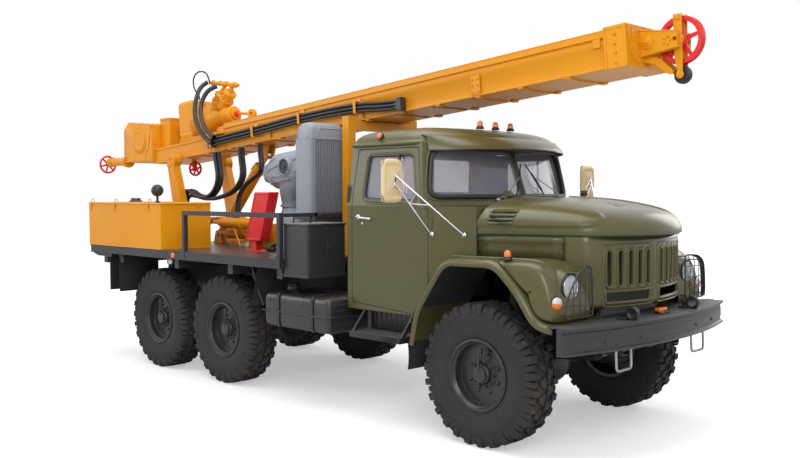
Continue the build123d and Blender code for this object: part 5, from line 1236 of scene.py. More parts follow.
def smoothPath(points, radius, steps=5):
    made = [tuple(points[0])]
    for i in range(1, len(points) - 1):
        here = Vector(points[i])
        back, ahead = Vector(points[i - 1]) - here, Vector(points[i + 1]) - here
        r = radius[i] if isinstance(radius, (list, tuple)) else radius
        a, b = here + back.normalized() * min(r, back.length / 2.05), here + ahead.normalized() * min(r,
                ahead.length / 2.05)
        made += [tuple(a * (1 - t) ** 2 + here * 2 * t * (1 - t) + b * t ** 2) for t in (
                k / steps for k in range(steps + 1))]
    made.append(tuple(points[-1]))
    return made


# sweeps a section of (inward, across) along a side-view path, inward being to the right of its heading
def sweepSide(s, path, section, side):
    rows = []
    for i, point in enumerate(path):
        here = Vector(point)
        before = Vector(path[max(0, i - 1)])
        after = Vector(path[min(len(path) - 1, i + 1)])
        heading = (after - before).normalized()
        inward = Vector((heading[1], -heading[0]))
        rows.append([(here.x + inward.x * n, side * y, here.y + inward.y * n) for n, y in section])
    s.sheet(rows)


def fender(side):
    word = "Left" if side > 0 else "Right"
    s = Shape()
    arch = smoothPath([(2.336, 0.728), (2.398, 1.004), (2.697, 1.432), (3.235, 1.440), (3.470, 1.215),
                       (3.596, 1.022), (3.742, 1.003)],
                      [0, 0.10, 0.12, 0.12, 0.10, 0.09, 0], 7)
    lip = [(0.004, 0.47), (0.0, 0.50), (0.0, 1.060), (0.003, 1.088), (0.012, 1.110), (0.026, 1.124),
           (0.040, 1.1295), (0.052, 1.128),
           (0.062, 1.122), (0.066, 1.112), (0.060, 1.106), (0.052, 1.112), (0.040, 1.116), (0.028, 1.110),
           (0.018, 1.095), (0.012, 1.07), (0.012, 0.47)]
    sweepSide(s, arch, lip, side)
    # front body with the lamp pod: stacked outlines, rounded towards the outer face
    front = [(3.225, 1.436), (3.42, 1.443), (3.53, 1.437), (3.605, 1.41), (3.66, 1.345), (3.70, 1.25),
             (3.732, 1.12), (3.744, 1.004),
             (3.60, 1.020), (3.535, 1.115), (3.470, 1.213), (3.36, 1.325)]
    middle = Vector((3.52, 1.22))
    rings = []
    for inset, y in ((0.080, 1.100), (0.050, 1.098), (0.030, 1.088), (0.016, 1.068), (0.006, 1.040),
                     (0.0, 1.0), (0.0, 0.86), (0.0, 0.70), (0.0, 0.66)):
        ring = []
        for k, (x, z) in enumerate(smoothPath(front + front[:1], 0.05, 3)[:-1]):
            away = (Vector((x, z)) - middle)
            outerPart = max(0.0, min(1.0, ((x - 3.30) + (z - 1.25)) / 0.22 + 0.3))
            here = Vector((x, z)) - away.normalized() * inset * outerPart
            ring.append((here.x, side * y, here.y))
        rings.append(ring)
    s.sheet([ring + [ring[0]] for ring in rings])
    s.mesh.verts.ensure_lookup_table()
    per = len(rings[0]) + 1
    total = len(s.mesh.verts)
    s.mesh.faces.new([s.mesh.verts[total - per * len(rings) + i] for i in range(per - 1)])
    # top skin between the lip and the hood side, with its two pressed ribs
    for y, r in ((0.985, 0.010), (0.955, 0.006)):
        ridge = smoothPath([(2.70, 1.434), (3.24, 1.441), (3.50, 1.440), (3.60, 1.405), (3.655, 1.34)],
                           0.06, 5)
        s.tube([(x, side * (y if x < 3.5 else y - (x - 3.5) * 0.12), z) for x, z in ridge], r, 6)
    # bolts at the foot and inner apron
    for z in (0.80, 0.90, 0.97):
        s.hexBolt((2.350 + (z - 0.73) * 0.18, side * 1.118, z), (0, side, 0), 0.006, 0.005)
    # lamp pod
    s.turned([(0.175, -0.16), (0.150, -0.075), (0.128, -0.010), (0.115, 0.022), (0.111, 0.034),
              (0.104, 0.036), (0.101, 0.020),
              (0.101, -0.05), (0, -0.05)], (3.668, side * 0.866, 1.252), (1, 0, 0), 44)
    s.turned([(0.075, -0.07), (0.064, -0.01), (0.060, 0.012), (0.055, 0.014), (0, 0.012)],
             (3.690, side * 1.030, 1.150), (0.96, side * 0.22, 0), 30)
    s.piece("fender" + word, "rig", "oliveGreenPaint", 0, 55, stands=("fenders",))
    # inner apron, black
    a = Shape()
    sweepSide(a, smoothPath([(2.40, 1.004), (2.69, 1.415), (3.22, 1.422), (3.45, 1.205), (3.585, 1.03)],
                            0.1, 4),
              [(0.016, 0.46), (0.016, 1.04)], side)
    a.piece("wheelApron" + word, "rig", "flapRubber")
    # mud flap on its strap
    m = Shape()
    rows = []
    for k in range(9):
        z = 0.735 - 0.22 * k / 8
        bow = 0.010 * math.sin(k / 8 * math.pi)
        rows.append([(2.348 - 0.0035 + bow, side * 0.862, z), (2.348 + bow, side * 0.862, z),
                     (2.352 + bow, side * 0.99, z),
                     (2.348 + bow, side * 1.118, z), (2.341 + bow, side * 1.118, z),
                     (2.345 + bow, side * 0.99, z)])
    m.sheet([row + [row[0]] for row in rows])
    m.piece("frontFlap" + word, "rig", "flapRubber", 0, 50)


def headlamps():
    for side in (-1, 1):
        word = "Left" if side > 0 else "Right"
        centre = Vector((3.668, side * 0.866, 1.252))
        s = Shape()
        s.turned([(0.104, 0.010), (0.106, 0.036), (0.102, 0.048), (0.094, 0.050), (0.090, 0.040),
                  (0.090, 0.0)], centre, (1, 0, 0), 44)
        s.piece("lampRim" + word, "rig", "mouldedBlack", stands=("lamps",))
        s = Shape()
        s.turned([(0.091, 0.044), (0.088, 0.049), (0.084, 0.046), (0.078, 0.020), (0.060, -0.012),
                  (0.030, -0.030), (0.012, -0.034), (0, -0.034)],
                 centre, (1, 0, 0), 44)
        s.turned([(0, -0.03), (0.012, -0.03), (0.013, 0.012), (0.008, 0.020), (0, 0.022)], centre,
                 (1, 0, 0), 18)
        s.piece("lampBowl" + word, "rig", "mirrorSilver")
        s = Shape()
        rows = []
        for k in range(15):
            r = 0.088 * k / 14
            rows.append([(r * math.cos(a), r * math.sin(a),
                          0.066 - 0.020 * (r / 0.088) ** 2 + (0.0012 if int(
                                  (r * math.cos(a) + 1) / 0.011) % 2 else 0))
                         for a in (2 * math.pi * q / 44 for q in range(45))])
        g = Shape(aimed(centre, (1, 0, 0)))
        g.sheet(rows)
        g.piece("lampLens" + word, "rig", "lampGlass", 0, 60)
        # indicator: white upper part, amber lower
        place, aim = Vector((3.690, side * 1.030, 1.150)), Vector((0.96, side * 0.22, 0)).normalized()
        s = Shape()
        s.turned([(0.056, 0.012), (0.056, 0.022), (0.050, 0.026), (0.047, 0.022)], place, aim, 30)
        s.piece("indicatorRim" + word, "rig", "mouldedBlack")
        dome = [(0.048, 0.020), (0.045, 0.034), (0.034, 0.045), (0.018, 0.051), (0, 0.053)]
        s = Shape()
        s.turned(dome, place, aim, 24, math.radians(-10 if side < 0 else 10), math.pi)
        s.piece("indicatorClear" + word, "rig", "lampGlassWhite")
        s = Shape()
        s.turned(dome, place, aim, 24, math.radians(170 if side < 0 else 190), math.pi)
        s.piece("indicatorAmber" + word, "rig", "amberLens")
        # wire guard
        s = Shape()
        frameLine = softOutline([(-1.035, 1.045), (-0.995, 1.215), (-0.93, 1.335), (-0.845, 1.400),
                                 (-0.700, 1.410), (-0.690, 1.045)],
                                [0.05, 0.06, 0.08, 0.07, 0.05, 0.04], 5)

        def front(y, z):
            return 3.775 + 0.03 * (1 - ((y + 0.86) / 0.2) ** 2) - 0.10 * max(0, -y - 0.93) - 0.22 * max(0,
                    z - 1.33)
        s.tube([(front(y, z), -side * y, z) for y, z in frameLine], 0.0065, 8, True)
        for y in (-0.955, -0.885, -0.815, -0.750):
            top = 1.400 if y > -0.85 else (1.375 if y > -0.9 else 1.300)
            s.tube([(front(y, z), -side * y, z) for z in [1.046 + (top - 1.046) * k / 8 for k in range(9)]],
                   0.0035, 6)
        for z in (1.135, 1.225, 1.315):
            left = -1.013 if z < 1.2 else (-0.990 if z < 1.3 else -0.940)
            s.tube([(front(y, z) + 0.004, -side * y,
                     z) for y in [left + (-0.694 - left) * k / 8 for k in range(9)]], 0.0035, 6)
        for y, z in ((-1.02, 1.07), (-0.70, 1.07), (-0.72, 1.395), (-0.90, 1.36)):
            s.tube([(front(y, z), -side * y, z), (front(y, z) - 0.05, -side * y, z),
                    (3.70, -side * y, z - 0.005)], 0.005, 6)
        s.piece("lampGuard" + word, "rig", "wheelBlackPaint")
        if side > 0:
            band = Shape()
            line = [(0.78, 1.408), (0.86, 1.400), (0.93, 1.360), (0.975, 1.28), (1.0, 1.19), (1.015, 1.09),
                    (0.985, 1.05)]
            rows = []
            for y, z in smoothPath(line, 0.04, 4):
                x = front(-y, z)
                rows.append([(x - 0.020, y, z), (x - 0.020, y + 0.004, z + 0.004),
                             (x + 0.022, y + 0.004, z + 0.004), (x + 0.022, y, z)])
            band.sheet([row + [row[0]] for row in rows])
            band.piece("guardBand", "rig", "flapRubber")
    for side in (-1, 1):
        marker("fenderMarker%d" % (side + 1), (3.30, side * 1.06, 1.438), (0, 0, 1))


def lampWhite():
    f = Finish("lampGlassWhite", Specular_IOR_Level=0.6)
    wave = f.node("ShaderNodeTexWave", {"bands_direction": "X"}, {"Vector": f.place(), "Scale": 50},
                  out="Fac")
    return f.give(Base_Color=f.blend(wave, (0.72, 0.73, 0.72), (0.52, 0.53, 0.53)),
                  Roughness=(0.14 + wave * 0.1).clamped(),
                  Coat_Weight=0.5, Normal=f.bump(wave, 0.3, 0.001))


finishes["lampGlassWhite"] = lampWhite()


def bumperX(y, out=0.0):
    half, bow = 1.19, 0.18
    radius = (half * half + bow * bow) / (2 * bow)
    return 3.88 + bow - radius + math.sqrt((radius + out) ** 2 - min(y * y, half * half))


def bumper():
    s = Shape()
    section = [(-0.060, 1.000), (-0.010, 1.0015), (-0.002, 0.999), (0.0, 0.990), (-0.002, 0.978),
               (-0.016, 0.970), (-0.025, 0.960),
               (-0.020, 0.930), (-0.019, 0.870), (-0.024, 0.848), (-0.020, 0.838), (-0.002, 0.830),
               (0.002, 0.820), (-0.004, 0.812), (-0.060, 0.812)]
    rows = []
    for k in range(49):
        y = -1.19 + 2.38 * k / 48
        rows.append([(bumperX(y, out), y, z) for out, z in section])
    s.sheet([row + [row[0]] for row in rows])
    for row in (0, len(rows) - 1):
        s.mesh.verts.ensure_lookup_table()
        first = row * (len(section) + 1)
        s.mesh.faces.new([s.mesh.verts[first + i] for i in range(len(section))])
    for y in (-0.80, -0.42, 0.42, 0.80):
        s.hexBolt((bumperX(y) - 0.020, y, 0.885), (1, 0, 0), 0.011, 0.012)
    for side in (-1, 1):
        s.box((3.84, side * 0.395 - 0.03, 0.822), (4.00, side * 0.395 + 0.03, 0.915))
    s.piece("bumperBar", "rig", "chassisBlackPaint", 0.0015, 40, stands=("front_bumper",))
    t = Shape()
    rows = []
    for k in range(49):
        y = -1.185 + 2.37 * k / 48
        tuck = 0.10 * max(0, (abs(y) - 1.05) / 0.135) ** 2.2
        rear = 3.70 + tuck * 0.4
        rows.append([(bumperX(y) - 0.012 - tuck, y, 1.0035), (bumperX(y) - 0.006 - tuck, y, 1.0005),
                     (rear, y, 0.998), (rear, y, 1.003)])
    t.sheet([row + [row[0]] for row in rows])
    t.piece("bumperTread", "rig", "raisedTreadPlate")
    h = Shape()
    for side in (-1, 1):
        c = Vector((3.970, side * 0.46, 1.052))
        h.ring(c, (0, 1, 0), 0.041, 0.0145, 40, 12, 1.15)
        h.box((3.86, side * 0.46 - 0.040, 1.003), (3.945, side * 0.46 + 0.040, 1.016))
        h.box((3.88, side * 0.46 - 0.012, 1.012), (3.935, side * 0.46 + 0.012, 1.055))
        for dx in (-0.095, -0.045):
            h.hexBolt((c.x + dx, c.y - 0.026, 1.016), (0, 0, 1), 0.009, 0.008)
            h.hexBolt((c.x + dx, c.y + 0.026, 1.016), (0, 0, 1), 0.009, 0.008)
    h.piece("towHooks", "rig", "wheelBlackPaint", 0.002)
    # latch in the amber lens finish, whose faint glow is painted light on a part that is no lamp
    o = Shape()
    o.box((3.925, -0.055, 1.030), (3.965, 0.055, 1.052))
    o.tube([(3.94, -0.04, 1.035), (3.955, -0.03, 1.018), (3.955, 0.03, 1.018), (3.94, 0.04, 1.035)], 0.006,
           8)
    o.piece("noseLatch", "rig", "amberLens", 0.004)
    l = Shape()
    l.box((3.90, -0.035, 1.002), (3.985, 0.035, 1.012))
    l.tube([(3.90, -0.02, 1.012), (3.92, -0.02, 1.03), (3.94, 0.0, 1.04), (3.96, 0.02, 1.03),
            (4.0, 0.03, 1.013)], 0.006, 8)
    l.piece("latchPlate", "rig", "wheelBlackPaint", 0.002)
    # step loop under the right part of the bumper
    for side in (-1, 1):
        u = Shape()
        y0, y1 = side * 0.66, side * 0.46
        line = smoothPath([(3.955, y0, 0.820), (3.962, y0, 0.655), (3.962, y1, 0.655), (3.955, y1, 0.820)],
                          0.035, 6)
        u.tube(line, 0.010, 10)
        u.piece("bumperStep" + ("Left" if side > 0 else "Right"), "rig", "dullZinc")


hood()
nose()
for side in (-1, 1):
    fender(side)
headlamps()
bumper()
print("front made")

# mirrors: pressed shells on two pairs of polished stays
def mirror(side):
    word = "Left" if side > 0 else "Right"
    centre = Vector((2.41, side * 1.35, 2.02))
    shell = Shape()
    cells = 36
    rows = []
    for i in range(cells + 1):
        row = []
        for j in range(cells + 1):
            u, v = -1 + 2 * i / cells, -1 + 2 * j / cells
            a, b = u * math.sqrt(1 - 0.42 * v ** 8), v * math.sqrt(1 - 0.42 * u ** 8)
            edge = max(abs(u), abs(v))
            high = 0.0215 if edge < 0.16 else 0.0215 - 0.016 * (edge - 0.16) / 0.60
            if edge > 0.76:
                high = 0.0125 - 0.003 * (edge - 0.76) / 0.14
            if edge > 0.90:
                high = 0.0095 - 0.024 * ((edge - 0.90) / 0.10) ** 2
            row.append((centre.x + high, centre.y + a * 0.109, centre.z + b * 0.169))
        rows.append(row)
    shell.sheet(rows)
    rim = softOutline([(-0.108, -0.168), (0.108, -0.168), (0.108, 0.168), (-0.108, 0.168)], 0.035, 6)
    shell.sheet([[(centre.x + x, centre.y + y * k, centre.z + z * k) for y, z in rim + rim[:1]] for x,
                 k in ((-0.014, 1), (-0.021, 0.985), (-0.0215, 0.95))])
    shell.piece("mirrorShell" + word, "rig", "mirrorCreamPaint", 0, 60, stands=("mirrors",))
    glass = Shape()
    glass.prism([(centre.y + y * 0.95, centre.z + z * 0.96) for y, z in rim], centre.x - 0.0205,
                centre.x - 0.016, "yz")
    glass.piece("mirrorGlass" + word, "rig", "mirrorSilver", 0.001)
    stays = Shape()
    clampTop, clampLow = centre + Vector((0.034, 0, 0.040)), centre + Vector((0.034, 0, -0.028))
    feet = [Vector((x, side * (1.0 - (x - 2.45) / 0.45 * 0.065 + 0.014), 1.60)) for x in (2.50, 2.80)]
    stays.tube([centre + Vector((0.014, 0, 0.052)), clampTop, feet[1] + Vector((0, side * 0.006, 0.004))],
               0.0062, 10)
    stays.tube([centre + Vector((0.014, 0, -0.040)), clampLow, feet[0] + Vector((0, side * 0.006, 0.004))],
               0.0062, 10)
    second = [clampTop.lerp(feet[0], 0.30), clampTop.lerp(feet[1], 0.56)]
    stays.tube([clampTop, second[0] + Vector((0, 0, 0.045)), second[0]], 0.005, 8)
    stays.tube([clampLow.lerp(feet[0], 0.38), clampTop.lerp(feet[1], 0.30)], 0.0045, 8)
    stays.tube([clampLow.lerp(feet[0], 0.38), clampTop.lerp(feet[1], 0.50)], 0.0045, 8)
    stays.box((centre.x + 0.018, centre.y - 0.011, centre.z - 0.050),
              (centre.x + 0.030, centre.y + 0.011, centre.z + 0.060))
    stays.ring(clampTop, (1, 0, 0), 0.010, 0.004, 20, 8)
    stays.ring(clampLow, (1, 0, 0), 0.010, 0.004, 20, 8)
    for foot in feet:
        stays.turned([(0, -0.008), (0.019, -0.008), (0.019, -0.003), (0.012, 0.001), (0.010, 0.010),
                      (0, 0.013)], foot, (0, side, 0), 20)
    stays.piece("mirrorStays" + word, "rig", "polishedChrome", 0, 50)
    bolts = Shape()
    for z in (-0.03, 0.005, 0.04):
        bolts.hexBolt(centre + Vector((0.030, 0, z)), (1, 0, 0), 0.006, 0.006)
    bolts.piece("mirrorBolts" + word, "rig", "mouldedBlack")


# steps under the doors, in black steel with a tread plate
def step(side):
    word = "Left" if side > 0 else "Right"
    low, out, inner = 0.716, 1.164, 0.926
    s = Shape()
    x0, x1 = 1.698, 2.296
    for y0, y1 in ((out - 0.026, out), (inner, inner + 0.02)):
        s.box((x0, min(side * y0, side * y1), low), (x1, max(side * y0, side * y1), 0.763))
    for x in (x0, x1 - 0.026):
        s.box((x, min(side * inner, side * out), low), (x + 0.026, max(side * inner, side * out), 0.763))
    s.box((x0 + 0.01, min(side * inner, side * out) + 0.01, 0.735),
          (x1 - 0.01, max(side * inner, side * out) - 0.01, 0.757))
    for x in (1.706, 2.276):
        s.prism([(side * (out - 0.004), 0.744), (side * (out - 0.030), 0.764), (side * (0.962), 0.975),
                 (side * 0.950, 0.945),
                 (side * (out - 0.05), 0.740)], x, x + 0.012, "yz")
        s.prism([(side * (out - 0.002), 0.742), (side * (out - 0.026), 0.742), (side * 0.950, 0.962),
                 (side * 0.965, 0.982)], x, x + 0.020, "yz")
    for x in (1.72, 2.25):
        s.box((x - 0.022, min(side * 0.928, side * 0.951), 0.755),
              (x + 0.022, max(side * 0.928, side * 0.951), 0.937))
    # ribbed panel behind the step
    rows = []
    for k in range(61):
        x = 1.70 + 0.60 * k / 60
        bulge = 0.006 if (k // 3) % 2 else 0
        rows.append([(x, side * (0.925 + bulge), 0.93), (x, side * (0.915 + bulge), 0.80),
                     (x, side * (0.90 + bulge), 0.71)])
    s.sheet(rows)
    s.piece("doorStep" + word, "rig", "wheelBlackPaint", 0.0015, 35)
    t = Shape()
    t.box((x0 + 0.004, min(side * (inner + 0.004), side * (out - 0.004)), 0.7605),
          (x1 - 0.004, max(side * (inner + 0.004), side * (out - 0.004)), 0.7645))
    t.piece("stepTread" + word, "rig", "raisedTreadPlate", 0.001)


# fuel tanks: pressed halves with ribs, filler, strap
def fuelTank(side):
    word = "Left" if side > 0 else "Right"
    x0, x1, y0, y1, z0, z1 = 0.541, 1.461, 0.56, 1.191, 0.699, 1.012
    s = Shape()
    plan = softOutline([(x0, side * y0), (x1, side * y0), (x1, side * y1), (x0, side * y1)], 0.055, 6)
    cx, cy = (x0 + x1) / 2, side * (y0 + y1) / 2
    rows = []
    for inset, z in ((0.30, z0), (0.045, z0), (0.020, z0 + 0.008), (0.006, z0 + 0.024), (0.0, z0 + 0.05),
                     (0.0, 0.835), (-0.006, 0.839),
                     (-0.006, 0.855), (0.0, 0.859), (0.0, z1 - 0.05), (0.006, z1 - 0.024),
                     (0.020, z1 - 0.008), (0.045, z1), (0.30, z1)):
        rows.append([(cx + (x - cx) * (1 - inset / 0.46), cy + (y - cy) * (1 - inset / 0.31), z) for x,
                     y in plan + plan[:1]])
    s.sheet(rows)
    # pressed ribs over the top edge and the outer face
    for x in (0.640, 0.690, 0.735, 1.120, 1.165, 1.215):
        line = [(x, side * 0.95, z1 + 0.001), (x, side * 1.12, z1 + 0.001), (x, side * 1.165, z1 - 0.012),
                (x, side * 1.188, z1 - 0.04), (x, side * 1.190, 0.93)]
        s.tube(smoothPath(line, 0.02, 3), 0.008, 8)
    for z in (0.74, 0.80, 0.90, 0.95):
        s.tube([(x1 - 0.004, side * 0.62, z), (x1 + 0.0, side * 0.70, z), (x1 + 0.0, side * 1.05, z),
                (x1 - 0.004, side * 1.13, z)], 0.007, 8)
    s.piece("fuelTank" + word, "rig", "wheelBlackPaint", 0, 50, stands=("fuel_tanks",))
    t = Shape()
    t.tube([(x0 - 0.02, side * 0.90, 0.847), (x0 - 0.02, side * 1.20, 0.847),
            (x0 + 0.0, side * 1.2035, 0.847), (x1 - 0.02, side * 1.2035, 0.847),
            (x1 + 0.010, side * 1.175, 0.847), (x1 + 0.012, side * 0.75, 0.847)], 0.0065, 8)
    for x in (0.76, 1.24):
        strap = [(0.55, 0.690), (1.12, 0.690), (1.178, 0.702), (1.200, 0.73), (1.2005, 0.985),
                 (1.175, 1.014), (1.12, 1.018), (0.55, 1.018)]
        t.sheet([[(x + dx, side * y, z) for y, z in strap] for dx in (-0.020, 0.020)])
        for y, z in ((0.75, 1.019), (0.92, 1.019)):
            t.hexBolt((x, side * y, z), (0, 0, 1), 0.008, 0.008)
    t.piece("tankStraps" + word, "rig", "mouldedBlack", 0, 40)
    c = Shape()
    foot = Vector((0.80, side * 1.02, 1.008))
    lean = Vector((0.12, side * 0.55, 1)).normalized()
    c.turned([(0, -0.01), (0.060, -0.01), (0.060, 0.012), (0.052, 0.016), (0.045, 0.045), (0.045, 0.058)],
             foot, lean, 30)
    c.piece("fillerNeck" + word, "rig", "wheelBlackPaint", 0, 40)
    c = Shape()
    knurl = []
    for k in range(40):
        r = 0.062 if k % 4 < 2 else 0.058
        a = 2 * math.pi * k / 40
        knurl.append((r * math.cos(a), r * math.sin(a)))
    cap = aimed(foot + lean * 0.056, lean)
    c.prism(knurl, 0.0, 0.022, "xy", cap)
    c.turned([(0.052, 0.022), (0.040, 0.034), (0, 0.036)], foot + lean * 0.056, lean, 30)
    c.prism([(-0.050, -0.009), (0.050, -0.009), (0.050, 0.009), (-0.050, 0.009)], 0.030, 0.044, "xy", cap)
    c.piece("fillerCap" + word, "rig", "mouldedBlack", 0.0015, 40)


def deckDetails():
    # planked floor skin, proud by its own thickness
    f = Shape()
    for x0, x1 in ((-0.77, 0.855), (-2.32, -0.78)):
        f.box((x0, -1.19, 1.3302), (x1, 1.19, 1.3322))
    f.piece("deckFloor", "rig", "deckRedBrown")
    s = Shape()
    for side in (-1, 1):
        y = side * 1.2505
        # side channel: lips, weld seams, joint plate
        for z0, z1 in ((1.244, 1.251), (1.322, 1.3305)):
            s.box((-2.78, min(y, y + side * 0.0045), z0), (0.86, max(y, y + side * 0.0045), z1))
        s.box((-0.79, min(y, y + side * 0.004), 1.246), (-0.755, max(y, y + side * 0.004), 1.328))
        for x in (-0.77, 0.815):
            s.box((x - 0.001, min(y, y + side * 0.003), 1.244), (x + 0.046, max(y, y + side * 0.003), 1.33))
        for x in (-0.748, 0.792):
            s.prism([(x, 1.332), (x + (0.05 if x < 0 else -0.05), 1.332), (x, 1.382)], side * 1.215,
                    side * 1.221, "xz")
        # rear end taper under the platform
        s.prism([(-2.78, 1.245), (-2.30, 1.245), (-2.30, 1.205), (-2.62, 1.205)], side * 1.20, side * 1.235,
                "xz")
        s.box((-2.66, min(side * 0.75, side * 1.14), 1.118), (-2.57, max(side * 0.75, side * 1.14), 1.19))
        s.box((-2.64, min(side * 0.80, side * 0.86), 1.18), (-2.59, max(side * 0.80, side * 0.86), 1.25))
        # flap holder, stays of the mudguards
        s.box((-2.185, min(side * 0.70, side * 1.20), 1.20), (-2.145, max(side * 0.70, side * 1.20), 1.246))
        for y2 in (0.74, 0.95, 1.16):
            s.hexBolt((-2.179, side * y2, 1.14), (-1, 0, 0), 0.008, 0.007)
        s.tube([(0.23, side * 1.10, 1.25), (0.30, side * 1.09, 1.03), (0.36, side * 1.06, 0.86)], 0.010, 8)
        s.tube([(0.20, side * 0.80, 1.25), (0.27, side * 0.79, 1.03), (0.33, side * 0.78, 0.86)], 0.010, 8)
    # rail from the handrail's front post inwards, over the cabinets
    for side in (-1, 1):
        s.box((0.822, min(side * 0.80, side * 1.206), 1.712),
              (0.854, max(side * 0.80, side * 1.206), 1.744))
        s.box((0.822, min(side * 0.80, side * 0.832), 1.334),
              (0.854, max(side * 0.80, side * 0.832), 1.744))
    s.piece("deckTrim", "rig", "chassisBlackPaint", 0.0015, 35)
    # ribbed rubber of the rear flaps
    r = Shape()
    for side in (-1, 1):
        rows = []
        for k in range(52):
            y = 0.70 + 0.50 * k / 51
            bulge = 0.003 * (k % 2)
            rows.append([(-2.182 - bulge, side * y, 1.238), (-2.182 - bulge, side * y, 0.815),
                         (-2.158, side * y, 0.812)])
        r.sheet(rows)
        rows = []
        for k in range(12):
            z = 1.24 - 0.39 * k / 11
            rows.append([(0.335 - 0.10 * (k / 11) + 0.04, side * 0.72, z),
                         (0.335 - 0.10 * (k / 11) + 0.04, side * 1.14, z)])
        r.sheet(rows)
    r.piece("rearFlaps", "rig", "flapRubber", 0, 50)
    # marker lamps and reflectors on the side; the amber reflectors glow faintly through their lens finish,
    # a painted reflection
    for side in (-1, 1):
        for name, x, z, r0, finish in (("sideReflector", -0.965, 1.285, 0.024, "amberLens"),
                                       ("tailMarkerRed", -1.13, 1.205, 0.022, "redLens"),
                                       ("tailMarkerClear", -1.10, 1.212, 0.026, "lampGlassWhite")):
            s = Shape()
            s.turned([(r0 * 1.15, 0), (r0 * 1.15, 0.006), (r0, 0.008), (r0 * 0.7, 0.016), (0, 0.018)],
                     (x + 0.02, side * (1.251 if z > 1.24 else 1.20), z), (0.25, side, 0), 22)
            s.piece(name + ("Left" if side > 0 else "Right"), "rig", finish)
        s = Shape()
        s.box((-1.15, min(side * 1.12, side * 1.195), 1.20), (-1.08, max(side * 1.12, side * 1.195), 1.243))
        s.piece("markerBracket" + ("Left" if side > 0 else "Right"), "rig", "chassisBlackPaint", 0.002)


def oilTank():
    s = Shape()
    x0, x1, y0, y1 = -2.81, -1.19, -1.25, -0.62
    body = softOutline([(x0, y0), (x1, y0), (x1, y1), (x0, y1)], 0.012, 4)
    s.sheet([[(x, y, z) for x, y in body + body[:1]] for z in (1.3305, 1.45, 1.60, 1.8155)])
    lid = softOutline([(x0 - 0.010, y0 - 0.008), (x1 + 0.010, y0 - 0.008), (x1 + 0.010, y1 + 0.008),
                       (x0 - 0.010, y1 + 0.008)], 0.016, 4)
    rows = [[(x, y, z) for x, y in lid + lid[:1]] for z in (1.815, 1.8155, 1.824)]
    for inset, z in ((0.002, 1.8275), (0.006, 1.830), (0.30, 1.830)):
        rows.append([((x + 2.0) * (1 - inset / 0.82) - 2.0, (y + 0.935) * (1 - inset / 0.32) - 0.935,
                      z) for x, y in lid + lid[:1]])
    s.sheet(rows)
    # floor flange and weld beads at the corners
    s.tube([(x0, y0, 1.334), (x1, y0, 1.334), (x1, y1, 1.334), (x0, y1, 1.334), (x0, y0, 1.334)], 0.004, 6)
    s.box((x0 + 0.70, y0 + 0.05, 1.829), (x0 + 1.20, y1 - 0.05, 1.836))
    s.piece("oilTankBody", "rig", "amberYellowPaint", 0.002, 40, stands=("oil_tank",))
    k = Shape()
    for x in (-2.735, -2.17, -1.43):
        k.ring((x, -1.235, 1.850), (1, 0.3, 0), 0.020, 0.0045, 24, 8)
        k.box((x - 0.014, -1.262, 1.775), (x + 0.014, -1.2575, 1.826))
        k.box((x - 0.010, -1.2555, 1.730), (x + 0.010, -1.2505, 1.790))
        k.hexBolt((x, -1.2555, 1.742), (0, -1, 0), 0.006, 0.005)
        k.hexBolt((x, -1.262, 1.79), (0, -1, 0), 0.006, 0.005)
    for y in (-1.10, -0.78):
        k.box((-1.185, y - 0.012, 1.775), (-1.1795, y + 0.012, 1.826))
    for x in (-2.55, -1.95, -1.38):
        k.tube([(x - 0.045, -0.607, 1.822), (x + 0.045, -0.607, 1.822)], 0.008, 10)
    k.piece("tankRings", "rig", "amberYellowPaint", 0.001)
    b = Shape()
    b.turned([(0, 0), (0.075, 0), (0.078, 0.008), (0.070, 0.018), (0.058, 0.022), (0.055, 0.034),
              (0.044, 0.042), (0, 0.044)], (-2.19, -0.98, 1.830), (0, 0, 1), 32)
    for k2 in range(6):
        a = k2 * math.pi / 3
        b.tube([(-2.19 + 0.02 * math.cos(a), -0.98 + 0.02 * math.sin(a), 1.874),
                (-2.19 + 0.055 * math.cos(a), -0.98 + 0.055 * math.sin(a), 1.866)], 0.007, 6)
    b.turned([(0, 0), (0.030, 0), (0.028, 0.012), (0.014, 0.018), (0.012, 0.06), (0.020, 0.075),
              (0.030, 0.080)], (-1.50, -1.10, 1.830), (0, 0, 1), 24)
    ball = [(0.066 * math.cos(math.radians(t)),
             0.132 + 0.066 * math.sin(math.radians(t))) for t in range(-64, 91, 11)]
    b.turned([(0.0, 0.066)] + ball + [(0, 0.198)], (-1.50, -1.10, 1.830), (0, 0, 1), 36)
    b.ring((-1.50, -1.10, 1.830 + 0.132), (0, 0, 1), 0.066, 0.004, 40, 8)
    b.piece("tankBreather", "rig", "mouldedBlack", 0, 45)


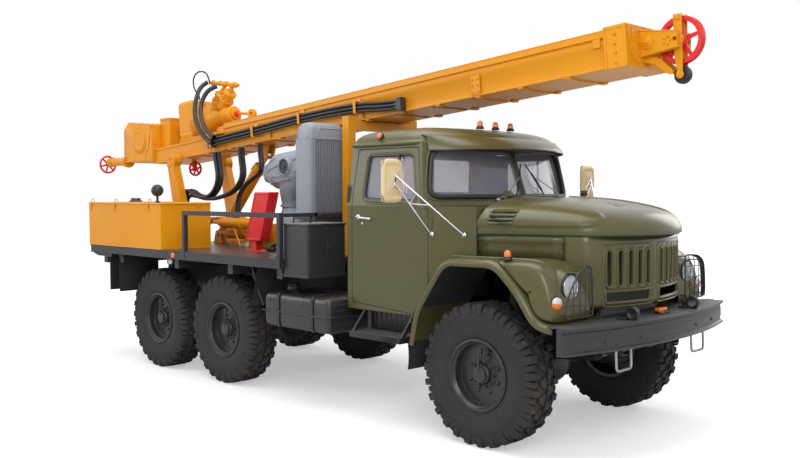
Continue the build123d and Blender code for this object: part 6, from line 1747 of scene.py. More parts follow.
def cabinets():
    for side in (-1, 1):
        word = "Left" if side > 0 else "Right"
        y0, y1 = side * 1.2005, side * 0.7595
        s = Shape()
        x0, x1 = 0.8595, 1.1955
        body = softOutline([(x0, y0), (x1, y0), (x1, y1), (x0, y1)], 0.006, 3)
        s.sheet([[(x, y, z) for x, y in body + body[:1]] for z in (1.195, 1.40, 1.640)])
        s.box((x0 - 0.006, min(y0, y1) - 0.008, 1.174), (x1 + 0.006, max(y0, y1) + 0.008, 1.198))
        s.box((x0 - 0.008, min(y0, y1) - 0.010, 1.638), (x1 + 0.008, max(y0, y1) + 0.010, 1.652))
        # pressed door on the outer face and on the front face
        z0, z1 = 1.215, 1.622
        s.prism(softOutline([(x0 + 0.020, z0), (x1 - 0.020, z0), (x1 - 0.020, z1), (x0 + 0.020, z1)], 0.008,
                            3),
                min(y0, y0 + side * 0.004), max(y0, y0 + side * 0.004), "xz")
        a, b = min(y0, y1) + 0.018, max(y0, y1) - 0.018
        s.prism(softOutline([(a, z0), (b, z0), (b, z1), (a, z1)], 0.008, 3), x1, x1 + 0.004, "yz")
        for z in (1.27, 1.56):
            s.tube([(x1 + 0.008, y0 - side * 0.016, z - 0.022), (x1 + 0.008, y0 - side * 0.016, z + 0.022)],
                   0.006, 8)
        s.piece("cabinetBody" + word, "rig", "chassisBlackPaint", 0.002, 35, stands=("cabinets",))
        # lid in the lightened black paint: painted sheen on the top
        t = Shape()
        t.box((x0 - 0.010, min(y0, y1) - 0.012, 1.652), (x1 + 0.010, max(y0, y1) + 0.012, 1.660))
        t.piece("cabinetLid" + word, "rig", "lidGreyPaintedSheen", 0.002)
        h = Shape()
        h.box((x1 + 0.004, y0 - side * 0.232 - 0.008, 1.36), (x1 + 0.014, y0 - side * 0.232 + 0.008, 1.64))
        h.ring((x1 + 0.012, y0 - side * 0.232, 1.45), (1, 0, 0), 0.017, 0.005, 24, 8)
        h.box((x1 + 0.004, y0 - side * 0.232 - 0.016, 1.40), (x1 + 0.010, y0 - side * 0.232 + 0.016, 1.50))
        h.tube([(x0 + 0.08, y0 - side * 0.05, 1.662), (x0 + 0.08, y0 - side * 0.05, 1.705),
                (x1 - 0.02, y0 - side * 0.05, 1.705), (x1 - 0.02, y0 - side * 0.05, 1.662)], 0.008, 8)
        h.piece("cabinetLatch" + word, "rig", "mouldedBlack", 0.001)


def console():
    s = Shape()
    side = [(-1.3505, 1.331), (-0.9495, 1.331), (-0.9495, 2.0005), (-1.1505, 2.0005), (-1.3505, 1.8505)]
    s.prism(softOutline(side, [0.004, 0.004, 0.03, 0.03, 0.02], 4), 0.6995, 1.1505, "xz")
    s.prism(softOutline([(-1.325, 1.36), (-0.975, 1.36), (-0.975, 1.80), (-1.325, 1.80)], 0.01, 3), 1.1505,
            1.155, "xz")
    s.piece("consoleBody", "rig", "amberYellowPaint", 0.003, 40, stands=("control_console",))
    face = Matrix.Translation((-1.25, 0.925, 1.926)) @ Matrix.Rotation(math.atan2(0.15, 0.2), 4,
            "Y").inverted()
    p = Shape(face)
    p.box((-0.105, -0.20, 0.0), (0.105, 0.20, 0.006))
    p.piece("consoleFace", "rig", "mouldedBlack", 0.002)
    g = Shape(face)
    for k in range(4):
        y = -0.15 + 0.10 * k
        g.turned([(0, 0.006), (0.036, 0.006), (0.036, 0.020), (0.033, 0.023), (0.031, 0.018), (0, 0.018)],
                 (0.05, y, 0), (0, 0, 1), 28)
    g.piece("consoleGauges", "rig", "polishedChrome", 0, 40)
    d = Shape(face)
    for k in range(4):
        d.turned([(0, 0.0185), (0.030, 0.0185), (0.030, 0.0195), (0, 0.0195)], (0.05, -0.15 + 0.10 * k, 0),
                 (0, 0, 1), 24)
    d.piece("gaugeDials", "rig", "lampGlassWhite")
    v = Shape(face)
    for k in range(6):
        y = -0.165 + 0.066 * k
        v.tube([(-0.05, y, 0.004), (-0.052, y, 0.045)], 0.006, 8)
        v.turned([(0, 0), (0.010, 0.003), (0.012, 0.012), (0.008, 0.022), (0, 0.024)], (-0.052, y, 0.042),
                 (0, 0, 1), 14)
    v.piece("consoleLevers", "rig", "mouldedBlack")


for side in (-1, 1):
    mirror(side)
    step(side)
    fuelTank(side)
deckDetails()
oilTank()
cabinets()
console()
for polygon in cadNode["cab_floor"].data.polygons:      # the steps' supports are black
    if polygon.center.z < 0.925 and abs(polygon.center.y) > 0.90:
        polygon.material_index = 1
print("sides made")

# cooler, casting, neck and dome of the machine beside the mast
machineForm = {"sections": ((-0.362, 2.140, 0.075, 0.075), (-0.358, 2.140, 0.105, 0.105),
                            (-0.338, 2.140, 0.108, 0.108), (-0.334, 2.140, 0.098, 0.098),
                            (-0.26, 2.146, 0.138, 0.132), (-0.16, 2.155, 0.184, 0.174),
                            (0.00, 2.168, 0.188, 0.178), (0.14, 2.180, 0.188, 0.168),
                            (0.30, 2.195, 0.185, 0.152), (0.38, 2.250, 0.190, 0.156),
                            (0.45, 2.300, 0.190, 0.166), (0.51, 2.330, 0.190, 0.176)),
               "neck": ((0.070, 2.08, 0.200, 0.160), (0.050, 2.00, 0.180, 0.146),
                        (0.000, 1.92, 0.130, 0.118), (-0.028, 1.855, 0.096, 0.094),
                        (-0.012, 1.79, 0.094, 0.094), (0.010, 1.775, 0.112, 0.110),
                        (0.050, 1.760, 0.135, 0.135), (0.085, 1.735, 0.162, 0.160),
                        (0.098, 1.70, 0.180, 0.174), (0.10, 1.64, 0.190, 0.184), (0.10, 1.50, 0.193, 0.188),
                        (0.10, 1.3305, 0.195, 0.190))}


def lobe(angle, power):
    c, s = math.cos(angle), math.sin(angle)
    return (math.copysign(abs(c) ** (2 / power), c), math.copysign(abs(s) ** (2 / power), s))


def compressor():
    turns = [2 * math.pi * k / 40 for k in range(41)]
    s = Shape()
    s.sheet([[(x, -0.41 + lobe(t, 2.9)[0] * wide, z + lobe(t, 2.9)[1] * high) for t in turns] for x, z,
             high, wide in machineForm["sections"]])
    s.sheet([[(x + lobe(t, 2.5)[0] * hx, -0.41 + lobe(t, 2.5)[1] * hy, z) for t in turns] for x, z, hx,
             hy in machineForm["neck"]])
    s.turned([(0, -0.004), (0.078, -0.004), (0.078, 0.002), (0.03, 0.004), (0, 0.004)],
             (-0.360, -0.41, 2.14), (-1, 0, 0), 28)

    def skin(x, z):
        near = sorted(machineForm["sections"], key=lambda row: abs(row[0] - x))[:2]
        (xa, za, ha, wa), (xb, zb, hb, wb) = sorted(near)
        t = (x - xa) / (xb - xa) if xb != xa else 0
        mid, high, wide = za + (zb - za) * t, ha + (hb - ha) * t, wa + (wb - wa) * t
        up = min(0.98, abs((z - mid) / high))
        return -0.41 - wide * (1 - up ** 2.9) ** (1 / 2.9)

    for x0, z0, x1, z1 in ((-0.32, 2.10, 0.36, 2.10), (-0.30, 2.09, 0.20, 2.00), (-0.24, 2.14, 0.04, 2.00),
                           (-0.02, 2.00, 0.30, 2.15),
                           (-0.12, 2.02, -0.22, 2.22), (0.12, 2.01, 0.16, 2.12), (0.26, 2.03, 0.34, 2.20),
                           (-0.32, 2.17, -0.10, 2.29),
                           (0.20, 2.26, 0.44, 2.34), (0.20, 2.14, 0.40, 2.19), (-0.30, 2.13, 0.00, 2.22),
                           (-0.20, 2.02, 0.24, 2.09)):
        line = []
        for k in range(9):
            x, z = x0 + (x1 - x0) * k / 8, z0 + (z1 - z0) * k / 8
            line.append((x, skin(x, z) - 0.003, z))
        s.tube(line, 0.0075, 6)
    s.turned([(0.092, -0.05), (0.092, 0.006), (0.086, 0.014), (0.078, 0.014), (0.078, -0.05)],
             (0.089, -0.588, 2.195), (0, -1, 0), 36)
    s.boltRing((0.089, -0.600, 2.195), (0, -1, 0), 0.085, 8, 0.006, 0.005)
    for x, z, r0 in ((0.405, 2.405, 0.040), (0.375, 2.335, 0.034)):
        s.turned([(0, 0.026), (r0 * 0.7, 0.026), (r0, 0.012), (r0, -0.05), (0, -0.05)], (x, -0.560, z),
                 (0, -1, 0), 26)
        s.hexBolt((x, -0.585, z), (0, -1, 0), 0.012, 0.010)
    s.turned([(0.10, -0.012), (0.122, -0.012), (0.122, 0.006), (0.10, 0.006)], (-0.012, -0.41, 1.800),
             (0, 0, 1), 36)
    s.boltRing((-0.012, -0.41, 1.806), (0, 0, 1), 0.112, 10, 0.007, 0.007)
    s.boltRing((-0.356, -0.41, 2.14), (-1, 0, 0), 0.088, 8, 0.008, 0.008)
    s.ring((0.498, -0.41, 2.30), (1, 0, 0), 0.185, 0.016, 44, 8, squeeze=1.0)
    for k in range(5):
        a = math.radians(-60 + 30 * k)
        s.tube([(0.10 + 0.19 * math.sin(a), -0.41 - 0.19 * math.cos(a), 1.36),
                (0.10 + 0.188 * math.sin(a), -0.41 - 0.188 * math.cos(a), 1.60),
                (0.09 + 0.15 * math.sin(a), -0.41 - 0.155 * math.cos(a), 1.74)], 0.008, 6)
    s.piece("machineCasting", "rig", "roughCastGrey", 0, 50, stands=("compressor",))
    b = Shape()
    b.turned([(0, 0.001), (0.0775, 0.001), (0.0775, -0.02), (0, -0.02)], (0.089, -0.588, 2.195), (0, -1, 0),
             36)
    b.turned([(0, 0.0), (0.024, 0.0), (0.020, 0.008), (0, 0.010)], (0.089, -0.588, 2.195), (0, -1, 0), 18)
    b.box((0.482, -0.62, 1.68), (0.50, -0.35, 2.10))
    b.box((0.478, -0.795, 1.690), (0.738, -0.33, 1.722))
    b.box((0.485, -0.60, 1.335), (0.73, -0.33, 1.70))
    for y in (-0.76, -0.36):
        b.tube([(0.735, y, 1.704), (0.742, y, 1.704)], 0.012, 10)
    for k in range(7):
        b.tube([(0.62, -0.60 + 0.04 * k, 1.72), (0.735, -0.60 + 0.04 * k, 1.722)], 0.006, 6)
    b.tube(smoothPath([(0.46, -0.62, 2.24), (0.455, -0.66, 2.0), (0.45, -0.66, 1.85), (0.47, -0.69, 1.76),
                       (0.49, -0.74, 1.71)], 0.05, 6), 0.011, 10)
    b.piece("machineBlackParts", "rig", "mouldedBlack", 0.001, 45)

    c = Shape()
    plan = softOutline([(0.50, -0.332), (0.50, -0.788), (0.735, -0.788), (0.735, -0.712), (0.698, -0.702),
                        (0.698, -0.332)],
                       [0.015, 0.045, 0.055, 0.008, 0.004, 0.004], 8)
    c.sheet([[(x, y, z) for x, y in plan + plan[:1]] for z in (1.722, 1.735, 2.20, 2.446)])
    fins = 14
    dark = Shape()
    dark.box((0.694, -0.702, 1.745), (0.700, -0.334, 2.444))
    dark.piece("finShade", "rig", "flapRubber", 0.001)
    for k in range(fins):
        y = -0.694 + k * 0.3585 / (fins - 1)
        c.prism([(0.690, 1.750), (0.720, 1.735), (0.735, 1.755), (0.735, 2.446), (0.690, 2.446)],
                y - 0.0045, y + 0.0045, "xz")
    top = softOutline([(0.500, -0.332), (0.500, -0.790), (0.737, -0.790), (0.737, -0.332)],
                      [0.02, 0.07, 0.07, 0.02], 8)
    rows = []
    for inset, z in ((0.0, 2.440), (0.0, 2.4535), (0.006, 2.457), (0.008, 2.50), (0.012, 2.535),
                     (0.022, 2.565), (0.040, 2.588), (0.062, 2.600),
                     (0.085, 2.605), (0.112, 2.605)):
        rows.append([(0.6185 + (x - 0.6185) * (1 - inset / 0.1185),
                      -0.561 + (y + 0.561) * (1 - inset / 0.229), z) for x, y in top + top[:1]])
    c.sheet(rows)
    c.tube([(0.731, -0.700, 2.462), (0.729, -0.690, 2.500), (0.722, -0.650, 2.545), (0.722, -0.40, 2.545),
            (0.729, -0.365, 2.500), (0.731, -0.355, 2.462)], 0.0065, 8)
    c.tube([(0.560, -0.785, 2.462), (0.575, -0.778, 2.52), (0.60, -0.765, 2.552), (0.66, -0.762, 2.555),
            (0.69, -0.770, 2.52), (0.70, -0.778, 2.462)], 0.0055, 8)
    for k in range(10):
        c.hexBolt((0.7365, -0.69 + k * 0.037, 2.4475), (1, 0, 0), 0.0055, 0.0045)
    for k in range(4):
        c.hexBolt((0.54 + 0.05 * k, -0.789, 2.4475), (0, -1, 0), 0.0055, 0.0045)
    c.piece("coolerShell", "rig", "castingGreyPaint", 0, 40)


def beltGuard():
    outline = [(-0.385, 1.440), (-0.125, 1.440), (0.040, 1.940), (-0.210, 1.940)]
    middle = (sum(x for x, z in outline) / 4, sum(z for x, z in outline) / 4)

    def ring(inset, y):
        soft = softOutline(outline, 0.010, 4)
        return [(middle[0] + (x - middle[0]) * (1 - inset / 0.12), y,
                 middle[1] + (z - middle[1]) * (1 - inset / 0.25)) for x, z in soft + soft[:1]]

    s = Shape()
    s.sheet([ring(0.0, -0.620), ring(0.0, -0.7385), ring(0.003, -0.7405), ring(0.016, -0.7405),
             ring(0.022, -0.733), ring(0.119, -0.733)])
    s.sheet([ring(0.119, -0.620), ring(0.0, -0.620)])
    s.prism([(-0.123, 1.46), (-0.114, 1.46), (0.041, 1.92), (0.032, 1.92)], -0.722, -0.638, "xz")
    for x, z in ((-0.357, 1.456), (-0.145, 1.456), (0.012, 1.924), (-0.190, 1.924), (-0.284, 1.69),
                 (-0.060, 1.69)):
        s.hexBolt((x, -0.7405, z), (0, -1, 0), 0.006, 0.005)
    s.box((-0.32, -0.720, 1.3305), (-0.22, -0.640, 1.445))
    s.prism([(-0.40, 1.331), (-0.14, 1.331), (-0.16, 1.345), (-0.38, 1.345)], -0.73, -0.63, "xz")
    s.piece("beltGuardShell", "rig", "signalRedPaint", 0.002, 40, stands=("belt_guard",))


def mudPump():
    s = Shape()
    s.turned([(0, -0.17), (0.018, -0.17), (0.022, -0.10), (0.050, -0.02), (0.060, 0.01), (0.060, 0.38),
              (0.072, 0.385), (0.072, 0.425), (0.060, 0.43),
              (0.060, 0.80), (0.074, 0.805), (0.074, 0.845), (0, 0.845)], (-1.50, -0.26, 1.590), (1, 0, 0),
             30)
    s.turned([(0, 0.0), (0.055, 0.0), (0.062, 0.02), (0.062, 0.48), (0.075, 0.485), (0.075, 0.52),
              (0, 0.52)], (-1.62, -0.10, 1.46), (1, 0, 0), 30)
    s.box((-1.10, -0.18, 1.3305), (-0.66, 0.38, 1.46))
    s.prism(softOutline([(-0.66, 1.331), (-0.20, 1.331), (-0.20, 1.44), (-0.26, 1.52), (-0.60, 1.52),
                         (-0.66, 1.46)], 0.02, 4), -0.18, 0.38, "xz")
    s.box((-0.95, -0.26, 1.40), (-0.70, 0.06, 1.585))
    for k in range(3):
        s.turned([(0.052, 0), (0.052, 0.045), (0.062, 0.048), (0.062, 0.062), (0.048, 0.068), (0.02, 0.082),
                  (0, 0.083)], (-0.82, -0.20 + 0.105 * k, 1.50), (0, 0, 1), 24)
        s.turned([(0.050, 0), (0.050, 0.04), (0.060, 0.044), (0.060, 0.058), (0, 0.062)],
                 (-0.70, -0.19 + 0.10 * k, 1.48), (1, 0, 0), 22)
    s.boltRing((-0.43, 0.10, 1.518), (0, 0, 1), 0.13, 10, 0.009, 0.008)
    s.turned([(0.15, 0), (0.15, 0.008), (0, 0.010)], (-0.43, 0.10, 1.518), (0, 0, 1), 32)
    s.boltRing((-1.505 + 0.42, -0.26, 1.59), (1, 0, 0), 0.062, 6, 0.006, 0.010)
    for x in (-1.02, -0.30):
        for y in (-0.14, 0.34):
            s.hexBolt((x, y, 1.46 if x < -0.9 else 1.52), (0, 0, 1), 0.012, 0.010)
    s.tube([(-1.09, -0.30, 1.335), (-1.25, -0.28, 1.545)], 0.011, 8)
    s.tube([(-1.20, -0.25, 1.53), (-0.96, -0.24, 1.40)], 0.009, 8)
    s.tube(smoothPath([(-1.62, -0.10, 1.46), (-1.75, -0.10, 1.46), (-1.80, -0.05, 1.42),
                       (-1.80, 0.0, 1.335)], 0.05, 6), 0.030, 14)
    s.piece("mudPumpBody", "rig", "amberYellowPaint", 0.003, 40, stands=("mud_pump",))
    b = Shape()
    b.tube([(-1.655, -0.26, 1.59), (-1.75, -0.26, 1.59)], 0.017, 12)
    b.turned([(0, 0), (0.030, 0), (0.030, 0.05), (0, 0.05)], (-1.75, -0.26, 1.59), (-1, 0, 0), 16)
    b.tube(smoothPath([(-0.45, -0.22, 1.39), (-0.40, -0.42, 1.36), (-0.20, -0.60, 1.35),
                       (0.02, -0.66, 1.36)], 0.1, 6), 0.022, 12)
    b.piece("pumpRod", "rig", "mouldedBlack", 0.001)


def liftCylinder():
    foot, head = Vector((-1.90, 0, 1.44)), Vector((-0.98, 0, 2.37))
    way = (head - foot).normalized()
    s = Shape()
    s.turned([(0, 0.055), (0.045, 0.055), (0.060, 0.075), (0.066, 0.085), (0.066, 1.030), (0.078, 1.034),
              (0.078, 1.075), (0.072, 1.080),
              (0.072, 1.120), (0.062, 1.136), (0.036, 1.138)], foot, way, 36)
    eye = [(0.040, -0.031), (0.060, -0.031), (0.064, -0.026), (0.064, 0.026), (0.060, 0.031),
           (0.040, 0.031)]
    s.turned(eye + eye[:1], foot, (0, 1, 0), 30)
    s.prism([(0.0, -0.030), (0.08, -0.040), (0.08, 0.040), (0.0, 0.030)], -0.026, 0.026, "xz",
            aimedSide(foot, way))
    side = Vector((way.z, 0, -way.x))
    for along in (0.13, 1.00):
        s.turned([(0, 0), (0.020, 0), (0.020, 0.010), (0.014, 0.012), (0.014, 0.022), (0, 0.022)],
                 foot + way * along - side * 0.063, -side, 18)
    s.tube([foot + way * 0.13 - side * 0.083, foot + way * 0.19 - side * 0.083,
            foot + way * 0.94 - side * 0.083, foot + way * 1.00 - side * 0.083], 0.008, 10)
    s.boltRing(foot + way * 1.120, way, 0.054, 8, 0.008, 0.009)
    s.piece("liftBarrelBody", "lift_barrel", "amberYellowPaint", 0, 40, stands=("lift_barrel",))


def aimedSide(place, way):
    turn = Matrix(((way.x, 0, -way.z), (0, 1, 0), (way.z, 0, way.x))).to_4x4()
    return Matrix.Translation(place) @ turn


def mastStand():
    s = Shape()
    for side in (-1, 1):
        y0, y1 = side * 0.327, side * 0.417
        s.turned([(0, 0), (0.030, 0), (0.030, 0.010), (0.060, 0.010), (0.066, 0.004), (0.080, 0.002),
                  (0.080, -0.006), (0, -0.006)], (-2.35, y1, 2.33), (0, side, 0), 34)
        s.boltRing((-2.35, y1, 2.33), (0, side, 0), 0.070, 8, 0.007, 0.007)
        # folded edges of the leg and gussets at its foot
        for (xa, za), (xb, zb) in (((-2.416, 2.262), (-2.197, 1.335)), ((-2.292, 2.262), (-1.957, 1.335))):
            s.tube([(xa, y1 + side * 0.001, za), (xb, y1 + side * 0.001, zb)], 0.0045, 6)
        s.box((-2.235, min(y0, y1) - 0.02, 1.3305), (-1.915, max(y0, y1) + 0.02, 1.344))
        for x in (-2.215, -1.935):
            for y in (min(y0, y1) - 0.010, max(y0, y1) + 0.010):
                s.hexBolt((x, y, 1.344), (0, 0, 1), 0.010, 0.009)
        s.prism([(-1.95, 1.344), (-1.87, 1.344), (-1.985, 1.46)], side * 0.368, side * 0.378, "xz")
        s.prism([(-2.20, 1.344), (-2.26, 1.344), (-2.235, 1.44)], side * 0.368, side * 0.378, "xz")
        # plate that carries the pivot, wider than the leg
        s.prism(softOutline([(-2.44, 2.25), (-2.27, 2.25), (-2.262, 2.33), (-2.30, 2.40), (-2.40, 2.40),
                             (-2.436, 2.33)], 0.02, 4),
                min(y1, y1 + side * 0.004), max(y1, y1 + side * 0.004), "xz")
    for z in (1.575, 1.625):
        s.tube([(-2.065, -0.325, z), (-2.065, 0.325, z)], 0.006, 6)
    # stack of the spool valve with its ports
    for k in range(4):
        y = -0.320 + 0.025 * k
        s.box((-2.362, y, 1.738), (-2.238, y + 0.020, 1.803))
        s.turned([(0, 0), (0.010, 0), (0.010, 0.012), (0, 0.012)], (-2.33, y + 0.010, 1.803), (0, 0, 1), 12)
        s.turned([(0, 0), (0.010, 0), (0.010, 0.012), (0, 0.012)], (-2.27, y + 0.010, 1.803), (0, 0, 1), 12)
    s.piece("standTrim", "rig", "amberYellowPaint", 0.0015, 40)
    # posts, hooks and saddle that hold the lowered mast
    g = Shape()
    for side in (-1, 1):
        y0, y1 = sorted((side * 0.38, side * 0.47))
        g.box((0.832, y0 - 0.008, 1.3305), (0.938, y1 + 0.008, 1.344))
        for x in (0.8385, 0.927):
            g.box((x, y0 - 0.001, 1.344), (x + 0.0045, y1 + 0.001, 2.655))
        g.box((0.838, y0 - 0.002, 2.640), (0.932, y1 + 0.002, 2.662))
        g.prism([(0.935, 1.345), (1.00, 1.345), (0.935, 1.47)], side * 0.420, side * 0.430, "xz")
        g.tube([(0.933, side * 0.425, 2.14), (0.945, side * 0.425, 2.14)], 0.020, 14)
    g.box((0.838, -0.30, 2.612), (0.932, 0.30, 2.6225))
    g.piece("restTrim", "rig", "amberYellowPaint", 0.0015, 40)
    h = Shape()
    h.tube(smoothPath([(0.950, -0.43, 2.02), (0.950, -0.43, 2.07), (1.02, -0.46, 2.20), (1.16, -0.52, 2.32),
                       (1.19, -0.53, 2.30)], 0.03, 5), 0.0075, 8)
    h.ring((0.950, -0.43, 2.00), (0.2, 1, 0), 0.022, 0.006, 24, 8)
    h.piece("restHook", "rig", "dullZinc", 0)


def liftBracketPins():
    s = Shape()
    x, z = -1.90, 1.44
    s.turned([(0, -0.064), (0.030, -0.064), (0.030, 0.064), (0, 0.064)], (x, 0, z), (0, 1, 0), 22)
    for side in (-1, 1):
        s.hexBolt((x, side * 0.058, z), (0, side, 0), 0.024, 0.012)
    s.piece("liftFootPin", "rig", "dullZinc", 0.001)


compressor()
beltGuard()
mudPump()
liftCylinder()
mastStand()
liftBracketPins()
print("machines made")

# mast: strips and grooves of the long rails, clamps and the hoses' port blocks
def mastRails():
    s = Shape(mastPose)
    for side in (-1, 1):
        low = [(0.279, 0.2155), (0.279, 0.190), (0.268, 0.184), (0.268, 0.046), (0.2795, 0.040),
               (0.2795, 0.0265), (0.205, 0.0265), (0.205, 0.2155)]
        high = [(0.279, 0.3155), (0.279, 0.266), (0.262, 0.262), (0.262, 0.248), (0.276, 0.244),
                (0.276, 0.196)] + low[2:7] + [(0.205, 0.3155)]
        s.prism([(side * y, h) for y, h in low], -0.612, 0.95, "yz")
        s.prism([(side * y, h) for y, h in high], 0.943, 6.001, "yz")
        s.prism([(0.783, 0.20), (0.950, 0.20), (0.950, 0.3155), (0.943, 0.3155), (0.783, 0.2155)],
                min(side * 0.205, side * 0.279), max(side * 0.205, side * 0.279), "xz")
    s.piece("mastRailBody", "mast", "amberYellowPaint", 0.002, 35, stands=("mast_rails",))


def mastTrim():
    s = Shape(mastPose)
    for side in (-1, 1):
        y = side * 0.2802
        s.box((5.90, min(y, side * 0.289), 0.196), (5.965, max(y, side * 0.289), 0.262))
        s.box((0.95, min(side * 0.205, side * 0.213), 0.316),
              (5.99, max(side * 0.205, side * 0.213), 0.3225))
        s.box((0.95, min(side * 0.272, side * 0.2805), 0.314),
              (5.99, max(side * 0.272, side * 0.2805), 0.3225))
        # feet of the rail, welded plates at the joints
        for a in (1.78, 3.25, 4.72):
            s.box((a - 0.05, min(y, side * 0.2845), 0.040), (a + 0.05, max(y, side * 0.2845), 0.205))
            for h in (0.065, 0.12, 0.175):
                for shift in (-0.03, 0.03):
                    s.hexBolt((a + shift, side * 0.2845, h), (0, side, 0), 0.009, 0.007)
        for k in range(13):
            a = 0.10 + 0.46 * k
            s.prism([(a, 0.012), (a + 0.05, 0.012), (a + 0.05, 0.027), (a, 0.027)],
                    min(side * 0.21, side * 0.278), max(side * 0.21, side * 0.278), "xz")
    for k in range(12):
        a = 0.30 + 0.48 * k
        s.box((a, -0.206, 0.0145), (a + 0.055, 0.206, 0.0265))
    for side in (-1, 1):
        for k in range(8):
            a = -0.52 + 0.17 * k
            s.hexBolt((a, side * 0.243, 0.2165), (0, 0, 1), 0.010, 0.008)
    # pivot cheeks with bearing caps
    for side in (-1, 1):
        y = side * 0.321
        s.turned([(0, 0.004), (0.040, 0.004), (0.048, 0.0), (0.078, 0.0), (0.078, -0.01), (0, -0.01)],
                 (0, y, 0), (0, side, 0), 32)
        s.boltRing((0, y, 0), (0, side, 0), 0.064, 6, 0.007, 0.004)
    s.piece("mastTrim", "mast", "amberYellowPaint", 0.0012, 40)
    # clamps that hold the strapped hoses
    c = Shape(mastPose)
    for x, z in ((-1.605, 2.519), (-0.787, 2.606), (0.019, 2.703), (0.88, 2.757)):
        reach = x - mastFoot[0]
        above = z - mastFoot[1] - math.tan(mastSlope) * reach
        a = reach / math.cos(mastSlope) + above * math.sin(mastSlope)
        h = above * math.cos(mastSlope)
        c.box((a - 0.016, -0.350, h + 0.050), (a + 0.016, -0.280, h + 0.057))
        c.box((a - 0.016, -0.350, h - 0.061), (a + 0.016, -0.280, h - 0.054))
        c.box((a - 0.016, -0.3545, h - 0.061), (a + 0.016, -0.348, h + 0.057))
        c.box((a - 0.028, -0.292, h + 0.045), (a + 0.028, -0.280, h + 0.085))
        c.hexBolt((a, -0.354, h), (0, -1, 0), 0.009, 0.006)
    c.piece("hoseClamps", "mast", "amberYellowPaint", 0.001)
    # ferrules and port blocks that the strapped hoses end in
    port = {"half": 0.026, "face": -0.352, "back": -0.280, "high": 0.060, "bolt": 0.045}
    e = Shape(mastPose)
    toMast = mastPose.inverted()
    ends = [(line[0], line[4]) for name, line in hoseLines.items() if name.startswith("mastHose")]
    ends += [(line[-1], line[-5]) for name, line in hoseLines.items() if name.startswith("mastHose")]
    for tip, inner in ends:
        way = (inner - tip).normalized()
        e.rod(toMast @ (tip - way * 0.012), toMast @ (tip + way * 0.060), 0.0205, 14)
    for first, last in ((0, 5), (5, 10)):
        tips = [toMast @ tip for tip, inner in ends[first:last]]
        middle = sum(tips, Vector()) / 5
        e.box((middle.x - port["half"], port["face"], middle.z - port["high"]),
              (middle.x + port["half"], port["back"], middle.z + port["high"]))
        for rise in (-port["bolt"], port["bolt"]):
            e.hexBolt((middle.x, port["face"], middle.z + rise), (0, -1, 0), 0.007, 0.004)
    e.piece("hosePorts", "mast", "chassisBlackPaint", 0.0015)


# crown: plates, arm, block, sheave, roller
def crown():
    s = Shape(mastPose)
    a0, a1 = 6.001, 6.193
    for side in (-1, 1):
        y = side * 0.295
        s.box((a0, min(y, side * 0.2985), 0.02), (a0 + 0.020, max(y, side * 0.2985), 0.334))
        s.box((a1 - 0.022, min(y, side * 0.2985), 0.02), (a1, max(y, side * 0.2985), 0.334))
        s.box((a0 + 0.02, min(y, side * 0.2975), 0.310), (a1 - 0.02, max(y, side * 0.2975), 0.334))
        for h in (0.06, 0.13, 0.20, 0.27):
            s.hexBolt((a0 + 0.095, side * 0.2955, h), (0, side, 0), 0.010, 0.007)
    for y in (-0.27, -0.21, 0.21, 0.27):
        s.box((a1, y - 0.006, 0.03), (a1 + 0.006, y + 0.006, 0.325))
    s.turned([(0, 0), (0.115, 0), (0.115, 0.005), (0.055, 0.006), (0.055, 0.010), (0, 0.010)],
             (a1, -0.135, 0.16), (1, 0, 0), 40)
    s.boltRing((a1 + 0.004, -0.135, 0.16), (1, 0, 0), 0.095, 10, 0.008, 0.006)
    s.turned([(0.0, 0), (0.08, 0), (0.08, 0.006), (0, 0.006)], ((a0 + a1) / 2, 0.0, 0.336), (0, 0, 1), 32)
    s.boltRing(((a0 + a1) / 2, 0.0, 0.341), (0, 0, 1), 0.066, 8, 0.007, 0.006)
    s.piece("headTrim", "mast", "amberYellowPaint", 0.0015, 40)
    p = Shape()
    for side in (-1, 1):
        y0, y1 = side * 0.0495, side * 0.053
        p.turned([(0.0, 0.0), (0.046, 0.0), (0.046, 0.010), (0.034, 0.014), (0.034, 0.020), (0, 0.020)],
                 (4.09, y0, 3.05), (0, side, 0), 30)
        p.boltRing((4.09, y0 + side * 0.008, 3.05), (0, side, 0), 0.040, 5, 0.006, 0.006)
        p.turned([(0.0, 0.0), (0.030, 0.0), (0.030, 0.008), (0.016, 0.012), (0, 0.012)], (4.107, y0, 2.793),
                 (0, side, 0), 24)
        p.hexBolt((4.082, y0, 3.212), (0, side, 0), 0.016, 0.012)
        p.prism([(4.052, 3.225), (4.058, 3.225), (4.068, 2.94), (4.062, 2.94)], min(y0, y1), max(y0, y1),
                "xz")
        # boss and folded edge of the arm
        y2 = side * 0.111
        p.turned([(0, 0), (0.048, 0), (0.048, 0.008), (0.030, 0.012), (0.030, 0.018), (0, 0.018)],
                 (3.872, y2, 3.045), (0, side, 0), 30)
        p.hexBolt((3.872, y2 + side * 0.016, 3.045), (0, side, 0), 0.014, 0.010)
        p.tube([(3.802, y2, 3.142), (4.108, y2, 3.108)], 0.0045, 6)
        p.tube([(3.802, y2, 2.942), (4.108, y2, 2.992)], 0.0045, 6)
        for k in range(5):
            angle = 2 * math.pi * k / 5
            p.hexBolt((4.03 + 0.028 * math.cos(angle), y2, 3.045 + 0.028 * math.sin(angle)), (0, side, 0),
                      0.007, 0.007)
        p.prism(softOutline([(3.80, 2.91), (3.90, 2.885), (4.02, 2.80), (4.06, 2.80), (4.045, 2.84),
                             (3.94, 2.935), (3.80, 2.965)], 0.02, 4),
                min(side * 0.052, side * 0.066), max(side * 0.052, side * 0.066), "xz")
    p.piece("crownTrim", "mast", "amberYellowPaint", 0.0015, 40)


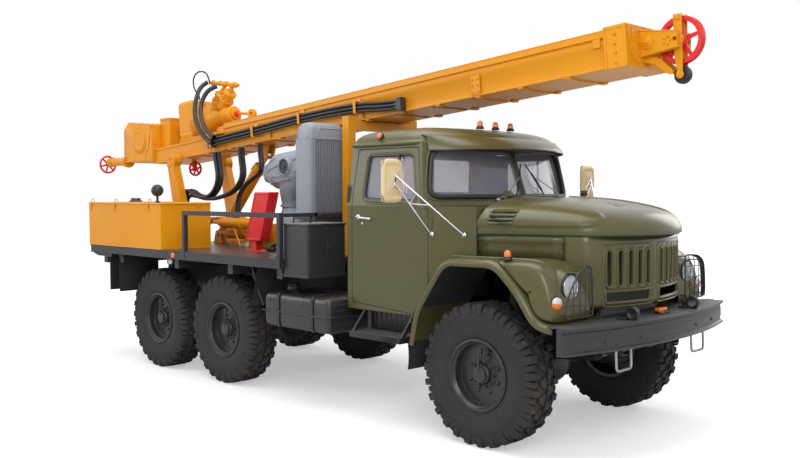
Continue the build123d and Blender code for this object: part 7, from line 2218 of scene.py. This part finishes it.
def crownWheels():
    s = Shape()
    centre = Vector((4.09, 0, 3.05))
    rim = [(0.142, -0.024), (0.142, 0.024), (0.176, 0.027), (0.180, 0.024), (0.180, 0.020), (0.162, 0.009),
           (0.158, 0.0), (0.162, -0.009),
           (0.180, -0.020), (0.180, -0.024), (0.176, -0.027)]
    s.turned(rim + rim[:1], centre, (0, 1, 0), 56)
    s.turned([(0.0, -0.027), (0.040, -0.027), (0.045, -0.022), (0.045, 0.022), (0.040, 0.027), (0, 0.027)],
             centre, (0, 1, 0), 32)
    for k in range(5):
        a = 2 * math.pi * k / 5 + 0.3
        way = Vector((math.cos(a), 0, math.sin(a)))
        cross = Vector((-math.sin(a), 0, math.cos(a)))
        line = [centre + way * r + cross * w for r, w in ((0.035, -0.019), (0.148, -0.012), (0.148, 0.012),
                                                          (0.035, 0.019))]
        s.prism([(p.x, p.z) for p in line], -0.008, 0.008, "xz")
    s.piece("sheaveWheel", "crown_sheave", "signalRedPaint", 0.002, 40, stands=("crown_sheave",))
    g = Shape()
    g.ring(centre, (0, 1, 0), 0.1585, 0.0085, 56, 8)
    g.piece("sheaveGroove", "crown_sheave", "mouldedBlack")
    r = Shape()
    middle = (4.107, 0, 2.793)
    r.turned([(0.0, -0.026), (0.020, -0.026), (0.022, -0.020), (0.058, -0.020), (0.066, -0.014),
              (0.064, 0.0), (0.066, 0.014), (0.058, 0.020),
              (0.022, 0.020), (0.020, 0.026), (0, 0.026)], middle, (0, 1, 0), 40)
    r.piece("crownRollerBody", "crown_roller", "mouldedBlack", 0, 40, stands=("crown_roller",))


# gearbox at the foot: chamfered case with bolted covers
footForm = {"side": [(-3.72, 2.337), (-3.72, 2.768), (-3.60, 2.868), (-2.96, 2.815), (-2.96, 2.337)],
            "half": 0.299, "cover": (-3.30, 2.62), "radius": 0.172}


def footGearbox():
    s = Shape()
    outline = softOutline(footForm["side"], 0.022, 5)
    half = footForm["half"]
    ring = [(x, z) for x, z in outline + outline[:1]]
    cx, cz = -3.33, 2.58
    rows = []
    for y, k in ((-half + 0.0, 0.0), (-half, 0.975), (-half + 0.004, 0.990), (-half + 0.014, 1.0),
                 (half - 0.014, 1.0), (half - 0.004, 0.990), (half, 0.975), (half, 0.0)):
        rows.append([(cx + (x - cx) * k, y, cz + (z - cz) * k) for x, z in ring])
    s.sheet(rows)
    for side in (-1, 1):
        y = side * half
        cover = footForm["cover"]
        s.turned([(0, 0.010), (0.10, 0.010), (0.106, 0.016), (0.140, 0.016), (0.145, 0.008),
                  (footForm["radius"], 0.008), (footForm["radius"] + 0.004, 0.0)],
                 (cover[0], y, cover[1]), (0, side, 0), 44)
        s.boltRing((cover[0], y + side * 0.006, cover[1]), (0, side, 0), 0.157, 18, 0.010, 0.010)
        # flat seam that follows the case down to the lower box
        s.prism([(-3.03, 2.80), (-3.012, 2.80), (-3.075, 2.50), (-3.15, 2.455), (-3.16, 2.470),
                 (-3.09, 2.51)], min(y, y + side * 0.007), max(y, y + side * 0.007), "xz")
        for k in range(9):
            t = k / 8
            s.hexBolt((-3.025 - 0.05 * t, y + side * 0.005, 2.78 - 0.28 * t), (0, side, 0), 0.007, 0.006)
        s.prism(softOutline([(-3.60, 2.345), (-3.15, 2.345), (-3.15, 2.445), (-3.60, 2.445)], 0.012, 4),
                min(y, y + side * 0.007), max(y, y + side * 0.007), "xz")
        for x in (-3.57, -3.44, -3.31, -3.18):
            s.hexBolt((x, y + side * 0.006, 2.362), (0, side, 0), 0.007, 0.006)
        s.prism(softOutline([(-2.985, 2.345), (-2.962, 2.345), (-2.962, 2.80), (-2.985, 2.80)], 0.003, 3),
                min(y, y + side * 0.010), max(y, y + side * 0.010), "xz")
        for k in range(7):
            s.hexBolt((-2.974, y + side * 0.008, 2.37 + 0.068 * k), (0, side, 0), 0.007, 0.006)
    s.box((-2.9605, -0.195, 2.3305), (-2.7305, 0.195, 2.8845))
    s.box((-2.9605, -0.200, 2.860), (-2.7265, 0.200, 2.884))
    s.box((-2.735, -0.200, 2.34), (-2.7265, 0.200, 2.37))
    s.turned([(0, 0.004), (0.10, 0.004), (0.10, -0.01), (0, -0.01)], (-2.7305, 0, 2.72), (1, 0, 0), 30)
    s.boltRing((-2.7275, 0, 2.72), (1, 0, 0), 0.086, 8, 0.009, 0.007)
    s.turned([(0.0, 0.02), (0.082, 0.02), (0.080, -0.03), (0.068, -0.08), (0.056, -0.14), (0.054, -0.40),
              (0.064, -0.402), (0.064, -0.455), (0.056, -0.46), (0.056, -0.50),
              (0.0, -0.502)], (-3.70, -0.245, 2.358), (1, 0, 0), 32)
    s.box((-3.735, -0.20, 2.345), (-3.715, 0.20, 2.42))
    for k in range(5):
        s.hexBolt((-3.55 + 0.13 * k, -0.12, 2.862 - 0.011 * k), (0.08, 0, 1), 0.009, 0.008)
        s.hexBolt((-3.55 + 0.13 * k, 0.12, 2.862 - 0.011 * k), (0.08, 0, 1), 0.009, 0.008)
    s.piece("footCase", "mast", "amberYellowPaint", 0, 35, stands=("foot_gearbox",))


def handWheels():
    s = Shape()
    for (x, y, z), radius in (((-4.256, -0.25, 2.33), 0.125), ((-2.467, 0, 2.24), 0.095)):
        s.ring((x, y, z), (1, 0, 0), radius - 0.014, 0.0136, 44, 10)
        for k in range(6):
            a = 2 * math.pi * k / 6 + 0.25
            far = radius - 0.02
            s.tube([(x + 0.004, y + 0.015 * math.cos(a), z + 0.015 * math.sin(a)),
                    (x, y + far * math.cos(a), z + far * math.sin(a))], 0.0125, 8)
        s.turned([(0, -0.0125), (0.026, -0.0125), (0.030, 0.0), (0.026, 0.016), (0.012, 0.018), (0, 0.018)],
                 (x, y, z), (1, 0, 0), 24)
        s.turned([(0.018, 0), (0.018, 0.05), (0, 0.05)], (x, y, z), (1, 0, 0), 16)
    s.piece("handWheelRims", "mast", "signalRedPaint", 0, 45, stands=("hand_wheels",))


# rotary head: gear case, bell, two motors, swivel
def rotaryHead():
    s = Shape(mastPose)
    plan = softOutline([(-0.139, -0.19), (0.150, -0.19), (0.150, 0.19), (-0.139, 0.19)], 0.035, 5)
    rows = []
    for inset, h in ((0.14, 0.077), (0.0, 0.077), (0.0, 0.30), (-0.004, 0.31), (-0.004, 0.33), (0.0, 0.34),
                     (0.0, 0.695), (0.006, 0.718), (0.022, 0.733), (0.05, 0.736), (0.14, 0.736)):
        rows.append([(0.0055 + (a - 0.0055) * (1 - inset / 0.145), y * (1 - inset / 0.19), h) for a,
                     y in plan + plan[:1]])
    s.sheet(rows)
    s.prism(softOutline([(-0.12, 0.36), (0.13, 0.36), (0.13, 0.70), (-0.12, 0.70)], 0.02, 4), -0.1935,
            -0.1895, "xz")
    s.prism(softOutline([(-0.12, 0.36), (0.13, 0.36), (0.13, 0.70), (-0.12, 0.70)], 0.02, 4), 0.1895,
            0.1935, "xz")
    # sledge under the head and on the rails
    s.prism([(-0.140, 0.0775), (0.7795, 0.0775), (0.7795, 0.180), (0.70, 0.276), (-0.140, 0.276)], -0.189,
            0.189, "xz")
    for side in (-1, 1):
        s.prism(softOutline([(0.20, 0.10), (0.74, 0.10), (0.74, 0.17), (0.66, 0.25), (0.20, 0.25)], 0.02,
                            4), side * 0.189, side * 0.193, "xz")
        for k in range(6):
            s.hexBolt((0.22 + 0.09 * k, side * 0.1925, 0.115), (0, side, 0), 0.009, 0.007)
    # bell that carries the motors
    centre = (0.148, 0, 0.470)
    s.turned([(0, 0), (0.232, 0), (0.235, 0.006), (0.235, 0.040), (0.226, 0.046), (0.222, 0.060),
              (0.226, 0.066), (0.226, 0.090), (0.205, 0.098), (0.196, 0.125),
              (0.160, 0.160), (0.135, 0.190), (0.118, 0.235), (0.106, 0.300)], centre, (1, 0, 0), 48)
    s.boltRing((0.188, 0, 0.470), (1, 0, 0), 0.222, 18, 0.010, 0.010)
    s.boltRing((0.238, 0, 0.470), (1, 0, 0), 0.208, 14, 0.010, 0.010)
    for k in range(10):
        a = 2 * math.pi * k / 10 + 0.1
        y, h = math.cos(a), math.sin(a)
        s.prism([(0.240, 0.150), (0.262, 0.210), (0.240, 0.218), (0.19, 0.200)], -0.007, 0.007, "xz",
                Matrix.Translation((0.03, 0, 0.470)) @ Matrix.Rotation(a - math.pi / 2, 4, "X"))
    # swivel with its steps
    s.turned([(0.106, 0), (0.106, 0.05), (0.094, 0.06), (0.094, 0.19), (0.108, 0.195), (0.108, 0.235),
              (0.094, 0.240), (0.094, 0.285), (0.102, 0.290), (0.102, 0.345),
              (0.090, 0.360), (0.062, 0.362), (0.062, 0.385), (0.036, 0.390)], (0.448 - 0.015, 0, 0.470),
             (1, 0, 0), 40)
    s.boltRing((0.640, 0, 0.470), (1, 0, 0), 0.100, 10, 0.008, 0.008)
    s.turned([(0, -0.045), (0.085, -0.045), (0.085, 0.020), (0.074, 0.034), (0.058, 0.042), (0.040, 0.046),
              (0, 0.048)], (0.60, -0.04, 0.30), (0, 0, 1), 36)
    s.boltRing((0.60, -0.04, 0.310), (0, 0, 1), 0.078, 8, 0.007, 0.010)
    s.piece("headCase", "rotary_head", "amberYellowPaint", 0, 38, stands=("rotary_head",))

    u = Shape()
    for low, high in (((-2.00, 0, 2.95), (-1.86, 0, 3.13)), ((-1.85, 0, 2.95), (-1.68, 0, 3.14))):
        low, high = Vector(low), Vector(high)
        way = (high - low).normalized()
        far = (high - low).length
        u.turned([(0.074, 0), (0.074, far * 0.40), (0.086, far * 0.42), (0.086, far * 0.52),
                  (0.070, far * 0.55), (0.070, far * 0.80), (0.080, far * 0.82),
                  (0.080, far * 0.93), (0.060, far), (0, far)], low, way, 32)
        u.boltRing(low + way * far * 0.52, way, 0.079, 8, 0.009, 0.012)
        u.boltRing(low + way * far * 0.93, way, 0.068, 6, 0.009, 0.010)
        u.turned([(0.034, 0), (0.034, 0.03), (0.028, 0.035), (0.028, 0.06), (0, 0.06)],
                 low + way * far * 0.99, (0.35, 0.0, 1), 22)
        for side in (-1, 1):
            u.turned([(0, 0), (0.026, 0), (0.026, 0.016), (0.016, 0.018), (0.016, 0.030), (0, 0.030)],
                     low + way * far * 0.70 + Vector((0, side * 0.052, 0)), (0, side, 0), 18)
    a, b = Vector((-2.105, 0, 3.280)), Vector((-1.525, 0, 3.200))
    way = (b - a).normalized()
    u.turned([(0, 0), (0.022, 0), (0.022, 0.03), (0.030, 0.035), (0.030, 0.085), (0.020, 0.09),
              (0.024, 0.10), (0.024, 0.26), (0.032, 0.265), (0.032, 0.335),
              (0.024, 0.34), (0.024, 0.46), (0.032, 0.465), (0.032, 0.535), (0.020, 0.54), (0.020, 0.584),
              (0, 0.585)], a, way, 26)
    for low, high in (((-1.860, 0, 3.10), (-1.80, 0, 3.245)), ((-1.69, 0, 3.10), (-1.65, 0, 3.225))):
        u.rod(low, high, 0.024, 18)
    for k in range(4):
        place = a + way * (0.06 + 0.15 * k)
        u.turned([(0, 0), (0.016, 0), (0.016, 0.012), (0.010, 0.014), (0, 0.014)],
                 place + Vector((0, 0, 0.022)), (0, 0, 1), 12)
        u.turned([(0, 0), (0.015, 0), (0.015, 0.016), (0, 0.016)], place + Vector((0, -0.022, 0)),
                 (0, -1, 0), 14)
    # neck and eye behind the swivel
    u.tube([(-1.500, 0, 2.872), (-1.300, 0, 2.853)], 0.017, 12)
    u.turned([(0.018, -0.024), (0.050, -0.024), (0.056, -0.016), (0.056, 0.016), (0.050, 0.024),
              (0.018, 0.024), (0.018, -0.024)], (-1.258, 0, 2.849), (0.35, -1, 0.1), 30)
    u.piece("headMotors", "rotary_head", "amberYellowPaint", 0, 40)
    r = Shape(mastPose)
    r.turned([(0.0, 0.0), (0.036, 0.0), (0.036, 0.022), (0.018, 0.030), (0, 0.030)], (0.818, 0, 0.470),
             (1, 0, 0), 24)
    r.piece("swivelCap", "rotary_head", "signalRedPaint")


def spindle():
    s = Shape(mastPose)
    s.turned([(0.0, 0.07), (0.025, 0.068), (0.025, 0.0), (0.043, 0.0), (0.045, 0.004), (0.045, 0.045),
              (0.036, 0.050), (0.036, 0.085), (0.045, 0.092), (0.070, 0.100),
              (0.070, 0.138), (0.046, 0.145), (0.046, 0.180), (0, 0.185)], (-0.331, 0, 0.470), (1, 0, 0),
             32)
    s.boltRing((-0.331 + 0.100, 0, 0.470), (-1, 0, 0), 0.058, 8, 0.008, 0.010)
    s.boltRing((-0.331 + 0.138, 0, 0.470), (1, 0, 0), 0.058, 8, 0.008, 0.010)
    s.piece("spindleBody", "spindle", "signalRedPaint", 0, 40, stands=("spindle",))


mastRails()
mastTrim()
crown()
crownWheels()
footGearbox()
handWheels()
rotaryHead()
spindle()
print("mast made")

# finishes of the solids that keep their shape
dress(["cab_cowl", "cab_rear_wall", "cab_floor", "cab_roof", "door_right", "door_left", "hood",
       "grille_panel", "fenders"],
      "oliveGreenPaint")
dress(["front_bumper", "chassis_frame", "subframe", "axles", "deck", "fuel_tanks", "cabinets",
       "knuckle_right", "knuckle_left"],
      "chassisBlackPaint")
dress(["oil_tank", "control_console", "mud_pump", "mast_stand", "mast_rails", "mast_web", "mast_head",
       "foot_gearbox",
       "rotary_head", "lift_barrel"], "amberYellowPaint")
dress(["belt_guard", "hand_wheels", "crown_sheave", "spindle"], "signalRedPaint")
dress(["drive_line"], "engineGrey")
dress(["compressor"], "castingGreyPaint")
dress(["crown_roller", "dashboard"], "mouldedBlack")
dress(["lift_rod", "jack_leg_right", "jack_leg_left"], "polishedChrome")
dress(["mirrors"], "mirrorCreamPaint")
dress(["lamps"], "amberLens")
dress(["cab_glass", "door_glass_right", "door_glass_left"], "cabGlass")
dress(["bench_seat"], "seatLeatherette")
cadNode["cab_floor"].data.materials.append(finishes["wheelBlackPaint"])

# pale floor and soft studio light
studio = {"floorColour": 0.80, "floorSize": 90, "worldSoft": 0.50, "lamps": [
    ("overhead", (1.0, -1.0, 9.0), (1.0, 0, 0.8), 9.0, 520),
        ("frontRight", (9.0, -7.5, 6.5), (1.5, 0, 1.2), 6.0, 430),
    ("rearRight", (-8.0, -8.0, 5.5), (-1.0, 0, 1.2), 6.0, 260),
        ("farLeft", (3.0, 10.0, 5.0), (0.5, 0, 1.5), 6.0, 200)]}
world = bpy.data.worlds.new("paleStudio")
world.use_nodes = True
bpy.context.scene.world = world
tree = world.node_tree
ray = tree.nodes.new("ShaderNodeLightPath")
seen = tree.nodes.new("ShaderNodeMath")
seen.operation = "MAXIMUM"
tree.links.new(ray.outputs["Is Camera Ray"], seen.inputs[0])
tree.links.new(ray.outputs["Is Transmission Ray"], seen.inputs[1])
seenToo = tree.nodes.new("ShaderNodeMath")
seenToo.operation = "MAXIMUM"
tree.links.new(seen.outputs[0], seenToo.inputs[0])
tree.links.new(ray.outputs["Is Glossy Ray"], seenToo.inputs[1])
level = tree.nodes.new("ShaderNodeMapRange")
level.inputs["To Min"].default_value = studio["worldSoft"]
level.inputs["To Max"].default_value = 1.0
tree.links.new(seenToo.outputs[0], level.inputs["Value"])
tree.links.new(level.outputs[0], tree.nodes["Background"].inputs["Strength"])
tree.nodes["Background"].inputs["Color"].default_value = (1, 1, 1, 1)

floorData = bpy.data.meshes.new("studioFloor")
size = studio["floorSize"]
floorData.from_pydata([(-size, -size, 0), (size, -size, 0), (size, size, 0), (-size, size, 0)], [],
                      [(0, 1, 2, 3)])
floor = bpy.data.objects.new("studioFloor", floorData)
bpy.context.scene.collection.objects.link(floor)
floorPaint = bpy.data.materials.new("paleFloor")
floorPaint.use_nodes = True
shade = floorPaint.node_tree.nodes["Principled BSDF"]
shade.inputs["Base Color"].default_value = (studio["floorColour"],) * 3 + (1,)
shade.inputs["Roughness"].default_value = 0.9
shade.inputs["Specular IOR Level"].default_value = 0.1
floorRay = floorPaint.node_tree.nodes.new("ShaderNodeLightPath")
floorLift = floorPaint.node_tree.nodes.new("ShaderNodeMath")
floorLift.operation = "MULTIPLY"
away = floorPaint.node_tree.nodes.new("ShaderNodeVectorMath")
away.operation = "LENGTH"
floorPlace = floorPaint.node_tree.nodes.new("ShaderNodeTexCoord")
floorPaint.node_tree.links.new(floorPlace.outputs["Object"], away.inputs[0])
brighter = floorPaint.node_tree.nodes.new("ShaderNodeMapRange")
for socket, value in (("From Min", 3.0), ("From Max", 9.0), ("To Min", 0.42), ("To Max", 0.75)):
    brighter.inputs[socket].default_value = value
floorPaint.node_tree.links.new(away.outputs["Value"], brighter.inputs["Value"])
floorPaint.node_tree.links.new(floorRay.outputs["Is Camera Ray"], floorLift.inputs[0])
floorPaint.node_tree.links.new(brighter.outputs[0], floorLift.inputs[1])
floorPaint.node_tree.links.new(floorLift.outputs[0], shade.inputs["Emission Strength"])
shade.inputs["Emission Color"].default_value = (1, 1, 1, 1)
floorData.materials.append(floorPaint)
for name, place, target, wide, power in studio["lamps"]:
    lamp = bpy.data.lights.new(name, "AREA")
    lamp.shape = "DISK"
    lamp.size = wide
    lamp.energy = power
    made = bpy.data.objects.new(name, lamp)
    made.location = place
    made.rotation_euler = (Vector(target) - Vector(place)).to_track_quat("-Z", "Y").to_euler()
    bpy.context.scene.collection.objects.link(made)
print("studio lit")
